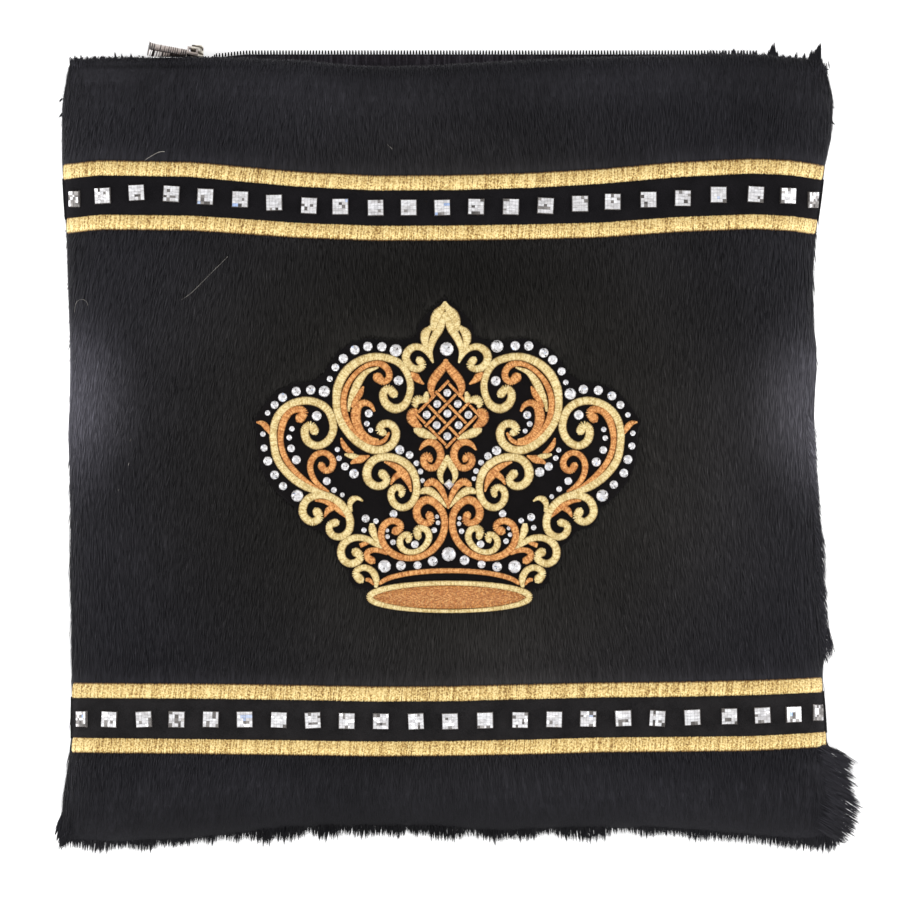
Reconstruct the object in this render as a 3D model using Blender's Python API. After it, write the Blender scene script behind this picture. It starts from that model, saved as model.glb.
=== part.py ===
"""Tallit bag: a flat fur pouch with two jewelled velvet bands, a crown in raised satin scrolls and a zip.

The bag lies on its back. X runs across it, +Y points to the zip end, +Z is up.
Places on the bag's face come from its cutting chart. The chart is counted in squares from its top
left corner, across and down, and one square is CHART_SQUARE wide.
"""
import math
from collections import namedtuple

import bmesh
import bpy
import numpy as np
from mathutils import Matrix, Vector
from mathutils.geometry import delaunay_2d_cdt

MM = 0.001
SHARP_ANGLE = math.radians(32)

# Driving dimensions of the bag
CHART_SQUARE = 0.49 * MM
CHART_MIDDLE_ACROSS = 460.82
CHART_MIDDLE_DOWN = 443.17
SEAM_HEIGHT = 16.0 * MM
FRONT_RISE = 15.0 * MM
FRONT_DOME = 5.0 * MM
DOME_REACH = 190.0 * MM
EDGE_ROLL = 30.0 * MM
FRONT_WALL = 2.5 * MM
BACK_WALL = 2.0 * MM
GAP = 0.3 * MM
# Rounds in which a point's place is found where it depends on itself
SOLVE_STEPS = 6
FRONT_LIP = 0.545
BACK_LIP = 0.45

# Chart: the sides of the bag, a row for each bend
SIDE_COLUMNS = ("down", "left", "right")
SIDES = (
    (43, 71, 822), (58, 70, 823), (70, 66.5, 829), (88, 62.5, 832.5), (104, 59.8, 835.5),
    (138, 59.5, 833.5),
    (164, 59.8, 827.5), (236, 64.3, 818), (279, 65.4, 814.8), (337, 67.5, 816.3), (362, 67.9, 819.6),
    (410, 67.2, 816), (434, 65.8, 816.5), (463, 67, 817.5), (529, 68.4, 822), (574, 67.6, 825),
    (612, 69, 826), (639, 68.8, 829), (676, 69.5, 824.5), (752, 69, 830), (766, 66, 838), (801, 60.5, 844),
    (830, 59, 845), (853, 59, 838),
)
# Chart: the bottom edge and the two lips of the mouth, a row for each bend
END_COLUMNS = ("across", "bottom", "front_lip", "back_lip")
ENDS = (
    (59, 841, 61, 61), (68, 844, 59, 59), (110, 845, 57.5, 58), (190, 841, 57.3, 58), (218, 838, 57.6, 58),
    (300, 830, 60.5, 58), (350, 829, 66, 58), (390, 829, 67, 58), (430, 829, 66, 58), (499, 834, 62, 57.5),
    (549, 831, 59.3, 57), (583, 831, 57.8, 56), (657, 830, 56, 55), (720, 835, 54, 54), (764, 839, 55, 55),
    (805, 843, 59, 59), (832, 843, 63, 63), (845, 840, 66, 66),
)
MOUTH_LEFT = (130, 186)
MOUTH_RIGHT = (788, 826)

# Panels: how far they lie inside the chart's outline, which is the fur's, and their rows and columns
PILE = 0.8 * MM
SLOPE_STEP = 0.4 * MM
LIP_STEPS = 3
FRONT_ROLL_STEPS = 4
FRONT_COLUMNS = (148, 167, 186, 240, 300, 350, 430, 499, 560, 620, 680, 722)
FRONT_ROWS = (752, 676, 590, 500, 410, 320, 236, 164)
BACK_ROLL_STEPS = 3
BACK_COLUMNS = (148, 167, 186, 300, 430, 560, 680)
BACK_ROWS = (640, 400, 200)

# Fur locks: how far their tips reach past the solid edge
LOCK_REACH = 3.2 * MM
LOCK_SPREAD = 1.6 * MM
LOCK_SWAY = 0.25
LOCK_WAVES = (2.3, 1.7, 1.9)
FLARE_REACH = 10.5 * MM
FLARE_FROM = 752
BOTTOM_EXTREME = 852.0
RIGHT_EXTREME = 861.0

# Velvet bands and their satin borders
BAND_THICKNESS = 1.0 * MM
BORDER_THICKNESS = 1.0 * MM
BORDER_RISE = 0.7 * MM
RIDGE_REACH = 0.5
PLATE_LIFT = 0.45 * MM
MERGE = 0.18 * MM
SUPPORT_STEP = 24.0 * MM
SUPPORT_MARGIN = 4.0 * MM
STRIP_INSET = 0.7 * MM
STRIP_THIN = 0.5
BORDER_COLUMNS = ("across", "upper_top", "upper_bottom", "lower_top", "lower_bottom")
BORDER_WIDTH = 13.4
BORDERS = (
    (59, 172.5, 226.5, 690.8, 745.0), (100, 168.6, 221.9, 690.8, 744.8), (191, 170.2, 222.9, 691.2, 745.5),
    (245, 175.2, 226.4, 691.8, 746.2), (298, 180.0, 230.2, 692.6, 746.8), (376, 184.0, 233.2, 694.0, 748.0),
    (453, 183.6, 233.0, 693.6, 747.4), (530, 181.4, 231.8, 691.6, 746.0), (600, 177.4, 230.0, 690.0, 744.0),
    (676, 170.6, 224.4, 689.4, 743.4), (753, 166.8, 221.4, 687.8, 742.6), (791, 168.4, 223.2, 686.4, 740.6),
    (835, 174.6, 229.4, 684.6, 739.0),
)
UPPER_STONES = (
    (72.7, 199), (102.4, 196), (136.8, 193), (171.6, 194), (205.7, 197), (240.3, 199.5), (274.2, 203),
    (309.2, 206), (340.4, 207), (375.8, 208), (408.7, 208), (442.3, 208), (476, 207), (510.8, 207),
    (545.6, 206), (579.9, 204), (612.4, 202), (648.2, 200), (682.6, 198.6), (718.2, 195), (755.5, 194.6),
    (788.6, 196), (815.2, 200),
)
LOWER_STONES = (
    (80, 719), (109, 719), (144, 719), (177, 719), (211, 719), (245, 719), (279, 719.5), (313, 720),
    (347, 720.5), (381, 721), (416, 721), (450, 721), (485, 720), (520, 719.5), (554, 719), (588, 718.5),
    (623, 718), (657, 718), (692, 717), (729, 716), (762, 715), (794, 714), (820, 712.5),
)
SQUARE_STONE = 8.0 * MM
SQUARE_STONE_RISE = 2.0 * MM
SQUARE_STONE_CORNER = 0.62
SQUARE_STONE_TABLE = 0.52
# Shares of a stone's size: where its table ends, the room kept round it, and the least width seen from above
TABLE_REACH = 0.62
STONE_ROOM = 0.6
LEAST_SQUEEZE = 0.6

# Crown
CROWN_THICKNESS = 1.0 * MM
SCROLL_RISE = 1.5 * MM
LEAST_SHARE = 0.45
SCROLL_BEND = math.radians(51)
CURVE_STEPS = 12
SCROLL_MIN_STEP = 5.5
SCROLL_MAX_STEP = 20.0
ROUND_STONE_RISE = 0.27
ROUND_STONE_TABLE = 0.5
# Shares of a round stone's radius: inside the first its top rises, inside the last scrolls leave it room
STONE_TOP = 0.8
STONE_SIDE = 0.95
STONE_MARGIN = 1.06
# A scroll's edge is left out where another scroll has risen this far
BURIED_SHARE = 0.62
Place = namedtuple("Place", "across down")
CROWN_AXIS_TOP = Place(445.0, 302.0)
CROWN_AXIS_FOOT = Place(449.5, 597.0)
CROWN_BASE_MIDDLE = Place(449.5, 596.8)
CROWN_BASE_SPAN = (83.5, 16.8)
CROWN_BASE_RING = (76.0, 11.2)
CROWN_BASE_RIDGE = (79.8, 14.0)
CROWN_BASE_FILL = 0.5 * MM
CROWN_BASE_GAP = 1.4
CROWN_BASE_SIDES = 32
OVAL_SLACK = 0.02
CROWN_FOOT_SHARES = (-0.93, -0.83, -0.69, -0.5, -0.28)

# Chart: the crown's left half, each scroll's middle line with its width. The right half mirrors it.
Station = namedtuple("Station", "across down width")
GOLD_SCROLLS = {
    "main_loop": (
        (393.5, 393.5, 9), (388.5, 388.5, 8), (383.3, 394, 8), (386, 403.5, 8.5), (395, 408.8, 9),
        (404.5, 405, 8), (409.5, 395, 7), (410.4, 383, 6.8), (405.6, 370.2, 7), (396, 361, 7.4),
        (377, 356.8, 7.6), (360, 361, 8.3), (346.5, 371.5, 9), (338.6, 386, 9), (336.8, 401, 8),
        (338.5, 415, 8), (345.5, 428.5, 8.2), (357, 441, 8.8), (371.5, 449.2, 8.6), (384, 449.3, 8.2),
        (393.5, 442.5, 8.4), (396, 432, 8.2), (391, 424.5, 7.6), (383, 424.3, 8), (379.6, 430, 8),
        (383, 432.5, 7),
    ),
    "side_loop": (
        (314.5, 430.5, 9), (311, 425, 8), (305.2, 430, 8.4), (307.5, 440.5, 8), (317, 445.8, 7.6),
        (327.5, 441.5, 7.6), (333.4, 431, 7.7), (332.6, 419.5, 8), (327.5, 409.5, 8), (318, 403, 7.8),
        (305, 400.8, 7.8), (291, 404.5, 7.8), (280.5, 413, 7.8), (274.6, 426, 7.8), (274.1, 441, 7.6),
        (278.4, 460, 8), (290.5, 475.5, 8), (305, 485.7, 8), (318, 491.2, 6), (326, 493.5, 3),
    ),
    "lower_loop": (
        (317.5, 512, 9), (320, 517.5, 8), (312.5, 521.8, 7.6), (304.5, 516, 7.8), (303.2, 507.5, 7.8),
        (308.5, 498.5, 7.8), (321.4, 494.8, 7.8), (334, 498.8, 8), (345, 508.5, 8.2), (350.3, 520, 7.6),
        (349, 530.5, 7.4), (342.5, 536.2, 7.2), (335, 536, 7), (330, 531, 7), (330.2, 524.5, 7),
        (335.5, 522.5, 8),
    ),
    "tip_curl": (
        (420, 360.8, 8), (423, 365.5, 7), (417.5, 369.2, 7), (410, 366.2, 8), (406, 359, 8),
        (408, 351.5, 8),
        (415, 347, 7), (423, 348.6, 6), (429, 354.5, 4.5), (433, 362.5, 1.5),
    ),
    "tip_leaf": (
        (444.8, 302.5, 2), (442.6, 308.5, 6.5), (437.5, 314.5, 10), (435, 321, 9.5), (433.5, 328, 6),
    ),
    "tip_side_leaf": (
        (430, 328.5, 5), (425.8, 333.5, 9), (425, 340.5, 8), (427.5, 348.5, 5), (431, 356, 2),
    ),
    "tip_inner_leaf": (
        (445, 313, 3), (442.5, 321, 7), (439.5, 329, 8.5), (435, 336.2, 8), (431.5, 343.8, 7),
        (430.2, 352, 5), (432.8, 361, 1.5),
    ),
    "loop_leaf": (
        (378, 367.6, 1.5), (366.5, 372.5, 5), (358.8, 382, 8), (354.3, 392, 8), (350.3, 401, 4.5),
        (348.8, 411, 2),
    ),
    "lattice_petal": ((424, 400.5, 5), (418.5, 399.6, 9), (415, 402.8, 8), (416.5, 407, 3)),
    "lattice_tip_petal": ((427.2, 392.5, 3), (426, 397.5, 6.5), (427.5, 402, 3)),
    "lattice_foot_petal": ((436, 438.5, 2), (429, 435.6, 7), (421.8, 432.6, 9.5), (417.5, 430.5, 7)),
    "centre_drop": ((447.4, 456, 3), (444.8, 463, 7), (440.8, 470.5, 7), (440.3, 477, 5), (443, 483, 1.5)),
    "heart_loop": (
        (382.8, 474, 9), (387, 479.5, 7.5), (383, 485.2, 7.6), (375, 485.5, 8), (368.5, 480, 8.5),
        (367, 471.5, 9), (370.8, 463, 8.5), (378, 458, 8), (387.5, 456.9, 8), (398, 459.2, 8),
        (407, 464.6, 8), (413.2, 472.5, 8), (416.2, 482, 7.2), (416.4, 492, 7.2), (413.6, 500.5, 7.2),
        (408, 506, 7.2), (401, 507.4, 7), (394.5, 503.7, 7), (391.2, 497, 7), (392, 490.6, 7),
        (397, 487, 6.5), (402, 489.8, 7.5), (401.5, 494, 6),
    ),
    "spur": ((345.5, 454.5, 2), (350, 455.6, 5), (355, 456.6, 5.5), (359, 457, 3)),
    "hook": ((362.5, 500.6, 1.5), (357.8, 498, 4), (352.5, 499.4, 6.4), (350, 504.5, 5), (351, 511, 3.5)),
    "inner_bowl": (
        (408.5, 539.5, 6), (410, 535, 5.5), (405.5, 534.4, 6), (401, 537.7, 6), (400, 543.7, 6.5),
        (403.5, 549.5, 6), (410.5, 552, 5.5), (418, 550.7, 5.5), (425, 545.7, 6), (429, 537.7, 6.5),
        (427, 530.3, 6.5), (421, 527.6, 7), (417.2, 531, 8.5), (418, 535.8, 7),
    ),
    "fan_leaf": (
        (421.5, 491.5, 5), (427.5, 490.2, 8), (434.2, 493.7, 7), (440.2, 499.7, 5), (446, 506.5, 1.5),
    ),
    "foot_leaf": ((372, 523.8, 4.5), (372.6, 529.2, 7.6), (375, 536, 6), (379, 543, 3)),
    "foot_loop": (
        (356.5, 552, 9), (361, 556, 7.5), (357.5, 561.5, 7.4), (350.2, 563.3, 7.4), (343.4, 559, 7.6),
        (341.2, 551, 7.7), (344, 543.4, 7.5), (351, 538.6, 7), (360, 537.3, 6.5), (369, 539.7, 6.5),
        (376, 543.8, 5), (382, 548, 2),
    ),
    "foot_curl": (
        (360, 578.5, 9), (355.8, 573.5, 7), (358.6, 568.9, 6.5), (365, 567.2, 6.2), (371.6, 570, 6.5),
        (375.6, 576, 7), (376.8, 582, 5.5), (376, 586.5, 3),
    ),
}
COPPER_SCROLLS = {
    "loop_lining": (
        (378.3, 377.8, 10), (384, 382.3, 6.6), (389.3, 377.5, 6.6), (388.2, 370, 6.6), (381.5, 364.2, 6.6),
        (371, 364.3, 5), (361, 369.5, 4.8), (352, 378.5, 5), (345.7, 390.5, 6), (343.6, 404, 6.4),
        (346.6, 419, 6.4), (354, 431.3, 5.6), (364, 440, 5.4), (376, 443.2, 4.8), (384.5, 440.4, 4),
        (389, 433, 2),
    ),
    "loop_hook": (
        (374.5, 411, 2), (371, 405.4, 4.5), (364.6, 402.8, 6.5), (358.5, 406, 8), (355.8, 414, 10),
        (357, 424, 9), (362.5, 433, 6.5), (370.5, 438.5, 4.5), (378, 440, 2),
    ),
    "loop_bud": ((363.4, 387, 1.5), (360.3, 393, 6.5), (356, 400, 6), (352.6, 407, 3)),
    "side_lining": (
        (300.8, 417.8, 10), (304.8, 413, 7.2), (299.5, 409.2, 7.4), (291, 411.4, 7), (284.8, 419, 7.6),
        (281.4, 431, 6.6), (281, 442, 5.8), (283.6, 453, 5.8), (289, 463.5, 5.8), (298, 474, 5.6),
        (309.5, 483.5, 4.4), (321, 490, 2),
    ),
    "side_spike": ((257.5, 422.3, 1.5), (263, 423.4, 5), (267.6, 428, 6), (270, 433.5, 1.5)),
    "side_curl": (
        (322, 466, 7.5), (325, 470.4, 6.5), (331, 469, 6.4), (333.4, 462, 6.4), (330, 455.6, 6),
        (323.4, 452.6, 5.6), (316, 455, 6), (311.2, 462, 6.2), (310.8, 470, 6), (314, 478.6, 5.4),
        (320, 485.6, 4.4), (328.5, 491.3, 2),
    ),
    "curl_leaf": ((411.5, 373, 3), (415.5, 377, 8), (419.5, 381, 5), (423.5, 383.8, 1.5)),
    "centre_arch": (
        (446.6, 360, 3), (443.5, 367, 7.5), (437.5, 374.5, 9), (432.5, 382, 8.5), (431.2, 389.5, 6.5),
        (433, 396.5, 3),
    ),
    "lattice_ear": ((417, 410.3, 4), (412.4, 412.8, 9), (412, 419, 10), (416, 424, 8), (421, 427, 3)),
    "lattice_scroll": (
        (420, 449.5, 1.5), (424, 444.4, 5), (430, 441.8, 7), (436.8, 445, 7.5), (440.6, 452.4, 7.4),
        (440, 460.4, 7.4), (435.5, 466.8, 7), (429, 467.6, 7), (424.3, 463.4, 7), (424, 457.6, 7),
        (428, 455.4, 6.6), (430, 459, 6),
    ),
    "centre_leaf": (
        (427.2, 484, 6), (432, 481.6, 7.6), (438, 485.2, 7), (442.6, 492.2, 6), (446, 500, 4),
        (448.4, 508, 1.5),
    ),
    "heart_lining": (
        (385, 462, 1.5), (392, 464.6, 5), (399, 468.6, 7), (405, 475.4, 9), (409, 483.4, 5),
        (411, 491, 1.5),
    ),
    "heart_bud": ((391, 484, 1.5), (394.6, 477.6, 5), (400, 473.8, 7)),
    "lower_lining": ((316, 500.2, 2), (324, 501, 4), (333, 504.8, 6), (340, 510.6, 5.4), (345.6, 516.4, 2)),
    "lower_bud": ((325, 516.2, 1.5), (328.2, 510.2, 5.5), (333.5, 507, 6)),
    "spur_sliver": ((341.5, 438.6, 1.5), (344, 445, 5), (348, 450, 5), (353, 452.6, 1.5)),
    "spur_leaf": ((351.5, 463, 2), (356, 460.6, 6), (361, 459, 8), (366, 457.2, 4), (369, 456, 1.5)),
    "great_bowl": (
        (396.5, 530.5, 9), (401, 528, 6), (399.5, 523, 6.4), (392, 520.5, 6.6), (384.5, 524.6, 6.8),
        (381.2, 533, 7), (382.4, 541, 7), (387.4, 549, 7), (396, 555, 7), (408, 557.8, 6),
        (420, 556.4, 6.4),
        (431, 550.6, 7), (439.4, 541.4, 7), (444, 530.4, 7), (444.5, 519, 7), (441, 509.6, 7.4),
        (434.6, 502.3, 8), (427.4, 499.6, 8), (420, 503, 8), (416.6, 510.6, 7.7), (418.6, 518.6, 7.6),
        (425, 523.2, 7), (431, 520.6, 7.4), (429.5, 515.4, 8),
    ),
    "foot_sliver": ((360.8, 545.2, 4.5), (366, 543, 4), (370.5, 541.8, 1.5)),
    "foot_tendril": (
        (371.5, 560, 8), (367, 556.6, 6.6), (368, 551.8, 6), (373, 549.8, 5.2), (380, 550.2, 5),
        (387, 553.5, 2.5),
    ),
    "foot_bud": ((366.5, 579.4, 3), (370, 579.8, 4), (373.5, 584, 1.5)),
    "base_arc": (
        (379.6, 583, 3.6), (387, 578.6, 4.6), (398, 575.2, 4.8), (414, 572.4, 4.8), (432, 570.8, 4.8),
        (449.2, 570.4, 4.8),
    ),
}
# Chart: the lattice of copper straps in the crown's middle
LATTICE_MIDDLE = Place(447.3, 414.3)
LATTICE_CELL = (10.3, 10.7)
LATTICE_LINES = (-3, -1, 1, 3)
LATTICE_REACH = 3.25
LATTICE_WIDTH = 3.4
# Chart: round stones on the crown's left half, and the ones on its middle line
Stone = namedtuple("Stone", "across down diameter")
SIDE_ROUND_STONES = (
    (268, 413, 5.6), (275, 405, 8.3), (283, 397.5, 9.3), (296.5, 391.5, 9.5), (311, 390, 9.7),
    (324.5, 391.5, 11.6),
    (330, 379, 6.2), (335.6, 367.5, 8.0), (343.5, 358.7, 9.6), (355, 350.2, 9.8), (368, 346.6, 9.7),
    (382, 347, 9.7), (396, 350.6, 12.7), (398.6, 380.6, 10), (317, 416, 10), (292.2, 428.8, 5.6),
    (289.5, 437.6, 5.8), (291.4, 448.4, 8), (296.6, 459.8, 9.2), (368.9, 413.6, 8.3), (367, 423.8, 6),
    (370.8, 430.2, 5.4), (263.3, 434, 5.6), (264.5, 448, 7.4), (268.2, 461, 9.4), (275, 474.8, 9),
    (283.4, 486, 8.4), (297.6, 495.6, 12.2), (337.6, 449.4, 5.4), (339.2, 458.2, 5.8), (345.3, 466.5, 8.2),
    (354.2, 473.6, 9.8), (327, 481, 8.2), (334.2, 490, 6), (342.5, 494.8, 5), (399.8, 449.8, 9.6),
    (409.7, 455, 8), (416.5, 463.2, 6), (420.5, 471.4, 6), (422.5, 480.5, 5), (365.8, 518.4, 8.2),
    (376, 521, 5.8), (364.2, 530, 5.6), (393.6, 513.8, 8.2), (387.3, 530.3, 4.2), (387.6, 536.4, 5),
    (393.1, 542, 6), (415, 544.2, 8), (437, 516.5, 4.4), (438, 522.6, 4.9), (434.2, 530, 6),
    (384.6, 566, 13), (401, 565.3, 10), (417.6, 565, 8.4), (432.7, 561, 10),
)
MIDDLE_ROUND_STONES = (
    (446.8, 349.2, 14), (447.3, 393, 8), (437.2, 404, 8), (457.8, 404, 8), (426.8, 414.8, 8.3),
    (447.5, 413.6, 8.2), (468.4, 414.8, 8.2), (436.7, 425.2, 8.2), (458.6, 425.2, 8.2), (447.3, 436.2, 8.2),
    (448.8, 554, 14.4),
)
DIAMOND_STONE = Stone(449, 484.2, 10.6)
# Chart: the outline of the crown's ground on its left half, from the tip down
CROWN_OUTLINE = (
    (445, 298), (437, 305), (427, 314), (419, 324), (416, 337), (404, 340.5), (390, 341), (368, 338.5),
    (353, 342.5), (340, 350.5), (330.5, 362), (324, 374), (312, 382), (296, 383.5), (281, 389), (269, 399),
    (262, 409), (253.5, 421.5), (257, 432), (258, 449), (261, 466), (268, 481), (278, 493), (289, 503),
    (297, 508), (298.5, 518), (306, 527.5), (320, 530), (329, 541), (336, 546), (335.5, 556), (341, 565),
    (349.5, 570), (349, 580), (356, 587), (366, 588.5),
)

# Zip
TAPE_THICKNESS = 0.6 * MM
TAPE_HEM = 5.0 * MM
TAPE_HEEL = 50.2
# How far along from the lip's corner to the tape's edge the open tape's heel and knee lie
TAPE_FOLDS = (0.25, 0.6)
# Chart: where the open back tape's edge lies, across and down
TAPE_EDGE = ((204, 60.2), (209, 59.9), (216, 56.8), (228, 55.2), (245, 53.4))
TAPE_LIFT = 0.2 * MM
TAPE_HANG = (0.7 * MM, 2.2 * MM)
COIL_WIDTH = 1.35 * MM
COIL_SPREAD = (0.85 * MM, 1.6 * MM)
ZIP_LEAN = math.radians(40)
ZIP_LEFT = 187.0
SLIDER_ACROSS = 196.5
SLIDER_DOWN = 55.4
SLIDER_HEIGHT = 15.6 * MM
SLIDER_LENGTH = 6.4 * MM
SLIDER_HALF_WIDTH = 3.1 * MM
SLIDER_EXIT = 3.7 * MM
SLIDER_PLATE = (0.95 * MM, 1.75 * MM)
SLIDER_FLANGE = (2.55 * MM, 0.55 * MM)
SLIDER_POST = (1.6 * MM, 0.8 * MM)
SLIDER_SINK = 0.1 * MM
HINGE_HEIGHT = 0.95 * MM
BAIL_LEG = (1.6 * MM, 2.4 * MM)
BAIL_TOP = (1.8 * MM, 2.6 * MM)
BAIL_WIDTH = 1.6 * MM
PULL_LENGTH = 23.8 * MM
PULL_WIDTH = 8.0 * MM
PULL_NECK_WIDTH = 5.0 * MM
PULL_THICKNESS = 1.1 * MM
PULL_BAR = 0.5 * MM
PULL_WINDOW = (3.9 * MM, 2.7 * MM)
PULL_SHOULDER = (1.0 * MM, 3.0 * MM)
PULL_TILT = math.radians(13.5)
# The tab: its outer face over the neck's middle, its bevels' widths at the lower side and elsewhere
PULL_FACE = 2.4 * MM
PULL_BEVEL = (1.4 * MM, 0.35 * MM)
PULL_OVERLAP = 0.6 * MM
PULL_CORNER = 1.6 * MM
CORNER_STEPS = 2
END_STOP = (1.3 * MM, 4.4 * MM, 1.4 * MM)
END_STOP_BEVEL = 0.25 * MM
# Chart places where the zip tapes' sections stand
TAPE_STATIONS = (187, 204, 207, 210, 213, 216, 222, 231, 245, 300, 350, 430, 499, 560, 620, 680, 722, 757)
OPEN_FROM = (204, 219)
# Each lip: its angle's share, its panel's rise and wall, and its line on the chart
LIPS = {
    1: (FRONT_LIP, FRONT_RISE, FRONT_WALL, "front_lip"),
    -1: (BACK_LIP, SEAM_HEIGHT, BACK_WALL, "back_lip"),
}

COLORS = {
    "fur": ((0.010, 0.010, 0.012), 0.85, 0.0),
    "velvet": ((0.006, 0.005, 0.006), 0.95, 0.0),
    "gold_satin": ((0.72, 0.52, 0.19), 0.4, 0.0),
    "copper_satin": ((0.66, 0.28, 0.08), 0.45, 0.0),
    "stone": ((0.85, 0.87, 0.9), 0.08, 0.0),
    "tape": ((0.035, 0.026, 0.03), 0.8, 0.0),
    "coil": ((0.30, 0.27, 0.28), 0.4, 0.0),
    "zip_metal": ((0.78, 0.78, 0.8), 0.2, 1.0),
}


def material(name):
    """A Principled material with the part's colour, roughness and metallic value."""
    found = bpy.data.materials.get(name)
    if found:
        return found
    color, roughness, metallic = COLORS[name]
    made = bpy.data.materials.new(name)
    made.use_nodes = True
    shader = made.node_tree.nodes["Principled BSDF"]
    shader.inputs["Base Color"].default_value = (*color, 1.0)
    shader.inputs["Roughness"].default_value = roughness
    shader.inputs["Metallic"].default_value = metallic
    return made


def add_object(name, mesh_data, *slots):
    """Put a bmesh in the scene as a named object with its materials."""
    mesh = bpy.data.meshes.new(name)
    mesh_data.to_mesh(mesh)
    mesh_data.free()
    for slot in slots:
        mesh.materials.append(material(slot))
    mesh.shade_smooth()
    mesh.set_sharp_from_angle(angle=SHARP_ANGLE)
    made = bpy.data.objects.new(name, mesh)
    bpy.context.scene.collection.objects.link(made)
    return made


def world_x(across):
    return (across - CHART_MIDDLE_ACROSS) * CHART_SQUARE


def world_y(down):
    return (CHART_MIDDLE_DOWN - down) * CHART_SQUARE


def chart_across(x):
    return x / CHART_SQUARE + CHART_MIDDLE_ACROSS


def chart_down(y):
    return CHART_MIDDLE_DOWN - y / CHART_SQUARE


def smooth_step(low, high, value):
    part = min(max((value - low) / (high - low), 0.0), 1.0)
    return part * part * (3 - 2 * part)


def side_x(column, y):
    """X of the bag's left or right side at a height on the bag."""
    downs = [row[0] for row in SIDES]
    values = [row[SIDE_COLUMNS.index(column)] for row in SIDES]
    inset = PILE if column == "left" else -PILE
    return world_x(float(np.interp(chart_down(y), downs, values))) + inset


def end_y(column, x):
    """Y of the bottom edge or of one of the mouth's lips at a place across the bag."""
    acrosses = [row[0] for row in ENDS]
    values = [row[END_COLUMNS.index(column)] for row in ENDS]
    inset = PILE if column == "bottom" else 0.0
    return world_y(float(np.interp(chart_across(x), acrosses, values))) + inset


def mouth_opening(x):
    """0 where the top seam is sewn shut, 1 where the mouth is open."""
    across = chart_across(x)
    return smooth_step(*MOUTH_LEFT, across) * (1 - smooth_step(*MOUTH_RIGHT, across))


def lip_angle(x, share):
    return math.asin(share * mouth_opening(x))


def roll_rise(distance, start_angle=0.0):
    """Height share, 0 to 1, of the rolled edge at a distance in from where it starts."""
    cosine = max(math.cos(start_angle) - max(distance, 0.0) / EDGE_ROLL, 0.0)
    return math.sqrt(1 - cosine * cosine)


def dome(x, y):
    return FRONT_DOME * (1 - (x / DOME_REACH) ** 2) * (1 - (y / DOME_REACH) ** 2)


def front_height(x, y):
    """Height of the bag's front face above the ground, seen from above at x, y."""
    sides = roll_rise(x - side_x("left", y)) * roll_rise(side_x("right", y) - x)
    foot = roll_rise(y - end_y("bottom", x))
    head = roll_rise(end_y("front_lip", x) - y, lip_angle(x, FRONT_LIP))
    return SEAM_HEIGHT + sides * foot * head * (FRONT_RISE + dome(x, y))


def on_front(x, y, lift):
    """The point that lies over the bag's face at x, y, raised along the face's own normal."""
    reach = SLOPE_STEP
    slope_x = (front_height(x + reach, y) - front_height(x - reach, y)) / (2 * reach)
    slope_y = (front_height(x, y + reach) - front_height(x, y - reach)) / (2 * reach)
    normal = Vector((-slope_x, -slope_y, 1.0)).normalized()
    return Vector((x, y, front_height(x, y))) + normal * lift


def column_place(kind, value, y):
    """X and height share of a panel column."""
    if kind == "left":
        return side_x("left", y) + EDGE_ROLL * (1 - math.cos(value)), math.sin(value)
    if kind == "right":
        return side_x("right", y) - EDGE_ROLL * (1 - math.cos(value)), math.sin(value)
    return world_x(value), 1.0


def row_place(kind, value, x, lip, lip_share):
    """Y and height share of a panel row."""
    if kind == "bottom":
        return end_y("bottom", x) + EDGE_ROLL * (1 - math.cos(value)), math.sin(value)
    if kind == "top":
        start = lip_angle(x, lip_share)
        angle = start + (math.pi / 2 - start) * value
        return end_y(lip, x) - EDGE_ROLL * (math.cos(start) - math.cos(angle)), math.sin(angle)
    return world_y(value), 1.0


def panel_columns(middle, steps):
    """Stations of a panel from its left seam to its right one: a roll, the chart's columns, a roll."""
    rolls = [math.pi / 2 * k / steps for k in range(steps + 1)]
    centre = [("middle", across) for across in middle]
    return [("left", angle) for angle in rolls] + centre + [("right", angle) for angle in reversed(rolls)]


def panel_rows(middle, steps):
    """Stations of a panel from its bottom seam to its lip: a roll, the chart's rows, a roll."""
    rolls = [math.pi / 2 * k / steps for k in range(steps + 1)]
    last = [("top", 1 - k / LIP_STEPS) for k in range(LIP_STEPS + 1)]
    return [("bottom", angle) for angle in rolls] + [("middle", down) for down in middle] + last


def panel_grid(columns, rows, lip, lip_share, rise, side):
    """Outer points of a panel, one list for each row."""
    grid = []
    for row in rows:
        line = []
        for column in columns:
            x = 0.0
            y = 0.0
            share_x = share_y = 1.0
            for _ in range(SOLVE_STEPS):
                x, share_x = column_place(*column, y)
                y, share_y = row_place(*row, x, lip, lip_share)
            crown = dome(x, y) if side > 0 else 0.0
            z = SEAM_HEIGHT + side * (GAP / 2 + share_x * share_y * (rise + crown))
            line.append(Vector((x, y, z)))
        grid.append(line)
    return grid


def grid_normals(grid, lip_share, rise, side):
    """Outward normals of a panel's grid; level along the side and bottom seams, the roll's own at the lip."""
    last_row = len(grid) - 1
    last_column = len(grid[0]) - 1
    normals = []
    for j, line in enumerate(grid):
        normals.append([])
        for i, point in enumerate(line):
            along = grid[j][min(i + 1, last_column)] - grid[j][max(i - 1, 0)]
            across = grid[min(j + 1, last_row)][i] - grid[max(j - 1, 0)][i]
            normal = along.cross(across).normalized() * side
            if i in (0, last_column) or j in (0, last_row):
                angle = lip_angle(point.x, lip_share) if j == last_row else 0.0
                out_x = {0: -1.0, last_column: 1.0}.get(i, 0.0)
                out_y = {0: -1.0, last_row: math.cos(angle)}.get(j, 0.0)
                normal = Vector((out_x, out_y, side * math.sin(angle) * EDGE_ROLL / rise)).normalized()
            normals[-1].append(normal)
    return normals


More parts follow.
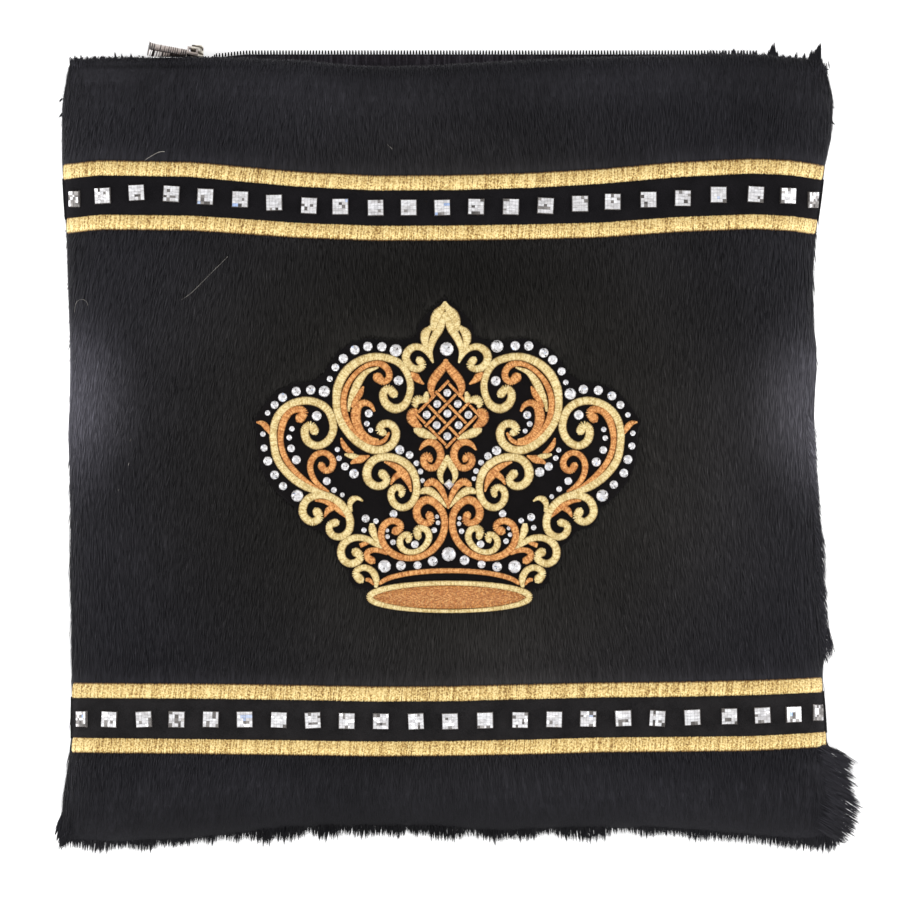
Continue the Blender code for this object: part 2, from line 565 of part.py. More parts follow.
def lock_tip(grid, i, j, out):
    """Tip of the fur lock that grows from a panel's edge face, or None where the fur is short."""
    corners = (grid[j][i], grid[j][i + 1], grid[j + 1][i + 1], grid[j + 1][i])
    middle = sum(corners, Vector()) / 4
    if out == "bottom":
        reach = LOCK_REACH + LOCK_SPREAD * math.sin(LOCK_WAVES[0] * i)
        sway = reach * LOCK_SWAY * math.sin(LOCK_WAVES[1] * i)
        low = min(p.y for p in corners) - reach
        tip = Vector((middle.x + sway, max(low, world_y(BOTTOM_EXTREME)), middle.z))
    else:
        if chart_down(middle.y) < FLARE_FROM:
            return None
        reach = FLARE_REACH * (1 - LOCK_SWAY * abs(math.sin(LOCK_WAVES[2] * j)))
        far = max(p.x for p in corners) + reach
        tip = Vector((min(far, world_x(RIGHT_EXTREME)), middle.y - reach * LOCK_SWAY, middle.z))
    return tip


def panel(name, slot, columns, rows, lip, lip_share, rise, wall, side, locks=False):
    """A soft wall: outer faces, inner faces a wall's thickness in, and the rims between them."""
    grid = panel_grid(columns, rows, lip, lip_share, rise, side)
    normals = grid_normals(grid, lip_share, rise, side)
    made = bmesh.new()
    outer = [[made.verts.new(p) for p in line] for line in grid]
    inner = [
        [made.verts.new(p - n * wall) for p, n in zip(line, line_normals)]
        for line, line_normals in zip(grid, normals)
    ]
    last_row = len(grid) - 1
    last_column = len(grid[0]) - 1

    def face(*corners):
        made.faces.new(corners if side > 0 else corners[::-1])

    for j in range(last_row):
        for i in range(last_column):
            quad = (outer[j][i], outer[j][i + 1], outer[j + 1][i + 1], outer[j + 1][i])
            tip = None
            if locks and j == 0 and 1 <= i < last_column - 1:
                tip = lock_tip(grid, i, j, "bottom")
            elif locks and i == last_column - 1 and j >= 1:
                tip = lock_tip(grid, i, j, "side")
            if tip is None:
                face(*quad)
            else:
                point = made.verts.new(tip)
                for k in range(4):
                    face(quad[k], quad[(k + 1) % 4], point)
            face(inner[j + 1][i], inner[j + 1][i + 1], inner[j][i + 1], inner[j][i])
    for i in range(last_column):
        face(inner[0][i], inner[0][i + 1], outer[0][i + 1], outer[0][i])
        face(outer[last_row][i], outer[last_row][i + 1], inner[last_row][i + 1], inner[last_row][i])
    for j in range(last_row):
        face(outer[j][0], outer[j + 1][0], inner[j + 1][0], inner[j][0])
        face(
            inner[j][last_column], inner[j + 1][last_column],
            outer[j + 1][last_column], outer[j][last_column],
        )
    return add_object(name, made, slot)


def smooth_line(stations, min_step, max_step, bend):
    """Stations of a smooth curve through the given ones, closer together where it bends."""
    rows = np.array(stations, float)
    padded = np.vstack([2 * rows[0] - rows[1], rows, 2 * rows[-1] - rows[-2]])
    fine = []
    for k in range(1, len(padded) - 2):
        p0, p1, p2, p3 = padded[k - 1:k + 3]
        for t in np.linspace(0, 1, CURVE_STEPS, endpoint=False):
            fine.append(0.5 * (2 * p1 + (p2 - p0) * t + (2 * p0 - 5 * p1 + 4 * p2 - p3) * t * t
                               + (3 * p1 - p0 - 3 * p2 + p3) * t ** 3))
    fine.append(rows[-1])
    fine = np.array(fine)
    headings = [math.atan2(step[1], step[0]) for step in np.diff(fine, axis=0)]
    kept = [0]
    length = 0.0
    turned = 0.0
    for k in range(1, len(fine) - 1):
        length += math.hypot(*(fine[k] - fine[k - 1])[:2])
        turned += abs(math.remainder(headings[k] - headings[k - 1], math.tau))
        if (turned > bend and length > min_step) or length > max_step:
            kept.append(k)
            length = 0.0
            turned = 0.0
    kept.append(len(fine) - 1)
    return [Station(*fine[k]) for k in kept]


def mirrored(row):
    """The same row on the crown's other half; the crown's middle line leans a little."""
    share = (row.down - CROWN_AXIS_TOP.down) / (CROWN_AXIS_FOOT.down - CROWN_AXIS_TOP.down)
    axis = CROWN_AXIS_TOP.across + share * (CROWN_AXIS_FOOT.across - CROWN_AXIS_TOP.across)
    return row._replace(across=2 * axis - row.across)


def chart_plane(row):
    return Vector((world_x(row.across), world_y(row.down)))


def scroll_lines(scrolls):
    """Middle lines of some scrolls, on both halves, in chart rows."""
    lines = []
    for stations in scrolls.values():
        line = smooth_line(stations, SCROLL_MIN_STEP, SCROLL_MAX_STEP, SCROLL_BEND)
        lines.append(line)
        lines.append([mirrored(row) for row in line])
    return lines


def lattice_lines():
    """Middle lines of the lattice's straps, in chart rows."""
    lines = []
    for k in LATTICE_LINES:
        for turn in (1, -1):
            ends = []
            for reach in (-LATTICE_REACH, LATTICE_REACH):
                step_a = (k + reach) / 2
                step_b = turn * (k - reach) / 2
                ends.append(Station(
                    LATTICE_MIDDLE.across + LATTICE_CELL[0] * step_a,
                    LATTICE_MIDDLE.down + LATTICE_CELL[1] * step_b,
                    LATTICE_WIDTH,
                ))
            lines.append(ends)
    return lines


def scroll_edges(line):
    """The two edges of one scroll."""
    left = []
    right = []
    for k, row in enumerate(line):
        before = chart_plane(line[max(k - 1, 0)])
        after = chart_plane(line[min(k + 1, len(line) - 1)])
        along = (after - before).normalized()
        beside = Vector((-along.y, along.x)) * row.width * CHART_SQUARE / 2
        left.append(chart_plane(row) + beside)
        right.append(chart_plane(row) - beside)
    return left, right


class Relief:
    """Height of raised scrolls over their ground."""

    def __init__(self, lines):
        starts = []
        ends = []
        for line in lines:
            for first, second in zip(line, line[1:]):
                starts.append((*chart_plane(first), first.width * CHART_SQUARE / 2))
                ends.append((*chart_plane(second), second.width * CHART_SQUARE / 2))
        self.starts = np.array(starts)
        self.ends = np.array(ends)

    def share(self, x, y):
        """1 on a scroll's middle line, 0 at its edge and outside it."""
        run = self.ends - self.starts
        to_point = np.array([x, y]) - self.starts[:, :2]
        along = np.clip((to_point * run[:, :2]).sum(1) / (run[:, :2] ** 2).sum(1), 0, 1)
        away = np.hypot(*(to_point - run[:, :2] * along[:, None]).T)
        reach = self.starts[:, 2] + run[:, 2] * along
        profile = np.sqrt(np.clip(1 - (away / reach) ** 2, 0, 1))
        return float(profile.max())

    def height(self, x, y):
        share = self.share(x, y)
        return SCROLL_RISE * share if share > LEAST_SHARE else 0.0


def ring(radius, sides, turn=0.0):
    """Even points round the middle of a stone."""
    angles = [turn + math.tau * k / sides for k in range(sides)]
    return [Vector((math.cos(angle), math.sin(angle))) * radius for angle in angles]


def rounded_square(size, corner, turn=0.0):
    """A square with its corners cut, as eight points round its middle."""
    half = size / 2
    cut = half * corner
    points = []
    for quarter in range(4):
        turned = Matrix.Rotation(turn + quarter * math.pi / 2, 2)
        points.extend(turned @ Vector(corner_point) for corner_point in ((half, cut), (cut, half)))
    return points


def face_plate(name, slots, border, lines, height, slot_of=None, folds=()):
    """A thin piece on the bag's face: its underside follows the face, its top has lines and heights.

    border is a closed outline, lines are (points, closed) pairs, and height(x, y) is the top's height
    over the underside. folds are pairs of border points where the underside bends.
    """
    points = []
    edges = []
    for line, closed in [(border, True), *lines]:
        start = len(points)
        points.extend(line)
        edges.extend((start + k, start + k + 1) for k in range(len(line) - 1))
        if closed:
            edges.append((start + len(line) - 1, start))
    frame = list(range(len(border)))
    top_points, _, top_faces, *_ = delaunay_2d_cdt(points, edges, [frame], 1, MERGE)
    counts = {}
    for corners in top_faces:
        for k in range(3):
            edge = (corners[k], corners[(k + 1) % 3])
            counts[edge] = counts.get(edge, 0) + 1
    rim = {a: b for a, b in counts if (b, a) not in counts}
    first = next(iter(rim))
    loop = [first]
    while rim[loop[-1]] != first:
        loop.append(rim[loop[-1]])
    under = [top_points[k] for k in loop]
    under_edges = [(k, (k + 1) % len(loop)) for k in range(len(loop))]
    for fold in folds:
        nearest = [min(range(len(loop)), key=lambda k: (under[k] - end).length) for end in fold]
        under_edges.append(tuple(nearest))
    inner = [] if folds else support_points(border)
    low_points, _, low_faces, *_ = delaunay_2d_cdt(
        under + inner, under_edges, [list(range(len(loop)))], 1, MERGE / 10)
    made = bmesh.new()
    top = [made.verts.new(on_front(p.x, p.y, PLATE_LIFT + height(p.x, p.y))) for p in top_points]
    low = [made.verts.new(on_front(p.x, p.y, PLATE_LIFT)) for p in low_points]
    for corners in top_faces:
        face = made.faces.new([top[k] for k in corners])
        if slot_of:
            middle = sum((top_points[k] for k in corners), Vector((0, 0))) / 3
            face.material_index = slot_of(middle.x, middle.y)
    for corners in low_faces:
        made.faces.new([low[k] for k in reversed(corners)])
    count = len(loop)
    for k in range(count):
        after = (k + 1) % count
        made.faces.new((low[k], low[after], top[loop[after]], top[loop[k]]))
    loose = [v for v in made.verts if not v.link_faces]
    bmesh.ops.delete(made, geom=loose, context="VERTS")
    return add_object(name, made, *slots)


def support_points(border):
    """A coarse grid inside an outline, so that its underside follows the bag's face."""
    step = SUPPORT_STEP
    low_x = min(p.x for p in border)
    high_x = max(p.x for p in border)
    low_y = min(p.y for p in border)
    high_y = max(p.y for p in border)
    found = []
    for i in range(1, int((high_x - low_x) / step) + 1):
        for j in range(1, int((high_y - low_y) / step) + 1):
            point = Vector((low_x + i * step, low_y + j * step))
            if clear_inside(point, border, SUPPORT_MARGIN):
                found.append(point)
    return found


def clear_inside(point, border, margin):
    """Whether a point lies inside an outline and keeps a margin to it."""
    inside = False
    for a, b in zip(border, border[1:] + border[:1]):
        run = b - a
        share = min(max((point - a).dot(run) / run.length_squared, 0), 1)
        if (point - a - run * share).length < margin:
            return False
        if (a.y > point.y) != (b.y > point.y) and point.x < a.x + (point.y - a.y) / run.y * run.x:
            inside = not inside
    return inside


def border_down(column, across):
    values = [row[BORDER_COLUMNS.index(column)] for row in BORDERS]
    return float(np.interp(across, [row[0] for row in BORDERS], values))


def strip_line(column, offset):
    """A line across the bag that keeps its offset in chart squares from a border's middle line.

    Its points lie on the front panel's own columns; the first and last are a little in from the seams.
    """
    points = []
    for kind, value in panel_columns(FRONT_COLUMNS, FRONT_ROLL_STEPS):
        x = y = 0.0
        for _ in range(SOLVE_STEPS):
            y = world_y(border_down(column, chart_across(x)) + offset)
            x = column_place(kind, value, y)[0]
            x = min(max(x, side_x("left", y) + STRIP_INSET), side_x("right", y) - STRIP_INSET)
        points.append(Vector((x, y)))
    return points


def strip_swell(x, y):
    """How full a strip is: thin at the side seams, full over the bag's face."""
    edge = min(x - side_x("left", y), side_x("right", y) - x)
    return STRIP_THIN + (1 - STRIP_THIN) * smooth_step(0.0, EDGE_ROLL / 2, edge)


def border_strip(name, column):
    """A rounded satin stripe from seam to seam."""
    half = BORDER_WIDTH / 2
    top = strip_line(column, -half)
    low = strip_line(column, half)
    ridge = strip_line(column, 0)
    crosses = [(list(points), False) for points in zip(top[1:-1], ridge[1:-1], low[1:-1])]

    def height(x, y):
        away = abs(chart_down(y) - border_down(column, chart_across(x))) / half
        return (BORDER_THICKNESS + (BORDER_RISE if away < RIDGE_REACH else 0.0)) * strip_swell(x, y)

    lines = [(ridge, False), *crosses]
    folds = list(zip(top[1:-1], low[1:-1]))
    return face_plate(name, ("gold_satin",), low + top[::-1], lines, height, folds=folds)


def jewelled_band(name, above, below, stones):
    """A velvet strip with its square stones fused to it."""
    offset = BORDER_WIDTH / 2 + 2 * GAP / CHART_SQUARE
    top = strip_line(above, offset)
    low = strip_line(below, -offset)
    places = [Vector((world_x(across), world_y(down))) for across, down in stones]
    squeezes = [end_squeeze(place) for place in places]
    lines = []
    for place, squeeze in zip(places, squeezes):
        outer = rounded_square(SQUARE_STONE, SQUARE_STONE_CORNER)
        table = ring(SQUARE_STONE * SQUARE_STONE_TABLE / math.sqrt(2), 4, math.pi / 4)
        for points in (outer, table):
            lines.append(([place + Vector((p.x * squeeze, p.y)) for p in points], True))
    for first, second in zip(top[1:-1], low[1:-1]):
        if all(abs((first.x + second.x) / 2 - place.x) > SQUARE_STONE * STONE_ROOM for place in places):
            lines.append(([first, second], False))

    def near_stone(x, y, reach):
        return any(
            abs(x - place.x) < reach * squeeze and abs(y - place.y) < reach
            for place, squeeze in zip(places, squeezes)
        )

    def height(x, y):
        on_table = near_stone(x, y, SQUARE_STONE * SQUARE_STONE_TABLE * TABLE_REACH)
        return (BAND_THICKNESS + (SQUARE_STONE_RISE if on_table else 0.0)) * strip_swell(x, y)

    def slot_of(x, y):
        return int(near_stone(x, y, SQUARE_STONE / 2))

    folds = list(zip(top[1:-1], low[1:-1]))
    return face_plate(name, ("velvet", "stone"), low + top[::-1], lines, height, slot_of, folds)


def end_squeeze(place):
    """How much narrower a stone near a side seam looks from above, where the face turns down."""
    edge = min(place.x - side_x("left", place.y), side_x("right", place.y) - place.x)
    tilt = math.asin(max(1 - edge / EDGE_ROLL, 0.0))
    return max(math.cos(tilt), LEAST_SQUEEZE)


def base_curve(span):
    """An oval round the crown base's middle."""
    points = []
    for k in range(CROWN_BASE_SIDES):
        angle = math.tau * k / CROWN_BASE_SIDES
        across = CROWN_BASE_MIDDLE.across + span[0] * math.cos(angle)
        down = CROWN_BASE_MIDDLE.down - span[1] * math.sin(angle)
        points.append(Vector((world_x(across), world_y(down))))
    return points


def crown_base():
    """The oval base: a gold ring round a lower copper filling."""
    ridge = base_curve(CROWN_BASE_RIDGE)
    inner = base_curve(CROWN_BASE_RING)

    def within(x, y, span):
        across = (chart_across(x) - CROWN_BASE_MIDDLE.across) / span[0]
        down = (chart_down(y) - CROWN_BASE_MIDDLE.down) / span[1]
        return math.hypot(across, down) < 1 + OVAL_SLACK

    def height(x, y):
        if within(x, y, CROWN_BASE_RING):
            return CROWN_THICKNESS + CROWN_BASE_FILL
        return CROWN_THICKNESS + (SCROLL_RISE if within(x, y, CROWN_BASE_RIDGE) else 0.0)

    def slot_of(x, y):
        return int(within(x, y, CROWN_BASE_RING))

    lines = [(ridge, True), (inner, True)]
    slots = ("gold_satin", "copper_satin")
    return face_plate("crown_base", slots, base_curve(CROWN_BASE_SPAN), lines, height, slot_of)


def crown_border():
    """The crown's ground: down its left side, along the top of the base, and up its right side."""
    left = [Place(*row) for row in CROWN_OUTLINE]
    span_x = CROWN_BASE_SPAN[0] + CROWN_BASE_GAP
    span_y = CROWN_BASE_SPAN[1] + CROWN_BASE_GAP
    for share in CROWN_FOOT_SHARES:
        rise = span_y * math.sqrt(1 - share ** 2)
        left.append(Place(CROWN_BASE_MIDDLE.across + span_x * share, CROWN_BASE_MIDDLE.down - rise))
    foot = Place(CROWN_BASE_MIDDLE.across, CROWN_BASE_MIDDLE.down - span_y)
    right = [mirrored(row) for row in reversed(left[1:])]
    return [chart_plane(row) for row in [*left, foot, *right]]


def crown():
    """Raised scrolls and round stones, fused to their ground."""
    gold_lines = scroll_lines(GOLD_SCROLLS)
    copper_lines = scroll_lines(COPPER_SCROLLS) + lattice_lines()
    lines = gold_lines + copper_lines
    relief = Relief(lines)
    gold = Relief(gold_lines)
    copper = Relief(copper_lines)
    left_stones = [Stone(*row) for row in SIDE_ROUND_STONES]
    right_stones = [mirrored(stone) for stone in left_stones]
    stones = left_stones + right_stones + [Stone(*row) for row in MIDDLE_ROUND_STONES]
    centres = np.array([(*chart_plane(stone), stone.diameter * CHART_SQUARE / 2) for stone in stones])
    creases = []
    for line in lines:
        creases.append(([chart_plane(row) for row in line], False))
        left, right = scroll_edges(line)
        for edge in (left, right):
            creases.extend(open_stretches(edge, relief, centres))
    diamond = chart_plane(DIAMOND_STONE)
    diamond_size = DIAMOND_STONE.diameter * CHART_SQUARE / math.sqrt(2)
    cuts = [(diamond, rounded_square(diamond_size, SQUARE_STONE_CORNER, math.pi / 4))]
    cuts.append((diamond, ring(diamond_size * SQUARE_STONE_TABLE, 4)))
    for x, y, radius in centres:
        cuts.append((Vector((x, y)), ring(radius, 8, math.pi / 8)))
        cuts.append((Vector((x, y)), ring(radius * ROUND_STONE_TABLE, 4)))
    creases.extend(([place + point for point in points], True) for place, points in cuts)
    every = np.vstack([centres, [(*diamond, diamond_size / 2)]])

    def height(x, y):
        away = np.hypot(every[:, 0] - x, every[:, 1] - y)
        near = int(np.argmin(away - every[:, 2]))
        radius = every[near, 2]
        if away[near] < radius * STONE_TOP:
            return CROWN_THICKNESS + radius * 2 * ROUND_STONE_RISE
        if away[near] < radius * STONE_MARGIN:
            return CROWN_THICKNESS
        return CROWN_THICKNESS + relief.height(x, y)

    def slot_of(x, y):
        away = np.hypot(every[:, 0] - x, every[:, 1] - y)
        if (away < every[:, 2] * STONE_SIDE).any():
            return 3
        if relief.share(x, y) < LEAST_SHARE:
            return 0
        return 1 if gold.share(x, y) > copper.share(x, y) else 2

    slots = ("velvet", "gold_satin", "copper_satin", "stone")
    return face_plate("crown", slots, crown_border(), creases, height, slot_of)


def open_stretches(edge, relief, stones):
    """The parts of a scroll's edge that aren't buried in another scroll or a stone."""
    stretches = []
    current = []
    for point in edge:
        away = np.hypot(stones[:, 0] - point.x, stones[:, 1] - point.y)
        under_stone = (away < stones[:, 2] * STONE_MARGIN).any()
        if under_stone or relief.share(point.x, point.y) > BURIED_SHARE:
            if len(current) > 1:
                stretches.append((current, False))
            current = []
        else:
            current.append(point)
    if len(current) > 1:
        stretches.append((current, False))
    return stretches


def ribbon(name, slot, sections, thickness):
    """A thin sheet through sections of points, as a closed solid."""
    made = bmesh.new()
    rings = []
    for section in sections:
        over = []
        under = []
        for k, point in enumerate(section):
            before = section[max(k - 1, 0)]
            after = section[min(k + 1, len(section) - 1)]
            along = (after - before).normalized()
            normal = Vector((0.0, -along.z, along.y)) * thickness / 2
            over.append(point + normal)
            under.append(point - normal)
        rings.append([made.verts.new(p) for p in [*over, *reversed(under)]])
    for first, second in zip(rings, rings[1:]):
        for k in range(len(first)):
            after = (k + 1) % len(first)
            made.faces.new((first[k], first[after], second[after], second[k]))
    made.faces.new(rings[0])
    made.faces.new(rings[-1])
    bmesh.ops.recalc_face_normals(made, faces=made.faces)
    return add_object(name, made, slot)


def lip_corner(across, side):
    """The inner corner of the front or back lip, which the zip tape passes."""
    x = world_x(across)
    share, rise, wall, lip = LIPS[side]
    angle = lip_angle(x, share)
    out = Vector((0.0, math.cos(angle), side * math.sin(angle) * EDGE_ROLL / rise)).normalized()
    edge = Vector((x, end_y(lip, x), SEAM_HEIGHT + side * (GAP / 2 + rise * math.sin(angle))))
    return edge - out * wall


def zip_centre(across):
    return Vector((world_x(across), world_y(SLIDER_DOWN), SLIDER_HEIGHT))


ZIP_OUT = Vector((0.0, math.cos(ZIP_LEAN), math.sin(ZIP_LEAN)))
ZIP_UP = Vector((0.0, -math.sin(ZIP_LEAN), math.cos(ZIP_LEAN)))


def tape_section(across, side):
    """Root, heel, knee and coil edge of a zip tape at a place across the bag."""
    opened = smooth_step(*OPEN_FROM, across)
    spread = float(np.interp(across, (ZIP_LEFT, OPEN_FROM[0]), COIL_SPREAD))
    edge = zip_centre(across) + ZIP_UP * side * (spread + COIL_WIDTH / 2 + GAP)
    knee = zip_centre(across) + ZIP_UP * side * SLIDER_EXIT
    corner = lip_corner(across, side) - Vector((0.0, 0.0, side * (GAP + TAPE_THICKNESS / 2)))
    root = corner - Vector((0.0, TAPE_HEM, 0.0))
    if side > 0:
        heel = corner
        knee_open = corner + Vector((0.0, TAPE_HANG[0], -TAPE_HANG[1] / 2))
        edge_open = corner + Vector((0.0, TAPE_HANG[0], -TAPE_HANG[1]))
    else:
        down = float(np.interp(across, *zip(*TAPE_EDGE)))
        reach = world_y(down) - corner.y
        heel_open = corner + Vector((0.0, reach * TAPE_FOLDS[0], 0.0))
        heel = Vector((corner.x, world_y(TAPE_HEEL), corner.z)).lerp(heel_open, opened)
        knee_open = corner + Vector((0.0, reach * TAPE_FOLDS[1], TAPE_LIFT / 2))
        edge_open = corner + Vector((0.0, reach, TAPE_LIFT))
    return [root, heel, knee.lerp(knee_open, opened), edge.lerp(edge_open, opened)]


def zip_side(label, side):
    """One tape with its coil."""
    sections = [tape_section(across, side) for across in TAPE_STATIONS]
    ribbon("zip_tape_" + label, "tape", sections, TAPE_THICKNESS)
    made = bmesh.new()
    rings = []
    half = COIL_WIDTH / 2
    for section in sections:
        along = (section[-1] - section[-2]).normalized()
        normal = Vector((0.0, -along.z, along.y))
        middle = section[-1] + along * (GAP + half)
        rings.append([
            made.verts.new(middle + along * half * a + normal * half * b)
            for a, b in ((1, 1), (-1, 1), (-1, -1), (1, -1))
        ])
    for first, second in zip(rings, rings[1:]):
        for k in range(4):
            made.faces.new((first[k], first[(k + 1) % 4], second[(k + 1) % 4], second[k]))
    made.faces.new(rings[0])
    made.faces.new(rings[-1])
    bmesh.ops.recalc_face_normals(made, faces=made.faces)
    add_object("zip_coil_" + label, made, "coil")


def zip_frame():
    """Turns the zip's own axes, across, down the tape and out of the bag, into the bag's."""
    turn = Matrix((Vector((1, 0, 0)), -ZIP_UP, ZIP_OUT)).transposed()
    return Matrix.Translation(zip_centre(SLIDER_ACROSS)) @ turn.to_4x4()


def add_box(made, low, high):
    size = Vector(high) - Vector(low)
    middle = (Vector(high) + Vector(low)) / 2
    place = Matrix.Translation(middle) @ Matrix.Diagonal((*size, 1.0))
    bmesh.ops.create_cube(made, size=1.0, matrix=place)


def box_object(name, low, high):
    made = bmesh.new()
    add_box(made, low, high)
    return add_object(name, made, "zip_metal")


def join_solids(base, others):
    for other in others:
        combine(base, other, "UNION")


def combine(base, other, operation):
    """Join another solid to the base or cut it out, then drop it."""
    change = base.modifiers.new("combine", "BOOLEAN")
    change.operation = operation
    change.solver = "EXACT"
    change.object = other
    bake(base)
    bpy.data.objects.remove(other)


def close_between(made, low, high):
    """A closed solid between two outlines with as many points."""
    made.faces.new(low)
    made.faces.new(high)
    for k in range(len(low)):
        after = (k + 1) % len(low)
        made.faces.new((low[k], low[after], high[after], high[k]))
    bmesh.ops.recalc_face_normals(made, faces=made.faces)


def bake(thing):
    """Replace an object's mesh by its evaluated one."""
    graph = bpy.context.evaluated_depsgraph_get()
    mesh = bpy.data.meshes.new_from_object(thing.evaluated_get(graph))
    thing.modifiers.clear()
    thing.data = mesh


def zip_slider():
    """Two plates with side flanges, a post between them and a bail on the outer plate."""
    half = SLIDER_LENGTH / 2
    wide = SLIDER_HALF_WIDTH
    inner, outer = SLIDER_PLATE
    flange_in, flange_gap = SLIDER_FLANGE
    post_long, post_wide = SLIDER_POST
    sink = SLIDER_SINK
    body = box_object("zip_slider", (-half, -wide, inner), (half, wide, outer))
    pieces = [box_object("inner_plate", (-half, -wide, -outer), (half, wide, -inner))]
    for side in (-1, 1):
        for level in (-1, 1):
            low_y, high_y = sorted((side * flange_in, side * (wide - sink)))
            low_z, high_z = sorted((level * flange_gap, level * (inner + sink)))
            pieces.append(box_object("flange", (-half + sink, low_y, low_z), (half - sink, high_y, high_z)))
    post_start = half - sink - post_long
    pieces.append(box_object(
        "post", (post_start, -post_wide / 2, -inner - sink), (half - sink, post_wide / 2, inner + sink)))
    leg_in, leg_out = BAIL_LEG
    top_low, top_high = BAIL_TOP
    bail = BAIL_WIDTH / 2
    for side in (-1, 1):
        low_x, high_x = sorted((side * leg_in, side * leg_out))
        pieces.append(box_object("leg", (low_x, -bail, outer - sink), (high_x, bail, outer + top_low + sink)))
    reach = leg_out + sink
    bail += sink
    pieces.append(box_object("arch", (-reach, -bail, outer + top_low), (reach, bail, outer + top_high)))
    join_solids(body, pieces)
    body.data.transform(zip_frame())


def hinge_place():
    return zip_frame() @ Vector((0.0, 0.0, SLIDER_PLATE[1] + HINGE_HEIGHT))


def tab_outline(level, low_bevel, bevel):
    """The tab's outline at a level, drawn in by its bevels, with two rounded corners at the free end."""
    wide = PULL_WIDTH / 2
    root = -PULL_WINDOW[0] - PULL_SHOULDER[1]
    corner = PULL_CORNER
    end = -PULL_LENGTH + bevel
    points = [(root - bevel, -wide + low_bevel), (root - bevel, wide - bevel)]
    for turn, side_y in ((0, wide - bevel - corner), (1, -wide + low_bevel + corner)):
        for k in range(CORNER_STEPS + 1):
            angle = math.pi / 2 * (1 + turn + k / CORNER_STEPS)
            points.append((end + corner + corner * math.cos(angle), side_y + corner * math.sin(angle)))
    return [(x, y, level) for x, y in points]


def zip_pull():
    """A thick tab on a thin neck whose end bar turns under the bail; its origin lies on the hinge's axis."""
    half = PULL_THICKNESS / 2
    window_long, window_wide = PULL_WINDOW
    neck = PULL_NECK_WIDTH / 2
    shoulder = PULL_WIDTH / 2 - PULL_OVERLAP
    shoulder_low, shoulder_high = PULL_SHOULDER
    made = bmesh.new()
    low = [made.verts.new(p) for p in tab_outline(-half, 0.0, 0.0)]
    high = [made.verts.new(p) for p in tab_outline(PULL_FACE, *PULL_BEVEL)]
    close_between(made, low, high)
    tab = add_object("zip_pull", made, "zip_metal")
    upper = [
        (PULL_BAR, neck),
        (-window_long - shoulder_low, neck),
        (-window_long - shoulder_high - PULL_OVERLAP, shoulder),
    ]
    outline = upper + [(x, -y) for x, y in reversed(upper)]
    made = bmesh.new()
    level = half - SLIDER_SINK / 2
    low = [made.verts.new((x, y, -level)) for x, y in outline]
    high = [made.verts.new((x, y, level)) for x, y in outline]
    close_between(made, low, high)
    join_solids(tab, [add_object("neck", made, "zip_metal")])
    cutter = box_object("window", (-window_long, -window_wide / 2, -1), (-PULL_BAR, window_wide / 2, 1))
    combine(tab, cutter, "DIFFERENCE")
    place = zip_frame() @ Matrix.Rotation(PULL_TILT, 4, "Y")
    place.translation = hinge_place()
    tab.matrix_world = place


def zip_end_stop():
    """A small clip over both coils at the slider's closed end."""
    long, wide, thick = END_STOP
    high_x = world_x(ZIP_LEFT) - zip_centre(SLIDER_ACROSS).x - GAP
    made = bmesh.new()
    add_box(made, (high_x - long, -wide / 2, -thick / 2), (high_x, wide / 2, thick / 2))
    bmesh.ops.bevel(made, geom=made.edges[:], offset=END_STOP_BEVEL, segments=1, affect="EDGES")
    made.transform(zip_frame())
    add_object("zip_end_stop", made, "zip_metal")


def build():
    for thing in list(bpy.data.objects):
        bpy.data.objects.remove(thing)
    columns = panel_columns(FRONT_COLUMNS, FRONT_ROLL_STEPS)
    rows = panel_rows(FRONT_ROWS, FRONT_ROLL_STEPS)
    panel("front_panel", "fur", columns, rows, "front_lip", FRONT_LIP, FRONT_RISE, FRONT_WALL, 1, locks=True)
    columns = panel_columns(BACK_COLUMNS, BACK_ROLL_STEPS)
    rows = panel_rows(BACK_ROWS, BACK_ROLL_STEPS)
    back_rise = SEAM_HEIGHT - GAP / 2
    panel("back_panel", "fur", columns, rows, "back_lip", BACK_LIP, back_rise, BACK_WALL, -1)
    border_strip("upper_border_top", "upper_top")
    border_strip("upper_border_bottom", "upper_bottom")
    border_strip("lower_border_top", "lower_top")
    border_strip("lower_border_bottom", "lower_bottom")
    jewelled_band("upper_band", "upper_top", "upper_bottom", UPPER_STONES)
    jewelled_band("lower_band", "lower_top", "lower_bottom", LOWER_STONES)
    crown()
    crown_base()
    zip_side("front", 1)
    zip_side("back", -1)
    zip_slider()
    zip_pull()
    zip_end_stop()


build()
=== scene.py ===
"""Tallit bag, dressed: black fur, velvet bands with square stones, a crown in satin stitch, and an open zip.

The bag lies on its back. X runs across it, +Y points to the zip end, +Z is up. Places on its face come from
the cutting chart, counted in squares from its top left corner, across and down.
"""
import math
from collections import namedtuple
from functools import partial

import bmesh
import bpy
import numpy as np
from mathutils import Matrix, Vector
from mathutils.geometry import delaunay_2d_cdt


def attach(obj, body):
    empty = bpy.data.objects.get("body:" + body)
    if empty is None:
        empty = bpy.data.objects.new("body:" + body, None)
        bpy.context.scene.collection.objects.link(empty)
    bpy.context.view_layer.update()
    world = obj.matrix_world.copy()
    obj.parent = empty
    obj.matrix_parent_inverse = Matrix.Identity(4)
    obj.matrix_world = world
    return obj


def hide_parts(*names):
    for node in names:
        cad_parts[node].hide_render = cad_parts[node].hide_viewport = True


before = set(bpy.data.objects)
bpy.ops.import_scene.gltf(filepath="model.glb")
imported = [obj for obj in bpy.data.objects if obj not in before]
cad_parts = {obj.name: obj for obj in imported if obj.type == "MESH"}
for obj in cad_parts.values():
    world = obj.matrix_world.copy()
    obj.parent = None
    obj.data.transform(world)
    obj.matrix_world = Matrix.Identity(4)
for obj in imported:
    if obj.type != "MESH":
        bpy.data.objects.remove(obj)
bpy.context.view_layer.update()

MM = 0.001

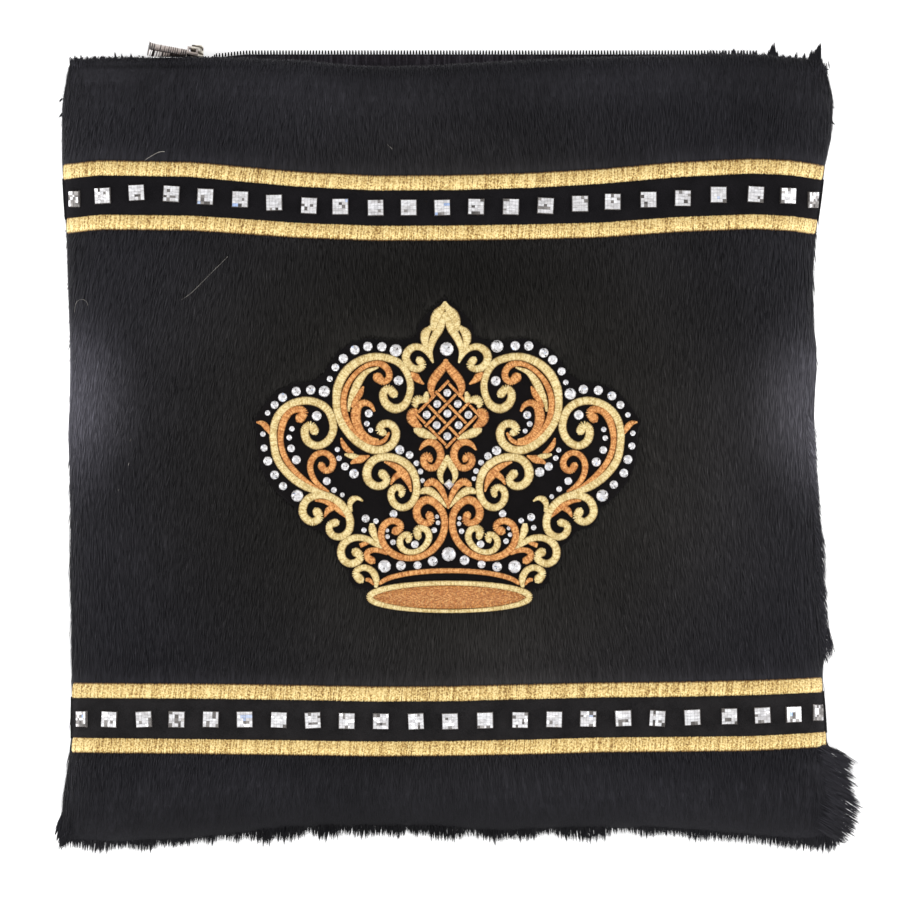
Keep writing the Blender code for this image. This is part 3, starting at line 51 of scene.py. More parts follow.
# Driving dimensions, as in the part's source
CHART_SQUARE = 0.49 * MM
CHART_MIDDLE_ACROSS = 460.82
CHART_MIDDLE_DOWN = 443.17
SEAM_HEIGHT = 16.0 * MM
FRONT_RISE = 15.0 * MM
FRONT_DOME = 5.0 * MM
DOME_REACH = 190.0 * MM
EDGE_ROLL = 30.0 * MM
FRONT_WALL = 2.5 * MM
BACK_WALL = 2.0 * MM
GAP = 0.3 * MM
FRONT_LIP = 0.545
BACK_LIP = 0.45
PILE = 0.8 * MM
SLOPE_STEP = 0.4 * MM
MOUTH_LEFT = (130, 186)
MOUTH_RIGHT = (788, 826)

# Chart: the sides of the bag, a row for each bend
SIDE_COLUMNS = ("down", "left", "right")
SIDES = (
    (43, 71, 822), (58, 70, 823), (70, 66.5, 829), (88, 62.5, 832.5), (104, 59.8, 835.5),
    (138, 59.5, 833.5), (164, 59.8, 827.5), (236, 64.3, 818), (279, 65.4, 814.8), (337, 67.5, 816.3),
    (362, 67.9, 819.6), (410, 67.2, 816), (434, 65.8, 816.5), (463, 67, 817.5), (529, 68.4, 822),
    (574, 67.6, 825), (612, 69, 826), (639, 68.8, 829), (676, 69.5, 824.5), (752, 69, 830), (766, 66, 838),
    (801, 60.5, 844), (830, 59, 845), (853, 59, 838),
)
# Chart: the bottom edge and the two lips of the mouth, a row for each bend
END_COLUMNS = ("across", "bottom", "front_lip", "back_lip")
ENDS = (
    (59, 841, 61, 61), (68, 844, 59, 59), (110, 845, 57.5, 58), (190, 841, 57.3, 58), (218, 838, 57.6, 58),
    (300, 830, 60.5, 58), (350, 829, 66, 58), (390, 829, 67, 58), (430, 829, 66, 58), (499, 834, 62, 57.5),
    (549, 831, 59.3, 57), (583, 831, 57.8, 56), (657, 830, 56, 55), (720, 835, 54, 54), (764, 839, 55, 55),
    (805, 843, 59, 59), (832, 843, 63, 63), (845, 840, 66, 66),
)

# Bands, borders and square stones
BAND_THICKNESS = 1.0 * MM
BORDER_THICKNESS = 1.0 * MM
BORDER_RISE = 0.7 * MM
BORDER_SINK = 0.35 * MM
BORDER_PITCH = 0.52 * MM
BORDER_THREAD = 0.33 * MM
BORDER_LEAN = 0.1
PLATE_LIFT = 0.45 * MM
STRIP_INSET = 0.7 * MM
STRIP_THIN = 0.5
SQUARE_STONE = 8.05 * MM
SQUARE_STONE_RISE = 1.9 * MM
STONE_BEVEL = 0.35 * MM
# The grooves between a square stone's cells, painted with a grey shade
STONE_GROOVE = 0.03 * MM
STONE_GROOVE_GLINT = 0.55
STONE_JITTER = 0.3 * MM
STONE_MERGE = 0.45
SATIN_WIDTH = 16.8
BORDER_INSET = 1.9 * MM
EDGE_MARGIN = 1.65
STONE_CELLS = 5
STONE_TURN = 0.03
STONE_UNDER_GLINT = 0.2
STONE_TILT = 0.05
CELL_TOP = SQUARE_STONE_RISE * 0.98
CELL_FOOT = SQUARE_STONE_RISE * 0.8
BORDER_RAGGED = 0.035
SQUARE_CUT = (
    (SQUARE_STONE / 2, 0.0), (SQUARE_STONE / 2, SQUARE_STONE_RISE * 0.55),
    (SQUARE_STONE / 2 - STONE_BEVEL, SQUARE_STONE_RISE * 0.9),
)
BAND_ROWS = 9
BAND_PAD = 0.25 * MM
BORDER_COLUMNS = ("across", "upper_top", "upper_bottom", "lower_top", "lower_bottom")
BORDER_WIDTH = 13.4
BORDERS = (
    (59, 172.5, 226.5, 690.8, 745.0), (100, 168.6, 221.9, 690.8, 744.8), (191, 170.2, 222.9, 691.2, 745.5),
    (245, 175.2, 226.4, 691.8, 746.2), (298, 180.0, 230.2, 692.6, 746.8), (376, 184.0, 233.2, 694.0, 748.0),
    (453, 183.6, 233.0, 693.6, 747.4), (530, 181.4, 231.8, 691.6, 746.0), (600, 177.4, 230.0, 690.0, 744.0),
    (676, 170.6, 224.4, 689.4, 743.4), (753, 166.8, 221.4, 687.8, 742.6), (791, 168.4, 223.2, 686.4, 740.6),
    (835, 174.6, 229.4, 684.6, 739.0),
)
UPPER_STONES = (
    (72.7, 199), (102.4, 196), (136.8, 193), (171.6, 194), (205.7, 197), (240.3, 199.5), (274.2, 203),
    (309.2, 206), (340.4, 207), (375.8, 208), (408.7, 208), (442.3, 208), (476, 207), (510.8, 207),
    (545.6, 206), (579.9, 204), (612.4, 202), (648.2, 200), (682.6, 198.6), (718.2, 195), (755.5, 194.6),
    (788.6, 196), (815.2, 200),
)
LOWER_STONES = (
    (80, 719), (109, 719), (144, 719), (177, 719), (211, 719), (245, 719), (279, 719.5), (313, 720),
    (347, 720.5), (381, 721), (416, 721), (450, 721), (485, 720), (520, 719.5), (554, 719), (588, 718.5),
    (623, 718), (657, 718), (692, 717), (729, 716), (762, 715), (794, 714), (820, 712.5),
)

# Crown
CROWN_THICKNESS = 1.0 * MM
CROWN_LEVEL = PLATE_LIFT + CROWN_THICKNESS
COPPER_LOWER = 0.1 * MM
SCROLL_RISE = 1.4 * MM
SCROLL_LEAST_RISE = 0.45 * MM
SCROLL_ROUND = 0.38
SCROLL_STACK = 0.012 * MM
LEAST_SCROLL = 1.3
BLUNT_END = 4.8
CAP_SHARES = (0.3, 0.55, 0.75, 0.88, 0.97)
CURVE_STEPS = 12
STITCH_POINTS = 5
STITCH_SIDES = 4
STITCH_SWAY = (-0.05, 0.05)
STITCH_RISES = (0.94, 1.06)
STITCH_ARCH = 0.38
STITCH_RAGGED = 0.03
STITCH_PITCH = 0.55 * MM
THREAD_RADIUS = 0.39 * MM
LATTICE_THREAD = 0.2 * MM
LATTICE_DIP = 0.3 * MM
LATTICE_CUT = -0.86
STRAP_STATIONS = 131
LEAST_STRAP = 8
LATTICE_PITCH = LATTICE_THREAD * 1.5
LATTICE_RISE = SCROLL_LEAST_RISE * 1.4
RING_RISE = SCROLL_RISE * 0.8
FILL_ROW = 0.5 * MM
FILL_STITCH = 2.9 * MM
FILL_STAGGER = 0.382
FILL_LEAST = 0.6 * MM
RING_STATIONS = 120
BED_SIDES = 96
BASE_LOW_SLIM = 0.25
GROUND_GRID = 4.0 * MM
# Glints: each facet's painted reflection, the share of light painted into its colour
GLINT_DARK = 0.08
GLINT_LOW = {"round": 0.5, "square": 0.62}
# The lower middle cells of a square stone hold more dark painted reflections
LOW_DARKER = 3.5
LOOP_SHIFT = 2.0
LOOP_NEAR = (455, 485)
LOOP_FAR = (560, 600)
LOOP_FOOT = (440, 500)
# The end stones, turned away down the rolled edges, are painted darker with shade
END_GLINT_DARK = 0.5
END_SQUEEZE = 0.76
END_STONES = (82, 808)
SCROLL_EXTRA = 1.0
GLINT_BLUE = 0.012
GLINT_RIM = (0.1, 0.34)
GLINT_DARKS = (0.1, 0.36)
GLINT_BLUES = (0.95, 0.97)
GLINT_TOP = 0.92
Place = namedtuple("Place", "across down")
CROWN_AXIS_TOP = Place(445.0, 302.0)
CROWN_AXIS_FOOT = Place(449.5, 597.0)
CROWN_BASE_MIDDLE = Place(449.5, 596.8)
CROWN_BASE_SPAN = (83.5, 16.8)
CROWN_BASE_RING = (76.0, 11.2)
CROWN_BASE_GAP = 1.4
CROWN_FOOT_SHARES = (-0.93, -0.83, -0.69, -0.5, -0.28)

# Chart: the crown's left half, each scroll's middle line with its width. The right half mirrors it.
GOLD_SCROLLS = {
    "main_loop": (
        (393.5, 393.5, 9), (388.5, 388.5, 8), (383.3, 394, 8), (386, 403.5, 8.5), (395, 408.8, 9),
        (404.5, 405, 8), (409.5, 395, 7), (410.4, 383, 6.8), (405.6, 370.2, 7), (396, 361, 7.4),
        (377, 356.8, 7.6), (360, 361, 8.3), (346.5, 371.5, 9), (338.6, 386, 9), (336.8, 401, 8),
        (338.5, 415, 8), (345.5, 428.5, 8.2), (357, 441, 8.8), (371.5, 449.2, 8.6), (384, 449.3, 8.2),
        (393.5, 442.5, 8.4), (396, 432, 8.2), (391, 424.5, 7.6), (383, 424.3, 8), (379.6, 430, 8),
        (383, 432.5, 7),
    ),
    "side_loop": (
        (314.5, 430.5, 9), (311, 425, 8), (305.2, 430, 8.4), (307.5, 440.5, 8), (317, 445.8, 7.6),
        (327.5, 441.5, 7.6), (333.4, 431, 7.7), (332.6, 419.5, 8), (327.5, 409.5, 8), (318, 403, 7.8),
        (305, 400.8, 7.8), (291, 404.5, 7.8), (280.5, 413, 7.8), (274.6, 426, 7.8), (274.1, 441, 7.6),
        (278.4, 460, 8), (290.5, 475.5, 8), (305, 485.7, 8), (318, 491.2, 6), (326, 493.5, 3),
    ),
    "lower_loop": (
        (317.5, 512, 9), (320, 517.5, 8), (312.5, 521.8, 7.6), (304.5, 516, 7.8), (303.2, 507.5, 7.8),
        (308.5, 498.5, 7.8), (321.4, 494.8, 7.8), (334, 498.8, 8), (345, 508.5, 8.2), (350.3, 520, 7.6),
        (349, 530.5, 7.4), (342.5, 536.2, 7.2), (335, 536, 7), (330, 531, 7), (330.2, 524.5, 7),
        (335.5, 522.5, 8),
    ),
    "tip_curl": (
        (420, 360.8, 8), (423, 365.5, 7), (417.5, 369.2, 7), (410, 366.2, 8), (406, 359, 8),
        (408, 351.5, 8), (415, 347, 7), (423, 348.6, 6), (429, 354.5, 4.5), (433, 362.5, 1.5),
    ),
    "tip_leaf": (
        (444.8, 302.5, 2), (442.6, 308.5, 6.5), (437.5, 314.5, 10), (435, 321, 9.5), (433.5, 328, 6),
    ),
    "tip_side_leaf": (
        (430, 328.5, 5), (425.8, 333.5, 9), (425, 340.5, 8), (427.5, 348.5, 5), (431, 356, 2),
    ),
    "tip_inner_leaf": (
        (445, 313, 3), (442.5, 321, 7), (439.5, 329, 8.5), (435, 336.2, 8), (431.5, 343.8, 7),
        (430.2, 352, 5), (432.8, 361, 1.5),
    ),
    "loop_leaf": (
        (378, 367.6, 1.5), (366.5, 372.5, 5), (358.8, 382, 8), (354.3, 392, 8), (350.3, 401, 4.5),
        (348.8, 411, 2),
    ),
    "lattice_petal": ((424, 400.5, 5), (418.5, 399.6, 9), (415, 402.8, 8), (416.5, 407, 3)),
    "lattice_tip_petal": ((427.2, 392.5, 3), (426, 397.5, 6.5), (427.5, 402, 3)),
    "lattice_foot_petal": ((436, 438.5, 2), (429, 435.6, 7), (421.8, 432.6, 9.5), (417.5, 430.5, 7)),
    "centre_drop": ((447.4, 456, 3), (444.8, 463, 7), (440.8, 470.5, 7), (440.3, 477, 5), (443, 483, 1.5)),
    "heart_loop": (
        (382.8, 474, 9), (387, 479.5, 7.5), (383, 485.2, 7.6), (375, 485.5, 8), (368.5, 480, 8.5),
        (367, 471.5, 9), (370.8, 463, 8.5), (378, 458, 8), (387.5, 456.9, 8), (398, 459.2, 8),
        (407, 464.6, 8), (413.2, 472.5, 8), (416.2, 482, 7.2), (416.4, 492, 7.2), (413.6, 500.5, 7.2),
        (408, 506, 7.2), (401, 507.4, 7), (394.5, 503.7, 7), (391.2, 497, 7), (392, 490.6, 7),
        (397, 487, 6.5), (402, 489.8, 7.5), (401.5, 494, 6),
    ),
    "spur": ((345.5, 454.5, 2), (350, 455.6, 5), (355, 456.6, 5.5), (359, 457, 3)),
    "hook": ((362.5, 500.6, 1.5), (357.8, 498, 4), (352.5, 499.4, 6.4), (350, 504.5, 5), (351, 511, 3.5)),
    "inner_bowl": (
        (408.5, 539.5, 6), (410, 535, 5.5), (405.5, 534.4, 6), (401, 537.7, 6), (400, 543.7, 6.5),
        (403.5, 549.5, 6), (410.5, 552, 5.5), (418, 550.7, 5.5), (425, 545.7, 6), (429, 537.7, 6.5),
        (427, 530.3, 6.5), (421, 527.6, 7), (417.2, 531, 8.5), (418, 535.8, 7),
    ),
    "fan_leaf": (
        (421.5, 491.5, 5), (427.5, 490.2, 8), (434.2, 493.7, 7), (440.2, 499.7, 5), (446, 506.5, 1.5),
    ),
    "foot_leaf": ((372, 523.8, 4.5), (372.6, 529.2, 7.6), (375, 536, 6), (379, 543, 3)),
    "foot_loop": (
        (356.5, 552, 9), (361, 556, 7.5), (357.5, 561.5, 7.4), (350.2, 563.3, 7.4), (343.4, 559, 7.6),
        (341.2, 551, 7.7), (344, 543.4, 7.5), (351, 538.6, 7), (360, 537.3, 6.5), (369, 539.7, 6.5),
        (376, 543.8, 5), (382, 548, 2),
    ),
    "foot_curl": (
        (360, 578.5, 9), (355.8, 573.5, 7), (358.6, 568.9, 6.5), (365, 567.2, 6.2), (371.6, 570, 6.5),
        (375.6, 576, 7), (376.8, 582, 5.5), (376, 586.5, 3),
    ),
}
COPPER_SCROLLS = {
    "loop_lining": (
        (378.3, 377.8, 10), (384, 382.3, 6.6), (389.3, 377.5, 6.6), (388.2, 370, 6.6), (381.5, 364.2, 6.6),
        (371, 364.3, 5), (361, 369.5, 4.8), (352, 378.5, 5), (345.7, 390.5, 6), (343.6, 404, 6.4),
        (346.6, 419, 6.4), (354, 431.3, 5.6), (364, 440, 5.4), (376, 443.2, 4.8), (384.5, 440.4, 4),
        (389, 433, 2),
    ),
    "loop_hook": (
        (374.5, 411, 2), (371, 405.4, 4.5), (364.6, 402.8, 6.5), (358.5, 406, 8), (355.8, 414, 10),
        (357, 424, 9), (362.5, 433, 6.5), (370.5, 438.5, 4.5), (378, 440, 2),
    ),
    "loop_bud": ((363.4, 387, 1.5), (360.3, 393, 6.5), (356, 400, 6), (352.6, 407, 3)),
    "side_lining": (
        (300.8, 417.8, 10), (304.8, 413, 7.2), (299.5, 409.2, 7.4), (291, 411.4, 7), (284.8, 419, 7.6),
        (281.4, 431, 6.6), (281, 442, 5.8), (283.6, 453, 5.8), (289, 463.5, 5.8), (298, 474, 5.6),
        (309.5, 483.5, 4.4), (321, 490, 2),
    ),
    "side_spike": ((257.5, 422.3, 1.5), (263, 423.4, 5), (267.6, 428, 6), (270, 433.5, 1.5)),
    "side_curl": (
        (322, 466, 7.5), (325, 470.4, 6.5), (331, 469, 6.4), (333.4, 462, 6.4), (330, 455.6, 6),
        (323.4, 452.6, 5.6), (316, 455, 6), (311.2, 462, 6.2), (310.8, 470, 6), (314, 478.6, 5.4),
        (320, 485.6, 4.4), (328.5, 491.3, 2),
    ),
    "curl_leaf": ((411.5, 373, 3), (415.5, 377, 8), (419.5, 381, 5), (423.5, 383.8, 1.5)),
    "centre_arch": (
        (446.6, 360, 3), (443.5, 367, 7.5), (437.5, 374.5, 9), (432.5, 382, 8.5), (431.2, 389.5, 6.5),
        (433, 396.5, 3),
    ),
    "lattice_ear": ((417, 410.3, 4), (412.4, 412.8, 9), (412, 419, 10), (416, 424, 8), (421, 427, 3)),
    "lattice_scroll": (
        (420, 449.5, 1.5), (424, 444.4, 5), (430, 441.8, 7), (436.8, 445, 7.5), (440.6, 452.4, 7.4),
        (440, 460.4, 7.4), (435.5, 466.8, 7), (429, 467.6, 7), (424.3, 463.4, 7), (424, 457.6, 7),
        (428, 455.4, 6.6), (430, 459, 6),
    ),
    "centre_leaf": (
        (427.2, 484, 6), (432, 481.6, 7.6), (438, 485.2, 7), (442.6, 492.2, 6), (446, 500, 4),
        (448.4, 508, 1.5),
    ),
    "heart_lining": (
        (385, 462, 1.5), (392, 464.6, 5), (399, 468.6, 7), (405, 475.4, 9), (409, 483.4, 5),
        (411, 491, 1.5),
    ),
    "heart_bud": ((391, 484, 1.5), (394.6, 477.6, 5), (400, 473.8, 7)),
    "lower_lining": ((316, 500.2, 2), (324, 501, 4), (333, 504.8, 6), (340, 510.6, 5.4), (345.6, 516.4, 2)),
    "lower_bud": ((325, 516.2, 1.5), (328.2, 510.2, 5.5), (333.5, 507, 6)),
    "spur_sliver": ((341.5, 438.6, 1.5), (344, 445, 5), (348, 450, 5), (353, 452.6, 1.5)),
    "spur_leaf": ((351.5, 463, 2), (356, 460.6, 6), (361, 459, 8), (366, 457.2, 4), (369, 456, 1.5)),
    "great_bowl": (
        (396.5, 530.5, 9), (401, 528, 6), (399.5, 523, 6.4), (392, 520.5, 6.6), (384.5, 524.6, 6.8),
        (381.2, 533, 7), (382.4, 541, 7), (387.4, 549, 7), (396, 555, 7), (408, 557.8, 6),
        (420, 556.4, 6.4), (431, 550.6, 7), (439.4, 541.4, 7), (444, 530.4, 7), (444.5, 519, 7),
        (441, 509.6, 7.4), (434.6, 502.3, 8), (427.4, 499.6, 8), (420, 503, 8), (416.6, 510.6, 7.7),
        (418.6, 518.6, 7.6), (425, 523.2, 7), (431, 520.6, 7.4), (429.5, 515.4, 8),
    ),
    "foot_sliver": ((360.8, 545.2, 4.5), (366, 543, 4), (370.5, 541.8, 1.5)),
    "foot_tendril": (
        (371.5, 560, 8), (367, 556.6, 6.6), (368, 551.8, 6), (373, 549.8, 5.2), (380, 550.2, 5),
        (387, 553.5, 2.5),
    ),
    "foot_bud": ((366.5, 579.4, 3), (370, 579.8, 4), (373.5, 584, 1.5)),
    "base_arc": (
        (379.6, 583, 3.6), (387, 578.6, 4.6), (398, 575.2, 4.8), (414, 572.4, 4.8), (432, 570.8, 4.8),
        (449.2, 570.4, 4.8),
    ),
}
# Chart: the lattice of copper straps in the crown's middle
LATTICE_MIDDLE = Place(447.3, 414.3)
LATTICE_CELL = (10.3, 10.7)
LATTICE_LINES = (-3, -1, 1, 3)
LATTICE_REACH = 3.25
LATTICE_WIDTH = 3.4
# Chart: round stones on the crown's left half, and the ones on its middle line
Stone = namedtuple("Stone", "across down diameter")
SIDE_ROUND_STONES = (
    (268, 413, 5.6), (275, 405, 8.3), (283, 397.5, 9.3), (296.5, 391.5, 9.5), (311, 390, 9.7),
    (324.5, 391.5, 11.6), (330, 379, 6.2), (335.6, 367.5, 8.0), (343.5, 358.7, 9.6), (355, 350.2, 9.8),
    (368, 346.6, 9.7), (382, 347, 9.7), (396, 350.6, 12.7), (398.6, 380.6, 10), (317, 416, 10),
    (292.2, 428.8, 5.6), (289.5, 437.6, 5.8), (291.4, 448.4, 8), (296.6, 459.8, 9.2), (368.9, 413.6, 8.3),
    (367, 423.8, 6), (370.8, 430.2, 5.4), (263.3, 434, 5.6), (264.5, 448, 7.4), (268.2, 461, 9.4),
    (275, 474.8, 9), (283.4, 486, 8.4), (297.6, 495.6, 12.2), (337.6, 449.4, 5.4), (339.2, 458.2, 5.8),
    (345.3, 466.5, 8.2), (354.2, 473.6, 9.8), (327, 481, 8.2), (334.2, 490, 6), (342.5, 494.8, 5),
    (399.8, 449.8, 9.6), (409.7, 455, 8), (416.5, 463.2, 6), (420.5, 471.4, 6), (422.5, 480.5, 5),
    (365.8, 518.4, 8.2), (376, 521, 5.8), (364.2, 530, 5.6), (393.6, 513.8, 8.2), (387.3, 530.3, 4.2),
    (387.6, 536.4, 5), (393.1, 542, 6), (415, 544.2, 8), (437, 516.5, 4.4), (438, 522.6, 4.9),
    (434.2, 530, 6), (384.6, 566, 13), (401, 565.3, 10), (417.6, 565, 8.4), (432.7, 561, 10),
)
RIGHT_ROUND_STONES = (
    (515, 346, 9.7), (528.5, 346.2, 9.7), (497, 346.5, 12.7), (543.5, 353, 9.8), (552.5, 360, 9.6),
    (561.3, 371.5, 8.5), (495.6, 381, 10), (565.5, 382.5, 5.6), (583, 389.5, 9.7), (598, 390.5, 9.5),
    (611.5, 396, 9.3), (620, 405, 8.3), (627.5, 415, 5.6), (570, 394, 11.8), (578.5, 415, 10),
    (527, 415, 8.3), (529.5, 424, 6), (525, 431, 5.2), (603.5, 429.5, 5.6), (632.5, 433.3, 5.6),
    (605, 438, 5.8), (631.5, 446, 7.4), (603, 450, 8), (558.5, 450, 5.4), (496.5, 450.5, 9.6),
    (488, 456, 8), (555.5, 458, 5.8), (627.5, 459.5, 9.4), (596, 462, 9.4), (481, 462.5, 6),
    (548.5, 466.5, 8.6), (476, 471, 6), (539.5, 472, 9.8), (623.5, 473, 9), (474, 478.5, 5),
    (568, 481, 8.2), (613.5, 484.5, 8.6), (559, 489, 6), (602, 495.5, 12.2), (551.5, 496.5, 5),
    (502.5, 513.5, 7.8), (531, 517, 8.2), (459.5, 518, 4.2), (521, 520.5, 5.8), (459, 523.5, 4.8),
    (533.5, 527.5, 5.6), (508.7, 528, 4.2), (461.5, 531, 5.8), (510, 534.5, 4.8), (506, 541, 6),
    (480.5, 544, 8), (464.5, 560, 10), (481.5, 564, 8.4), (497, 566.5, 10), (514.5, 566.5, 13),
)
MIDDLE_ROUND_STONES = (
    (446.8, 349.2, 14), (447.3, 393, 8), (437.2, 404, 8), (457.8, 404, 8), (426.8, 414.8, 8.3),
    (447.5, 413.6, 8.2), (468.4, 414.8, 8.2), (436.7, 425.2, 8.2), (458.6, 425.2, 8.2), (447.3, 436.2, 8.2),
    (448.8, 554, 14.4),
)
DIAMOND_STONE = Stone(449, 484.2, 10.6)
# How a stone is cut: rings from the foot up, each with its width, height and turn, and the peak's height
Cut = namedtuple("Cut", "sides rings peak")
ROUND_CUT = Cut(12, ((0.97, 0.0, 0.0), (1.0, 0.2, 0.0), (0.86, 0.4, math.tau / 24), (0.5, 0.56, 0.0)), 0.6)
DIAMOND_CUT = Cut(4, ((1.0, 0.0, 0.0), (1.0, 0.25, 0.0), (0.55, 0.55, 0.0)), 0.57)
STONE_SINK = 0.1 * MM
# Chart: the outline of the crown's ground on its left half, from the tip down
CROWN_OUTLINE = (
    (445, 298), (437, 305), (427, 314), (419, 324), (416, 337), (404, 340.5), (390, 341), (368, 338.5),
    (353, 342.5), (340, 350.5), (330.5, 362), (324, 374), (312, 382), (296, 383.5), (281, 389), (269, 399),
    (262, 409), (253.5, 421.5), (257, 432), (258, 449), (261, 466), (268, 481), (278, 493), (289, 503),
    (297, 508), (298.5, 518), (306, 527.5), (320, 530), (329, 541), (336, 546), (335.5, 556), (341, 565),
    (349.5, 570), (349, 580), (356, 587), (366, 588.5),
)

# Hair: lengths and heights, how dense it grows to the square metre, and the fringe past the edges
SLACK_RISE = 0.7 * MM
SLACK_WAVE = (0.031, 0.055, 0.043, 0.068)
HAIR_LENGTH = 13.0 * MM
HAIR_LENGTHS = (0.72, 1.12)
HAIR_LOFTS = (0.08, 1.0)
HAIR_WIDTHS = (0.6, 1.3)
HAIR_LOFT = 1.7 * MM
HAIR_FLAT = 0.35 * MM
HAIR_WIDTH = 0.21 * MM
HAIR_THICKNESS = 0.032 * MM
HAIR_BEND = 1.6
HAIR_SIDEWAYS = 0.16
HAIR_COVER = 0.7 * MM
ROOT_INSET = 0.3 * MM
LIP_ROOM = 0.6 * MM
FIELD_ROWS = 43
HAIR_UNDER = 2.0 * MM
HAIR_OVER = 4.0 * MM
HAIR_DENSITY = 545000.0
BACK_DENSITY = 38000.0
BACK_WIDTH = 1.1 * MM
MOST_CROWD = 2.5
COMB_SPLAY = 0.1
COMB_WAVE = (0.12, 0.047, 0.061)
CURTAIN_LOFT = 0.8 * MM
CURTAIN_ROWS = 5
CURTAIN_CROWD = (0.6, 1.9)
FRINGE_EXTRA = 3.2 * MM
FRINGE_START = 2.5 * MM
FRINGE_DROP = 4 * MM
FRINGE_LEAST = 0.5 * MM
FRINGE_COMB = (-11 * MM, -3 * MM)
FRINGE_CROWD = (0.7, 0.5, 41.0, 0.9)
FRINGE_STEP = 0.8
SIDE_STEP = 0.7
FRINGE_ENDS = (66, 836)
FRINGE_LAYERS = (("front", SEAM_HEIGHT + 5 * MM, 6), ("back", SEAM_HEIGHT - 2 * MM, 7))
SEAM_HAIR = ((69, 150, 1.3 * MM), (700, 829, 1.6 * MM))
SEAM_COMB = (0, 5, -1)
SEAM_START = 2 * MM
SEAM_EASE = 4
FRINGE_DENSITY = 1650000.0
# Chart: how far down the fringe's tufts reach, and how far the hair fans out at the lower right corner
FRINGE = (
    (55, 836), (59, 848), (66, 846), (75, 846), (83, 849), (93, 852), (105, 852), (112, 848), (125, 846),
    (140, 850), (152, 850), (157, 844), (173, 845), (190, 843), (203, 840), (209, 845), (222, 837),
    (238, 843), (244, 836), (254, 841), (266, 846), (275, 838), (283, 842), (297, 838), (309, 831),
    (321, 841), (335, 838), (345, 832), (362, 838), (380, 834), (400, 837), (408, 829), (415, 836),
    (424, 833), (433, 839), (455, 841), (470, 834), (484, 839), (495, 843), (509, 837), (521, 840),
    (534, 839), (542, 832), (552, 832), (565, 838), (590, 842), (607, 839), (613, 831), (633, 831),
    (645, 837), (661, 833), (680, 834), (696, 840), (713, 839), (735, 841), (760, 843), (785, 847),
    (803, 848), (818, 850), (829, 852), (838, 847), (843, 840),
)
FLARE = (
    (748, 831), (754, 838), (759, 847), (764, 855), (768, 855), (771, 848), (776, 852), (781, 853),
    (784, 848), (788, 855), (792, 851), (798, 853), (806, 858), (813, 860), (818, 855), (824, 857),
    (831, 852), (837, 853), (843, 844), (848, 838),
)
RIGHT_FRINGE = (
    (428, 815.5), (440, 818), (452, 817), (466, 818), (478, 818.5), (490, 820), (502, 821), (514, 822.5),
    (524, 822), (536, 824), (546, 826.5), (554, 828), (562, 827), (572, 828), (582, 827), (594, 828.5),
    (604, 828.5), (614, 829.5), (624, 829.5), (634, 831.5), (644, 834), (652, 836), (657, 836), (662, 832),
    (667, 828),
)
# Hair past the right edge: its outline, the chart's squares where it starts, how far inside the edge and
# above the seam its roots begin, how far they drop, how much longer it is, its way from root to tip, and how
# crowded it is
SideHair = namedtuple("SideHair", "name outline opening inside level drop extra comb crowd seed")
SIDE_HAIR = (
    SideHair("flare", FLARE, opening=(752, 764), inside=4.5 * MM, level=8.2 * MM, drop=5.5 * MM,
             extra=4.0 * MM, comb=(9, -5.5, -3.5), crowd=0.9, seed=8),
    SideHair("right_fringe", RIGHT_FRINGE, opening=(428, 440), inside=2.2 * MM, level=6.0 * MM, drop=3.0 * MM,
             extra=0.5 * MM, comb=(3.2, -8.5, -3), crowd=0.8, seed=15),
)
TUFT_SPACING = (4.0, 9.0)
TUFT_PULL = 0.55
TUFT_NOTCH = 0.42
# Chart: locks that stand out past the edges, each its tip and its root, across and down, and its width
LOCKS = (
    (75, 55, 76, 64, 7), (80, 54.5, 81, 63, 4), (86.5, 54.5, 86, 63, 5), (94, 55.5, 94, 63, 9),
    (102, 55, 102, 63, 8), (108, 56, 109, 63, 7), (114.5, 52.6, 115, 62, 4), (121, 53.2, 121.5, 62, 4),
    (126, 55.5, 126, 63, 7), (130.5, 53.6, 131, 62, 4), (136, 56, 136, 63, 7), (143, 56, 142, 63, 6),
    (69.5, 57, 73, 67, 6), (712, 50, 712, 60, 12), (724, 50, 724, 60, 10), (734, 48.5, 734, 60, 6),
    (743, 50, 743, 60, 10), (754, 51, 754, 60, 12), (764, 52, 764, 61, 9), (774, 43, 772, 60, 8),
    (770, 50, 769, 60, 6), (777.5, 51, 776, 60, 6), (783, 54, 784, 62, 8), (790, 55, 790, 63, 8),
    (797, 52.5, 795, 63, 5), (801, 56, 800, 64, 6), (805.5, 52.5, 803, 64, 5), (813, 50, 810, 66, 7),
    (820.5, 45, 815, 67, 10), (816, 50, 812, 66, 8), (822, 57, 818, 68, 8), (829, 69, 822, 70, 8),
    (58.2, 101.5, 61, 99, 2.2), (58, 117, 61, 114.5, 2.2), (835.4, 108, 832, 105.5, 2.5),
    (835.6, 124, 832, 121, 2.2), (54.6, 835, 60, 823, 4), (56, 841, 62, 827, 5), (58.6, 849, 64, 833, 5),
    (63, 846, 68, 832, 5), (55.4, 829, 61, 818, 3), (57.4, 845, 63, 831, 4),
)
LOCK_DENSITY = 9000000.0
LOCK_RISE = 1.5 * MM
LOCK_LOFT = 0.4 * MM
LOCK_LEAF = ((0.0, 1.0), (0.7, 0.7), (1.2, 0.15))
STRAY_LIFT = 0.3 * MM
STRAY_SPACING = 0.8 * MM
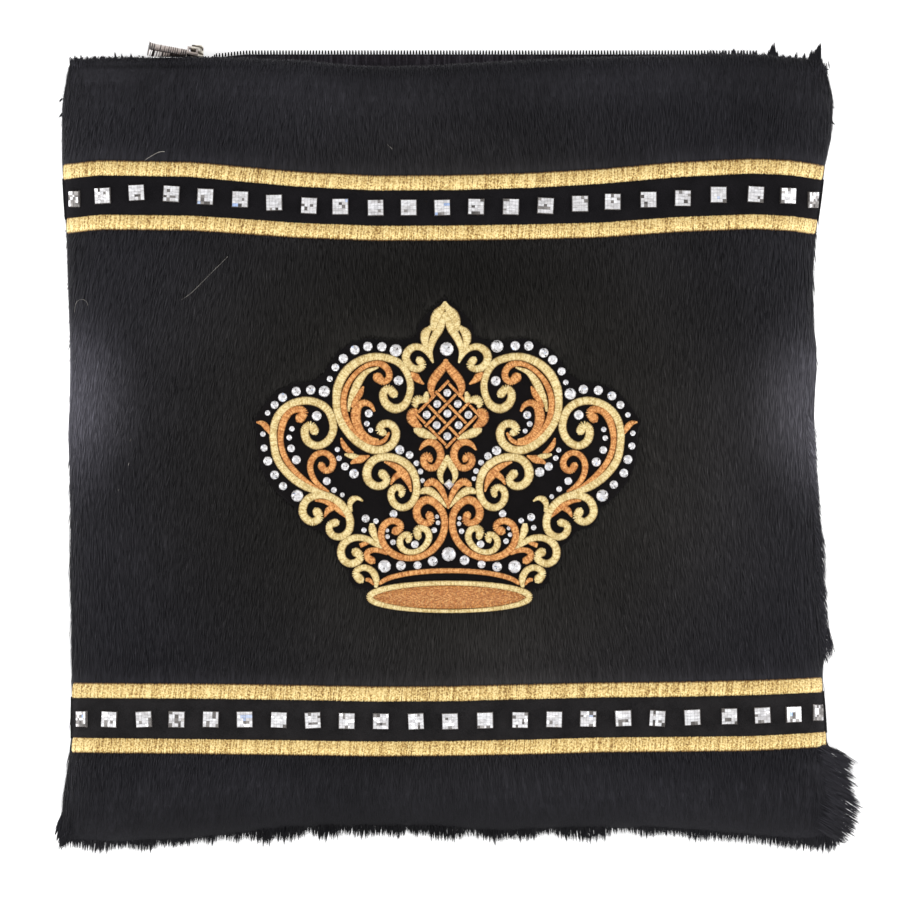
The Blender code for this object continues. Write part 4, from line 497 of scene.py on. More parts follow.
# Chart: loose hairs lying on the bag, each its half thickness in millimetres and its points
STRAY_PALE_HAIRS = (
    (0.11, (145, 161), (148.5, 158.5), (152, 156.4), (157, 153.6), (161, 152.2), (165, 152)),
    (0.06, (131.6, 438.8), (130.6, 441.4)), (0.06, (129.6, 462.8), (129, 465.4)),
    (0.05, (119.8, 489), (119.2, 491)), (0.05, (387, 144.6), (390.4, 147.6), (392.4, 149.6)),
    (0.045, (182, 300), (192, 293), (204, 281), (216, 269), (228, 257)),
    (0.045, (77, 312), (78.6, 303), (83, 299.4), (88, 301), (90, 306)),
)
STRAY_DARK_HAIRS = (
    (0.09, (138.6, 160), (136.4, 166), (134.4, 171.6)), (0.07, (117, 159), (118.6, 167)),
    (0.07, (161, 160), (160, 167)), (0.07, (171, 159), (173, 168)), (0.07, (192.4, 161), (193, 169)),
    (0.07, (296, 170), (297, 178)), (0.07, (415, 176), (414, 184)), (0.07, (706, 160), (708, 168)),
)

# Zip
TAPE_RIB = 900.0
TOOTH_PITCH = 1.49 * MM
TOOTH_WIRE = 0.26 * MM
TOOTH_BEND = ((-0.34, -1.4, 0.4), (-0.2, 0.0, 0.5), (-0.1, 0.85, 0.2), (0.1, 0.85, -0.2), (0.2, 0.0, -0.5),
              (0.34, -1.4, -0.4))
TOOTH_OUT = {"front": (0.0, 0.95, 0.3), "back": (0.0, 1.0, 0.0)}
TOOTH_UP = {"front": (0.0, -0.3, 0.95), "back": (0.0, 0.0, 1.0)}
# The pull: a thick tab on a neck. Its own X runs from the free end to the hinge, Y across, Z out of its face
HINGE_PLACE = (-129.517 * MM, 192.076 * MM, 17.336 * MM)
ZIP_LEAN = math.radians(50)
PULL_TILT = math.radians(13.5)
PULL_ROOT = -5.2 * MM
PULL_END = -23.8 * MM
PULL_CORNER = 1.6 * MM
# Each corner of the tab's section: across and out of its face in millimetres, and its painted shade
PULL_SECTION = (
    (3.65, 2.2, 0.95), (3.9, 2.05, 0.8), (4.0, 1.8, 0.6), (4.0, -0.75, 0.5), (2.6, -1.6, 0.3),
    (-3.3, -4.1, 0.2), (-4.0, -3.9, 0.5), (-4.0, -1.2, 0.5), (-3.8, -1.0, 0.0), (-3.8, -0.7, 0.0),
    (-4.0, -0.5, 0.12), (-3.5, 0.65, 0.34), (-2.85, 1.95, 0.5), (-2.2, 2.2, 0.95),
)
# Ribs along the flank, each with painted shade of its own strength
PULL_RIB = 1.05 * MM
PULL_RIB_DEPTH = 0.16 * MM
PULL_RIB_SHADE = (0.0, 0.5)
PULL_BAR_DEPTH = 0.2 * MM
PULL_SHARP = math.radians(35)
PULL_FLANK_ROWS = (10, 11, 12)
# Chart: where the tier under the flank is painted dark, in bars that stand in for reflections in its ribs,
# and how far its painted light fades towards the hinge
PULL_DARK = (
    (145, 149.3), (151.6, 152.0), (153.1, 155.5), (157.5, 158.1), (159.9, 160.5), (162.5, 164.1),
    (165.6, 166.4), (168, 168.8), (170.4, 190),
)
PULL_FADE = (150, 172)
PULL_FACE_LEVEL = 1.5 * MM
PULL_TIER_ROWS = (6, 7)
PULL_TIER_TOP = -0.9 * MM
# The tier is this share of its depth at the root, and grows along the pull so that it ends at the bag's lip
PULL_TIER_ROOT = 0.33
PULL_TIER_GROWTH = 0.066 / MM
PULL_STATION = 0.13 * MM
PULL_NECK_SHADE = 0.42
PULL_NECK = ((0.5, 2.5), (-4.9, 2.5), (-7.5, 3.4))
PULL_WINDOW = (3.9 * MM, 2.7 * MM)
PULL_BAR = 0.5 * MM
PULL_HALF = 0.5 * MM
# The back tape is drawn down beside the slider, over this stretch of the chart; the slider stands taller
TUCK = 3.4 * MM
TUCK_SPANS = ((201, 203), (205, 215))
SLIDER_TALLER = 1.22

# Colours, and the light
# The fur's colour in the middle and towards the edges, where its blue stands in for a painted bluish sheen
FUR_BROWN = (0.0212, 0.0195, 0.0174)
FUR_BLUE = (0.0204, 0.0198, 0.0242)
FUR_REACH = 0.2
# How the fur's tones spread: each from a low and a high value to a new low and a new high one
FUR_EDGE = (0.3, 1.0, 0.0, 1.0)
FUR_TONES = (0.3, 0.7, 0.8, 1.2)
HIDE_TONES = (0.3, 0.7, 0.7, 1.2)
HAIR_TONES = (0.0, 1.0, 0.9, 1.08)
LIGHT_STRANDS = (0.975, 0.99, 0.0, 0.6)
TIP_TONES = (0.0, 1.0, 1.15, 1.9)
TIP_ALONG = (1.0, 1.95, 0.0, 1.0)
TIP_TUFTS = (0.42, 0.62, 0.0, 1.0)
TIP_POWER = 0.7
STONE_CLOUDS = (0.35, 0.65, 0.78, 1.1)
SHINE_SPOTS = 2
SHINE_LOFT = 0.25
FUR_PATCHES = 12.0
# Painted light and shade on the fur: each spot's middle and reach, x and y in metres, and its light's share.
# The first two paint sheen at the sides, where the pile lies flatter; the last two paint shade in a crease
# under the top lip and along the bottom edge, where the face rolls over. The others darken the fur above the
# crown and lighten it below the crown, at the right and at the upper left.
FUR_PAINTED_LIGHT_SPOTS = (
    ((-0.197, 0.0185), (0.036, 0.048), 3.9), ((0.180, 0.0185), (0.036, 0.048), 3.65),
    ((0.002, 0.082), (0.085, 0.032), 0.48), ((0.002, -0.105), (0.085, 0.042), 1.45),
    ((0.120, -0.02), (0.05, 0.07), 1.3), ((-0.09, 0.15), (0.12, 0.028), 1.22),
    ((-0.152, 0.1845), (0.05, 0.0013), 0.6), ((-0.01, -0.191), (0.25, 0.018), 0.42),
)
SPOT_EDGE = (0.1, 1.3)
HAIR_GLOSS = 0.12
HAIR_TIP = (0.34, 0.235, 0.165)
TIP_PATCHES = 26.0
STRAY_PALE = (0.5, 0.47, 0.42)
STRAY_DARK = (0.08, 0.07, 0.06)
VELVET_UPPER = ((0.0030, 0.0027, 0.0034), (0.0092, 0.0083, 0.0100))
VELVET_LOWER = ((0.0052, 0.0048, 0.0052), (0.0195, 0.0180, 0.0190))
VELVET_CROWN = ((0.0022, 0.0017, 0.0019), (0.0060, 0.0048, 0.0052))
# Thread colours: deep, middle and light
GOLD_COLORS = ((0.24, 0.12, 0.022), (0.73, 0.52, 0.19), (1.0, 0.85, 0.44))
PALE_COLORS = ((0.47, 0.33, 0.12), (0.68, 0.53, 0.24), (0.86, 0.74, 0.42))
COPPER_COLORS = ((0.38, 0.135, 0.036), (0.57, 0.24, 0.065), (0.84, 0.47, 0.18))
THREAD_STOPS = (0.36, 0.48, 0.6)
THREAD_MIX = (0.76, 0.1, 0.14)
# Painted shade turns warmer as it deepens: each colour channel of the painted light's share is raised to
# these powers
LIGHT_WARMTH = (1.0, 1.25, 1.6)
THREAD_TWIST = 1150.0
THREAD_WORN = 260.0
# Painted highlight and shade on a stripe's threads, from their lower end to their upper one: bright in the
# lower half, dark at both ends
STRIPE_LIGHT = (
    (0.0, 0.12), (0.08, 0.3), (0.14, 0.85), (0.3, 1.04), (0.52, 0.9), (0.83, 0.86), (0.9, 0.32),
    (1.0, 0.12),
)
# Painted shade at both ends of a scroll's threads, the shadow lines between its columns
SCROLL_LIGHT = ((0.0, 0.16), (0.1, 0.6), (0.26, 1.0), (0.74, 1.0), (0.9, 0.6), (1.0, 0.16))
# Colours along a factor, each with its place
STRAY_COLORS = ((0.3, STRAY_DARK), (0.6, STRAY_PALE))
# The painted reflections along a facet's glint: dark, grey and bright, with bluish sparks at the top
CRYSTAL_COLORS = (
    (0.0, (0.02, 0.018, 0.018)), (0.15, (0.09, 0.08, 0.075)), (0.35, (0.3, 0.28, 0.27)),
    (0.55, (0.56, 0.54, 0.54)), (0.8, (0.76, 0.75, 0.77)), (0.93, (0.84, 0.84, 0.86)),
    (0.96, (0.4, 0.52, 0.8)), (1.0, (0.25, 0.4, 0.8)),
)
TAPE_COLORS = ((0.36, (0.010, 0.008, 0.011)), (0.5, (0.020, 0.017, 0.022)), (0.66, (0.055, 0.05, 0.06)))
COIL_COLORS = ((0.3, (0.003, 0.003, 0.0035)), (0.75, (0.014, 0.011, 0.011)))
METAL_COLORS = ((0.36, (0.05, 0.04, 0.035)), (0.47, (0.34, 0.29, 0.25)), (0.62, (0.85, 0.83, 0.8)))
# The slider's colours across its bands: dark for the grooves' painted shade, lighter between them
SLIDER_COLORS = ((0.1, (0.05, 0.04, 0.03)), (0.4, (0.3, 0.26, 0.2)), (0.85, (0.78, 0.74, 0.66)))
# The pull's colours along its painted shade, from dark through brown and grey to white on its broad face
PULL_COLORS = (
    (0.12, (0.01, 0.008, 0.008)), (0.35, (0.12, 0.09, 0.08)), (0.6, (0.42, 0.36, 0.33)),
    (0.85, (0.85, 0.83, 0.82)), (1.0, (1.0, 1.0, 1.0)),
)
TABLE_COLORS = ((0.3, (0.88, 0.88, 0.88)), (0.7, (0.92, 0.92, 0.92)))
TARNISH = 900.0
SLIDER_SLANT = math.radians(28)
SLIDER_GROOVES = 110.0
TABLE_REACH = 6.0
TABLE_LEVEL = -0.6 * MM
TABLE_GLOW = 0.5
WORLD_LIGHT = 0.7
SIDE_LIGHT = 11.0
FOOT_LIGHT = 10.0
SOFTBOXES = (
    ("left", (-1.3, 0.1, 0.9), (0, 0, 0), (1.0, 1.4), SIDE_LIGHT),
    ("right", (1.3, 0.1, 0.9), (0, 0, 0), (1.0, 1.4), SIDE_LIGHT),
    ("foot", (0.0, -0.9, 1.6), (0, 0, 0), (1.2, 0.8), FOOT_LIGHT),
)
GLOW_LIGHT = 0.05
GLOW_PLACE = ((-0.27, 0.02, 0.06), (0.252, 0.02, 0.06))
EXPOSURE = 0.0
IMAGE_SQUARES = 900
CAMERA_DISTANCE = 6.0
FOCUS_LEVEL = 26.0 * MM


def world_x(across):
    return (across - CHART_MIDDLE_ACROSS) * CHART_SQUARE


def world_y(down):
    return (CHART_MIDDLE_DOWN - down) * CHART_SQUARE


def chart_across(x):
    return x / CHART_SQUARE + CHART_MIDDLE_ACROSS


def chart_down(y):
    return CHART_MIDDLE_DOWN - y / CHART_SQUARE


def smooth_step(low, high, value):
    part = np.clip((value - low) / (high - low), 0.0, 1.0)
    return part * part * (3 - 2 * part)


def between(rise, fall, value):
    """1 between two stretches, 0 outside them, and eased over each."""
    return smooth_step(*rise, value) * (1 - smooth_step(*fall, value))


def look_up(table, at, number=1):
    """A column of a table at places along its first column."""
    rows = np.array(table)
    return np.interp(at, rows[:, 0], rows[:, number])


def side_x(column, y):
    """X of the bag's left or right side at a height on the bag."""
    inset = PILE if column == "left" else -PILE
    return world_x(look_up(SIDES, chart_down(y), SIDE_COLUMNS.index(column))) + inset


def end_y(column, x):
    """Y of the bottom edge or of one of the mouth's lips at a place across the bag."""
    inset = PILE if column == "bottom" else 0.0
    return world_y(look_up(ENDS, chart_across(x), END_COLUMNS.index(column))) + inset


def mouth_opening(x):
    """0 where the top seam is sewn shut, 1 where the mouth is open."""
    return between(MOUTH_LEFT, MOUTH_RIGHT, chart_across(x))


def lip_angle(x, share):
    return np.arcsin(share * mouth_opening(x))


def roll_rise(distance, start_angle=0.0):
    """Height share, 0 to 1, of the rolled edge at a distance in from where it starts."""
    cosine = np.maximum(np.cos(start_angle) - np.maximum(distance, 0.0) / EDGE_ROLL, 0.0)
    return np.sqrt(1 - cosine * cosine)


def dome(x, y):
    return FRONT_DOME * (1 - (x / DOME_REACH) ** 2) * (1 - (y / DOME_REACH) ** 2)


def slack(x, y):
    """Slow waves of the soft front over its filling."""
    first = np.sin(x / SLACK_WAVE[0] + 1.2 * np.sin(y / SLACK_WAVE[1]))
    second = np.sin(y / SLACK_WAVE[2] + 0.9 * np.sin(x / SLACK_WAVE[3]) + 0.7)
    return SLACK_RISE * (first * second + 0.5 * np.sin(y / SLACK_WAVE[3] - x / SLACK_WAVE[2]))


def rolled(x, y, lip, share):
    """0 on the seams and the lip, 1 inside the rolled edges."""
    sides = roll_rise(x - side_x("left", y)) * roll_rise(side_x("right", y) - x)
    foot = roll_rise(y - end_y("bottom", x))
    return sides * foot * roll_rise(end_y(lip, x) - y, lip_angle(x, share))


def front_height(x, y):
    """Height of the bag's front face above the ground, seen from above at x, y."""
    return SEAM_HEIGHT + rolled(x, y, "front_lip", FRONT_LIP) * (FRONT_RISE + dome(x, y) + slack(x, y))


def back_height(x, y):
    """Height of the bag's back face, which lies flat on the ground inside its rolled edges."""
    level = SEAM_HEIGHT - GAP / 2
    return level - rolled(x, y, "back_lip", BACK_LIP) * level


def face_points(x, y, lift=0.0, height=front_height, side=1):
    """Points over a face at x, y, raised along its normal, and those normals. Arrays in, arrays out."""
    x, y = np.broadcast_arrays(np.asarray(x, float), np.asarray(y, float))
    step = SLOPE_STEP
    slope_x = (height(x + step, y) - height(x - step, y)) / (2 * step)
    slope_y = (height(x, y + step) - height(x, y - step)) / (2 * step)
    normals = np.stack([-slope_x, -slope_y, np.ones_like(x)], -1) * side
    normals /= np.linalg.norm(normals, axis=-1, keepdims=True)
    points = np.stack([x, y, height(x, y)], -1)
    return points + normals * np.asarray(lift)[..., None], normals


def add_object(name, data):
    """A new object in the scene."""
    made = bpy.data.objects.new(name, data)
    bpy.context.scene.collection.objects.link(made)
    return made


def new_mesh(name, points, edges=(), faces=(), **layers):
    """A mesh whose points hold layers of values or vectors."""
    mesh = bpy.data.meshes.new(name)
    mesh.from_pydata(np.reshape(points, (-1, 3)).tolist(), list(edges), list(faces))
    for label, values in layers.items():
        set_attribute(mesh, label, values)
    return mesh


def set_attribute(mesh, name, values, domain="POINT"):
    """Store one value, or one vector, for each point or face."""
    count = len(mesh.vertices if domain == "POINT" else mesh.polygons)
    kind, field = ("FLOAT_VECTOR", "vector") if np.size(values) == 3 * count else ("FLOAT", "value")
    mesh.attributes.new(name, kind, domain).data.foreach_set(field, np.ravel(values))


def end_body(name, made, material):
    """The mesh of a finished bmesh, with its material."""
    mesh = bpy.data.meshes.new(name)
    made.to_mesh(mesh)
    made.free()
    mesh.materials.append(material)
    return mesh


def chain(count, start=0):
    """The edges of a line of points."""
    return [(start + k, start + k + 1) for k in range(count - 1)]


def after(ring):
    """A closed list, one step on."""
    return ring[1:] + ring[:1]


def wrap(made, low, high):
    """Quads round a body, between two rings of its points."""
    return [made.faces.new(quad) for quad in zip(low, after(low), after(high), high)]


def grow(name, guide, tree, values):
    """Run a tree on a guide mesh and keep the result as a plain mesh."""
    holder = add_object(name, guide)
    modifier = holder.modifiers.new(name, "NODES")
    modifier.node_group = tree
    for item in tree.interface.items_tree:
        if item.in_out == "INPUT" and item.name in values:
            modifier[item.identifier] = values[item.name]
    graph = bpy.context.evaluated_depsgraph_get()
    mesh = bpy.data.meshes.new_from_object(
        holder.evaluated_get(graph), preserve_all_data_layers=True, depsgraph=graph)
    holder.modifiers.clear()
    holder.data = mesh
    bpy.data.meshes.remove(guide)
    return holder


def settle(piece, slot, *nodes, body="bag"):
    """Hand a finished piece over: its body, and the solids that it stands for, which it hides; slot is not
    used.
    """
    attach(piece, body)
    if nodes:
        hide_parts(*nodes)
    return piece


def plain_mesh(name, points, faces, material, smooth=True):
    mesh = new_mesh(name, points, faces=faces)
    mesh.materials.append(material)
    mesh.polygons.foreach_set("use_smooth", [smooth] * len(mesh.polygons))
    mesh.update()
    return add_object(name, mesh)


def grid_faces(rows, columns, start=0, flip=False):
    """Quads of a grid of points, row by row."""
    corners = [start + j * columns + i for j in range(rows - 1) for i in range(columns - 1)]
    quads = [(k, k + 1, k + columns + 1, k + columns) for k in corners]
    return [quad[::-1] for quad in quads] if flip else quads


def shell(name, top, low, material, ring=False):
    """A closed thin body between two grids of points; top lies on the side that the faces look to.

    In a ring, every row closes on itself, and the last row is a single point repeated.
    """
    rows, columns = top.shape[:2]
    points = np.concatenate([top.reshape(-1, 3), low.reshape(-1, 3)])
    count = rows * columns
    faces = grid_faces(rows, columns) + grid_faces(rows, columns, count, flip=True)
    rim = list(range(columns))
    if ring:
        for first in range(0, count - columns, columns):
            quad = (first + columns - 1, first, first + columns, first + 2 * columns - 1)
            faces += [quad, tuple(k + count for k in reversed(quad))]
    else:
        rim += range(2 * columns - 1, count, columns)
        rim += range(count - 2, count - columns - 1, -1)
        rim += range(count - 2 * columns, 0, -columns)
    faces += [(a + count, b + count, b, a) for a, b in zip(rim, after(rim))]
    piece = plain_mesh(name, points, faces, material)
    if ring:
        weld(piece.data)
    return piece


def weld(mesh):
    """Merge points that share a place, and drop the faces that this leaves without area."""
    made = bmesh.new()
    made.from_mesh(mesh)
    bmesh.ops.remove_doubles(made, verts=made.verts, dist=0.001 * MM)
    made.to_mesh(mesh)
    made.free()


class Nodes:
    """The nodes of one tree. Each method adds a node and returns the output that is wanted from it."""

    def __init__(self, tree):
        self.tree = tree

    def add(self, kind, inputs=None, output=None, **settings):
        """An input is named, or counted where names repeat, and takes a value or another node's output."""
        node = self.tree.nodes.new(kind)
        for name, value in settings.items():
            setattr(node, name, value)
        for name, value in (inputs or {}).items():
            if isinstance(name, int):
                socket = node.inputs[name]
            else:
                socket = next(s for s in node.inputs if s.name == name and s.enabled)
            if isinstance(value, bpy.types.NodeSocket):
                self.tree.links.new(value, socket)
            else:
                socket.default_value = value
        return next(s for s in node.outputs if s.enabled and output in (None, s.name))

    def geo(self, kind, inputs=None, output=None, **settings):
        return self.add("GeometryNode" + kind, inputs, output, **settings)

    def shader(self, kind, inputs=None, output=None, **settings):
        return self.add("ShaderNode" + kind, inputs, output, **settings)

    def math(self, operation, *values):
        return self.shader("Math", dict(enumerate(values)), operation=operation)

    def plus(self, first, second):
        return self.math("ADD", first, second)

    def times(self, first, second):
        return self.math("MULTIPLY", first, second)

    def mixed(self, first, share, added):
        """first * share + added."""
        return self.math("MULTIPLY_ADD", first, share, added)

    def vector(self, operation, *values):
        return self.shader("VectorMath", dict(enumerate(values)), operation=operation)

    def scaled(self, vector, factor):
        return self.shader("VectorMath", {0: vector, "Scale": factor}, operation="SCALE")

    def length(self, vector):
        return self.shader("VectorMath", {0: vector}, "Value", operation="LENGTH")

    def xyz(self, *parts):
        return self.shader("CombineXYZ", dict(enumerate(parts)))

    def parts(self, vector):
        return self.shader("SeparateXYZ", {0: vector}).node.outputs

    def named(self, name, kind="FLOAT"):
        return self.geo("InputNamedAttribute", {"Name": name}, data_type=kind)

    def store(self, geometry, name, value, kind="FLOAT"):
        inputs = {"Geometry": geometry, "Name": name, "Value": value}
        return self.geo("StoreNamedAttribute", inputs, data_type=kind)

    def random(self, low, high, seed):
        return self.add("FunctionNodeRandomValue", {"Min": low, "Max": high, "Seed": seed})

    def turn(self, first, second, axes):
        """A rotation that lays two axes along two ways."""
        return self.add("FunctionNodeAxesToRotation", {"Primary Axis": first, "Secondary Axis": second},
                        primary_axis=axes[0], secondary_axis=axes[1])

    def line(self, mesh, spacing):
        """The guide lines of a mesh as curves with even spacing."""
        curve = self.geo("MeshToCurve", {"Mesh": mesh})
        return self.geo("ResampleCurve", {"Curve": curve, "Length": spacing}, mode="LENGTH")

    def pipe(self, curve, sides, radius, **inputs):
        """A round body along a curve."""
        inputs["Profile Curve"] = self.geo("CurvePrimitiveCircle", {"Resolution": sides, "Radius": radius})
        return self.geo("CurveToMesh", {"Curve": curve, "Fill Caps": True, **inputs})

    def real(self, geometry):
        return self.geo("RealizeInstances", {"Geometry": geometry})

    def place(self, *scale, **inputs):
        """Object coordinates, stretched."""
        place = self.shader("TexCoord", output="Object")
        return self.shader("Mapping", {"Vector": place, "Scale": scale or (1.0, 1.0, 1.0), **inputs})

    def noise(self, place, scale, detail=2.0, roughness=0.5):
        inputs = {"Vector": place, "Scale": scale, "Detail": detail, "Roughness": roughness}
        return self.shader("TexNoise", inputs)

    def read(self, name):
        return self.shader("Attribute", output="Fac", attribute_name=name)

    def bump(self, height, depth, strength=1.0):
        return self.shader("Bump", {"Height": height, "Distance": depth, "Strength": strength})

    def spread(self, value, *span):
        """A value moved from one range to another, eased at both ends; span holds both ranges."""
        inputs = dict(zip(("Value", "From Min", "From Max", "To Min", "To Max"), (value, *span)))
        return self.shader("MapRange", inputs, interpolation_type="SMOOTHSTEP")

    def ramp(self, factor, stops):
        """Colours along a factor; each stop is (place, colour)."""
        made = self.shader("ValToRGB", {0: factor})
        elements = made.node.color_ramp.elements
        while len(elements) < len(stops):
            elements.new(1.0)
        for element, (place, color) in zip(elements, stops):
            element.position = place
            element.color = (*color, 1.0)
        return made

    def blend(self, factor, first, second):
        """From one colour to another."""
        return self.shader("Mix", {"Factor": factor, "A": first, "B": second}, data_type="RGBA")

    def paint(self, **links):
        """Link outputs to the material's own shader; a socket's name has _ for a space."""
        shader = self.tree.nodes["Principled BSDF"]
        for label, output in links.items():
            self.tree.links.new(output, shader.inputs[label.replace("_", " ")])


def new_tree(name, **inputs):
    """A Geometry Nodes tree with its named inputs: its nodes, and the outputs of its group input by name."""
    tree = bpy.data.node_groups.new(name, "GeometryNodeTree")
    for label, kind in {"Geometry": "Geometry", **inputs}.items():
        tree.interface.new_socket(label.replace("_", " "), in_out="INPUT", socket_type="NodeSocket" + kind)
    tree.interface.new_socket("Geometry", in_out="OUTPUT", socket_type="NodeSocketGeometry")
    nodes = Nodes(tree)
    return nodes, {socket.name: socket for socket in nodes.add("NodeGroupInput").node.outputs}


def close_tree(nodes, geometry, material):
    """Every tree ends the same way: real geometry, its material, shaded smooth."""
    smooth = nodes.geo("SetShadeSmooth", {"Geometry": nodes.real(geometry)})
    painted = nodes.geo("SetMaterial", {"Geometry": smooth, "Material": material})
    nodes.tree.links.new(painted, nodes.tree.nodes.new("NodeGroupOutput").inputs[0])
    return nodes.tree


def new_material(name, color, roughness, **sockets):
    """A material with constant values on its shader, and its nodes."""
    made = bpy.data.materials.new(name)
    made.use_nodes = True
    shader = made.node_tree.nodes["Principled BSDF"]
    for label, value in dict(Base_Color=(*color, 1.0), Roughness=roughness, **sockets).items():
        shader.inputs[label.replace("_", " ")].default_value = value
    return made, Nodes(made.node_tree)


def fur_color(nodes, strength):
    """The fur's colour: brown black in the middle, blue black towards the edges where the blue is a painted
    sheen, in slow patches, with painted sheen and shade in spots.
    """
    edge = nodes.spread(nodes.length(nodes.place(1 / FUR_REACH, 1 / FUR_REACH, 0.0)), *FUR_EDGE)
    color = nodes.blend(edge, (*FUR_BROWN, 1.0), (*FUR_BLUE, 1.0))
    patches = nodes.spread(nodes.noise(nodes.place(), FUR_PATCHES, 3.0), *FUR_TONES)
    # Each spot multiplies the colour by its share: above 1 for painted sheen, below 1 for painted shade
    for (x, y), (wide, high), light in FUR_PAINTED_LIGHT_SPOTS:
        spot = nodes.place(1 / wide, 1 / high, 0.0, Location=(-x / wide, -y / high, 0.0))
        patches = nodes.times(patches, nodes.spread(nodes.length(spot), *SPOT_EDGE, light, 1.0))
    return nodes.scaled(color, nodes.times(patches, strength))


def hair_material():
    """Black hair: every strand differs a little, and one in forty is lighter."""
    made, nodes = new_material("black_hair", FUR_BLUE, 0.5, Specular_IOR_Level=HAIR_GLOSS)
    shade = nodes.read("shade")
    light = nodes.plus(nodes.spread(shade, *HAIR_TONES), nodes.spread(shade, *LIGHT_STRANDS))
    nodes.paint(Base_Color=fur_color(nodes, light))
    return made


def tip_material():
    """Hair that stands out past an edge, where the light shines through its brown tips."""
    made, nodes = new_material("brown_tips", FUR_BROWN, 0.5, Specular_IOR_Level=HAIR_GLOSS)
    shade = nodes.read("shade")
    # The body is lightened to make up for the painted shade along the bottom edge
    body = fur_color(nodes, nodes.spread(shade, *TIP_TONES))
    tufts = nodes.spread(nodes.noise(nodes.place(), TIP_PATCHES), *TIP_TUFTS)
    # Painted light on the tips, in tufts, where it shines through them
    lit = nodes.times(nodes.spread(nodes.read("along"), *TIP_ALONG), nodes.times(tufts, shade))
    nodes.paint(Base_Color=nodes.blend(nodes.math("POWER", lit, TIP_POWER), body, (*HAIR_TIP, 1.0)))
    return made


def pale_hair_material():
    """A few loose hairs, pale grey with darker stretches."""
    made, nodes = new_material("pale_hair", STRAY_PALE, 0.45, Specular_IOR_Level=0.3)
    nodes.paint(Base_Color=nodes.ramp(nodes.noise(nodes.place(), 300.0), STRAY_COLORS))
    return made


def hide_material():
    """The hide under the hair: matt black with fine streaks along the hair."""
    made, nodes = new_material("black_hide", FUR_BROWN, 0.8, Specular_IOR_Level=HAIR_GLOSS)
    streaks = nodes.noise(nodes.place(1.0, 0.08, 1.0), 1400.0, 3.0, 0.6)
    color = fur_color(nodes, nodes.spread(streaks, *HIDE_TONES))
    nodes.paint(Base_Color=color, Normal=nodes.bump(streaks, 0.0003))
    return made


def velvet_material(name, dark, light):
    """Black velvet: short pile that swallows light, with a faint bloom where it turns away."""
    made, nodes = new_material(name, dark, 0.9, Specular_IOR_Level=0.1, Sheen_Weight=0.08,
                               Sheen_Roughness=0.35, Sheen_Tint=(0.75, 0.7, 0.8, 1.0))
    pile = nodes.noise(nodes.place(), 2400.0, 2.0, 0.7)
    brushed = nodes.noise(nodes.place(), 90.0, 3.0, 0.6)
    color = nodes.ramp(nodes.mixed(pile, 0.6, nodes.times(brushed, 0.4)), ((0.36, dark), (0.62, light)))
    nodes.paint(Base_Color=color, Normal=nodes.bump(pile, 0.0004))
    return made


def thread_material(name, colors, across):
    """Satin thread, speckled by its twist; across holds the painted highlight and shade from end to end of a
    stitch.
    """
    made, nodes = new_material(name, colors[1], 0.5, Specular_IOR_Level=0.35, Sheen_Weight=0.1,
                               Sheen_Roughness=0.4)
    twist_share, worn_share, shade_share = THREAD_MIX
    twist = nodes.noise(nodes.place(), THREAD_TWIST, 2.0, 0.7)
    worn = nodes.noise(nodes.place(), THREAD_WORN)
    mixed = nodes.mixed(twist, twist_share, nodes.times(worn, worn_share))
    color = nodes.ramp(nodes.mixed(nodes.read("shade"), shade_share, mixed), tuple(zip(THREAD_STOPS, colors)))
    # The painted highlight and shade along each stitch, read from where a point lies between its ends
    shares = [(stop, [light ** power for power in LIGHT_WARMTH]) for stop, light in across]
    share = nodes.ramp(nodes.mixed(nodes.read("side"), 0.5, 0.5), shares)
    nodes.paint(Base_Color=nodes.vector("MULTIPLY", color, share), Normal=nodes.bump(twist, 0.0002, 0.6))
    return made


def crystal_material():
    """Foil-backed glass: each facet's colour holds its painted reflection, its own share of the light."""
    made, nodes = new_material("crystal", (0.9, 0.9, 0.92), 0.18, Metallic=0.3, Coat_Weight=0.4,
                               Coat_Roughness=0.04)
    clouds = nodes.spread(nodes.noise(nodes.place(0.5, 1.0, 1.0), 900.0, 3.0), *STONE_CLOUDS)
    nodes.paint(Base_Color=nodes.scaled(nodes.ramp(nodes.read("glint"), CRYSTAL_COLORS), clouds))
    return made


def tape_material():
    """Woven zip tape: fine uneven ribs run across it."""
    made, nodes = new_material("zip_tape", TAPE_COLORS[1][1], 0.85, Specular_IOR_Level=0.15)
    ribs = nodes.noise(nodes.place(1.0, 0.06, 0.06), TAPE_RIB, 2.0, 0.6)
    weave = nodes.noise(nodes.place(), 1500.0, 2.0, 0.6)
    mixed = nodes.mixed(ribs, 0.7, nodes.times(weave, 0.3))
    nodes.paint(Base_Color=nodes.ramp(mixed, TAPE_COLORS), Normal=nodes.bump(mixed, 0.0002))
    return made


def coil_material():
    """Black nylon of the zip's coil, worn a little brown."""
    made, nodes = new_material("zip_coil", (0.006, 0.005, 0.006), 0.5, Specular_IOR_Level=0.12)
    nodes.paint(Base_Color=nodes.ramp(nodes.noise(nodes.place(), 700.0), COIL_COLORS))
    return made


def metal_material():
    """Plated zip metal with soft grinding lines and a warm tarnish in patches."""
    made, nodes = new_material("zip_metal", (0.7, 0.68, 0.66), 0.25, Metallic=0.8)
    color = nodes.ramp(nodes.noise(nodes.place(), TARNISH, 3.0, 0.7), METAL_COLORS)
    lines = nodes.noise(nodes.place(0.2, 1.0, 1.0), 4000.0)
    rough = nodes.shader("MapRange", {"Value": lines, "To Min": 0.16, "To Max": 0.36})
    nodes.paint(Base_Color=color, Roughness=rough, Normal=nodes.bump(lines, 0.00006))
    return made


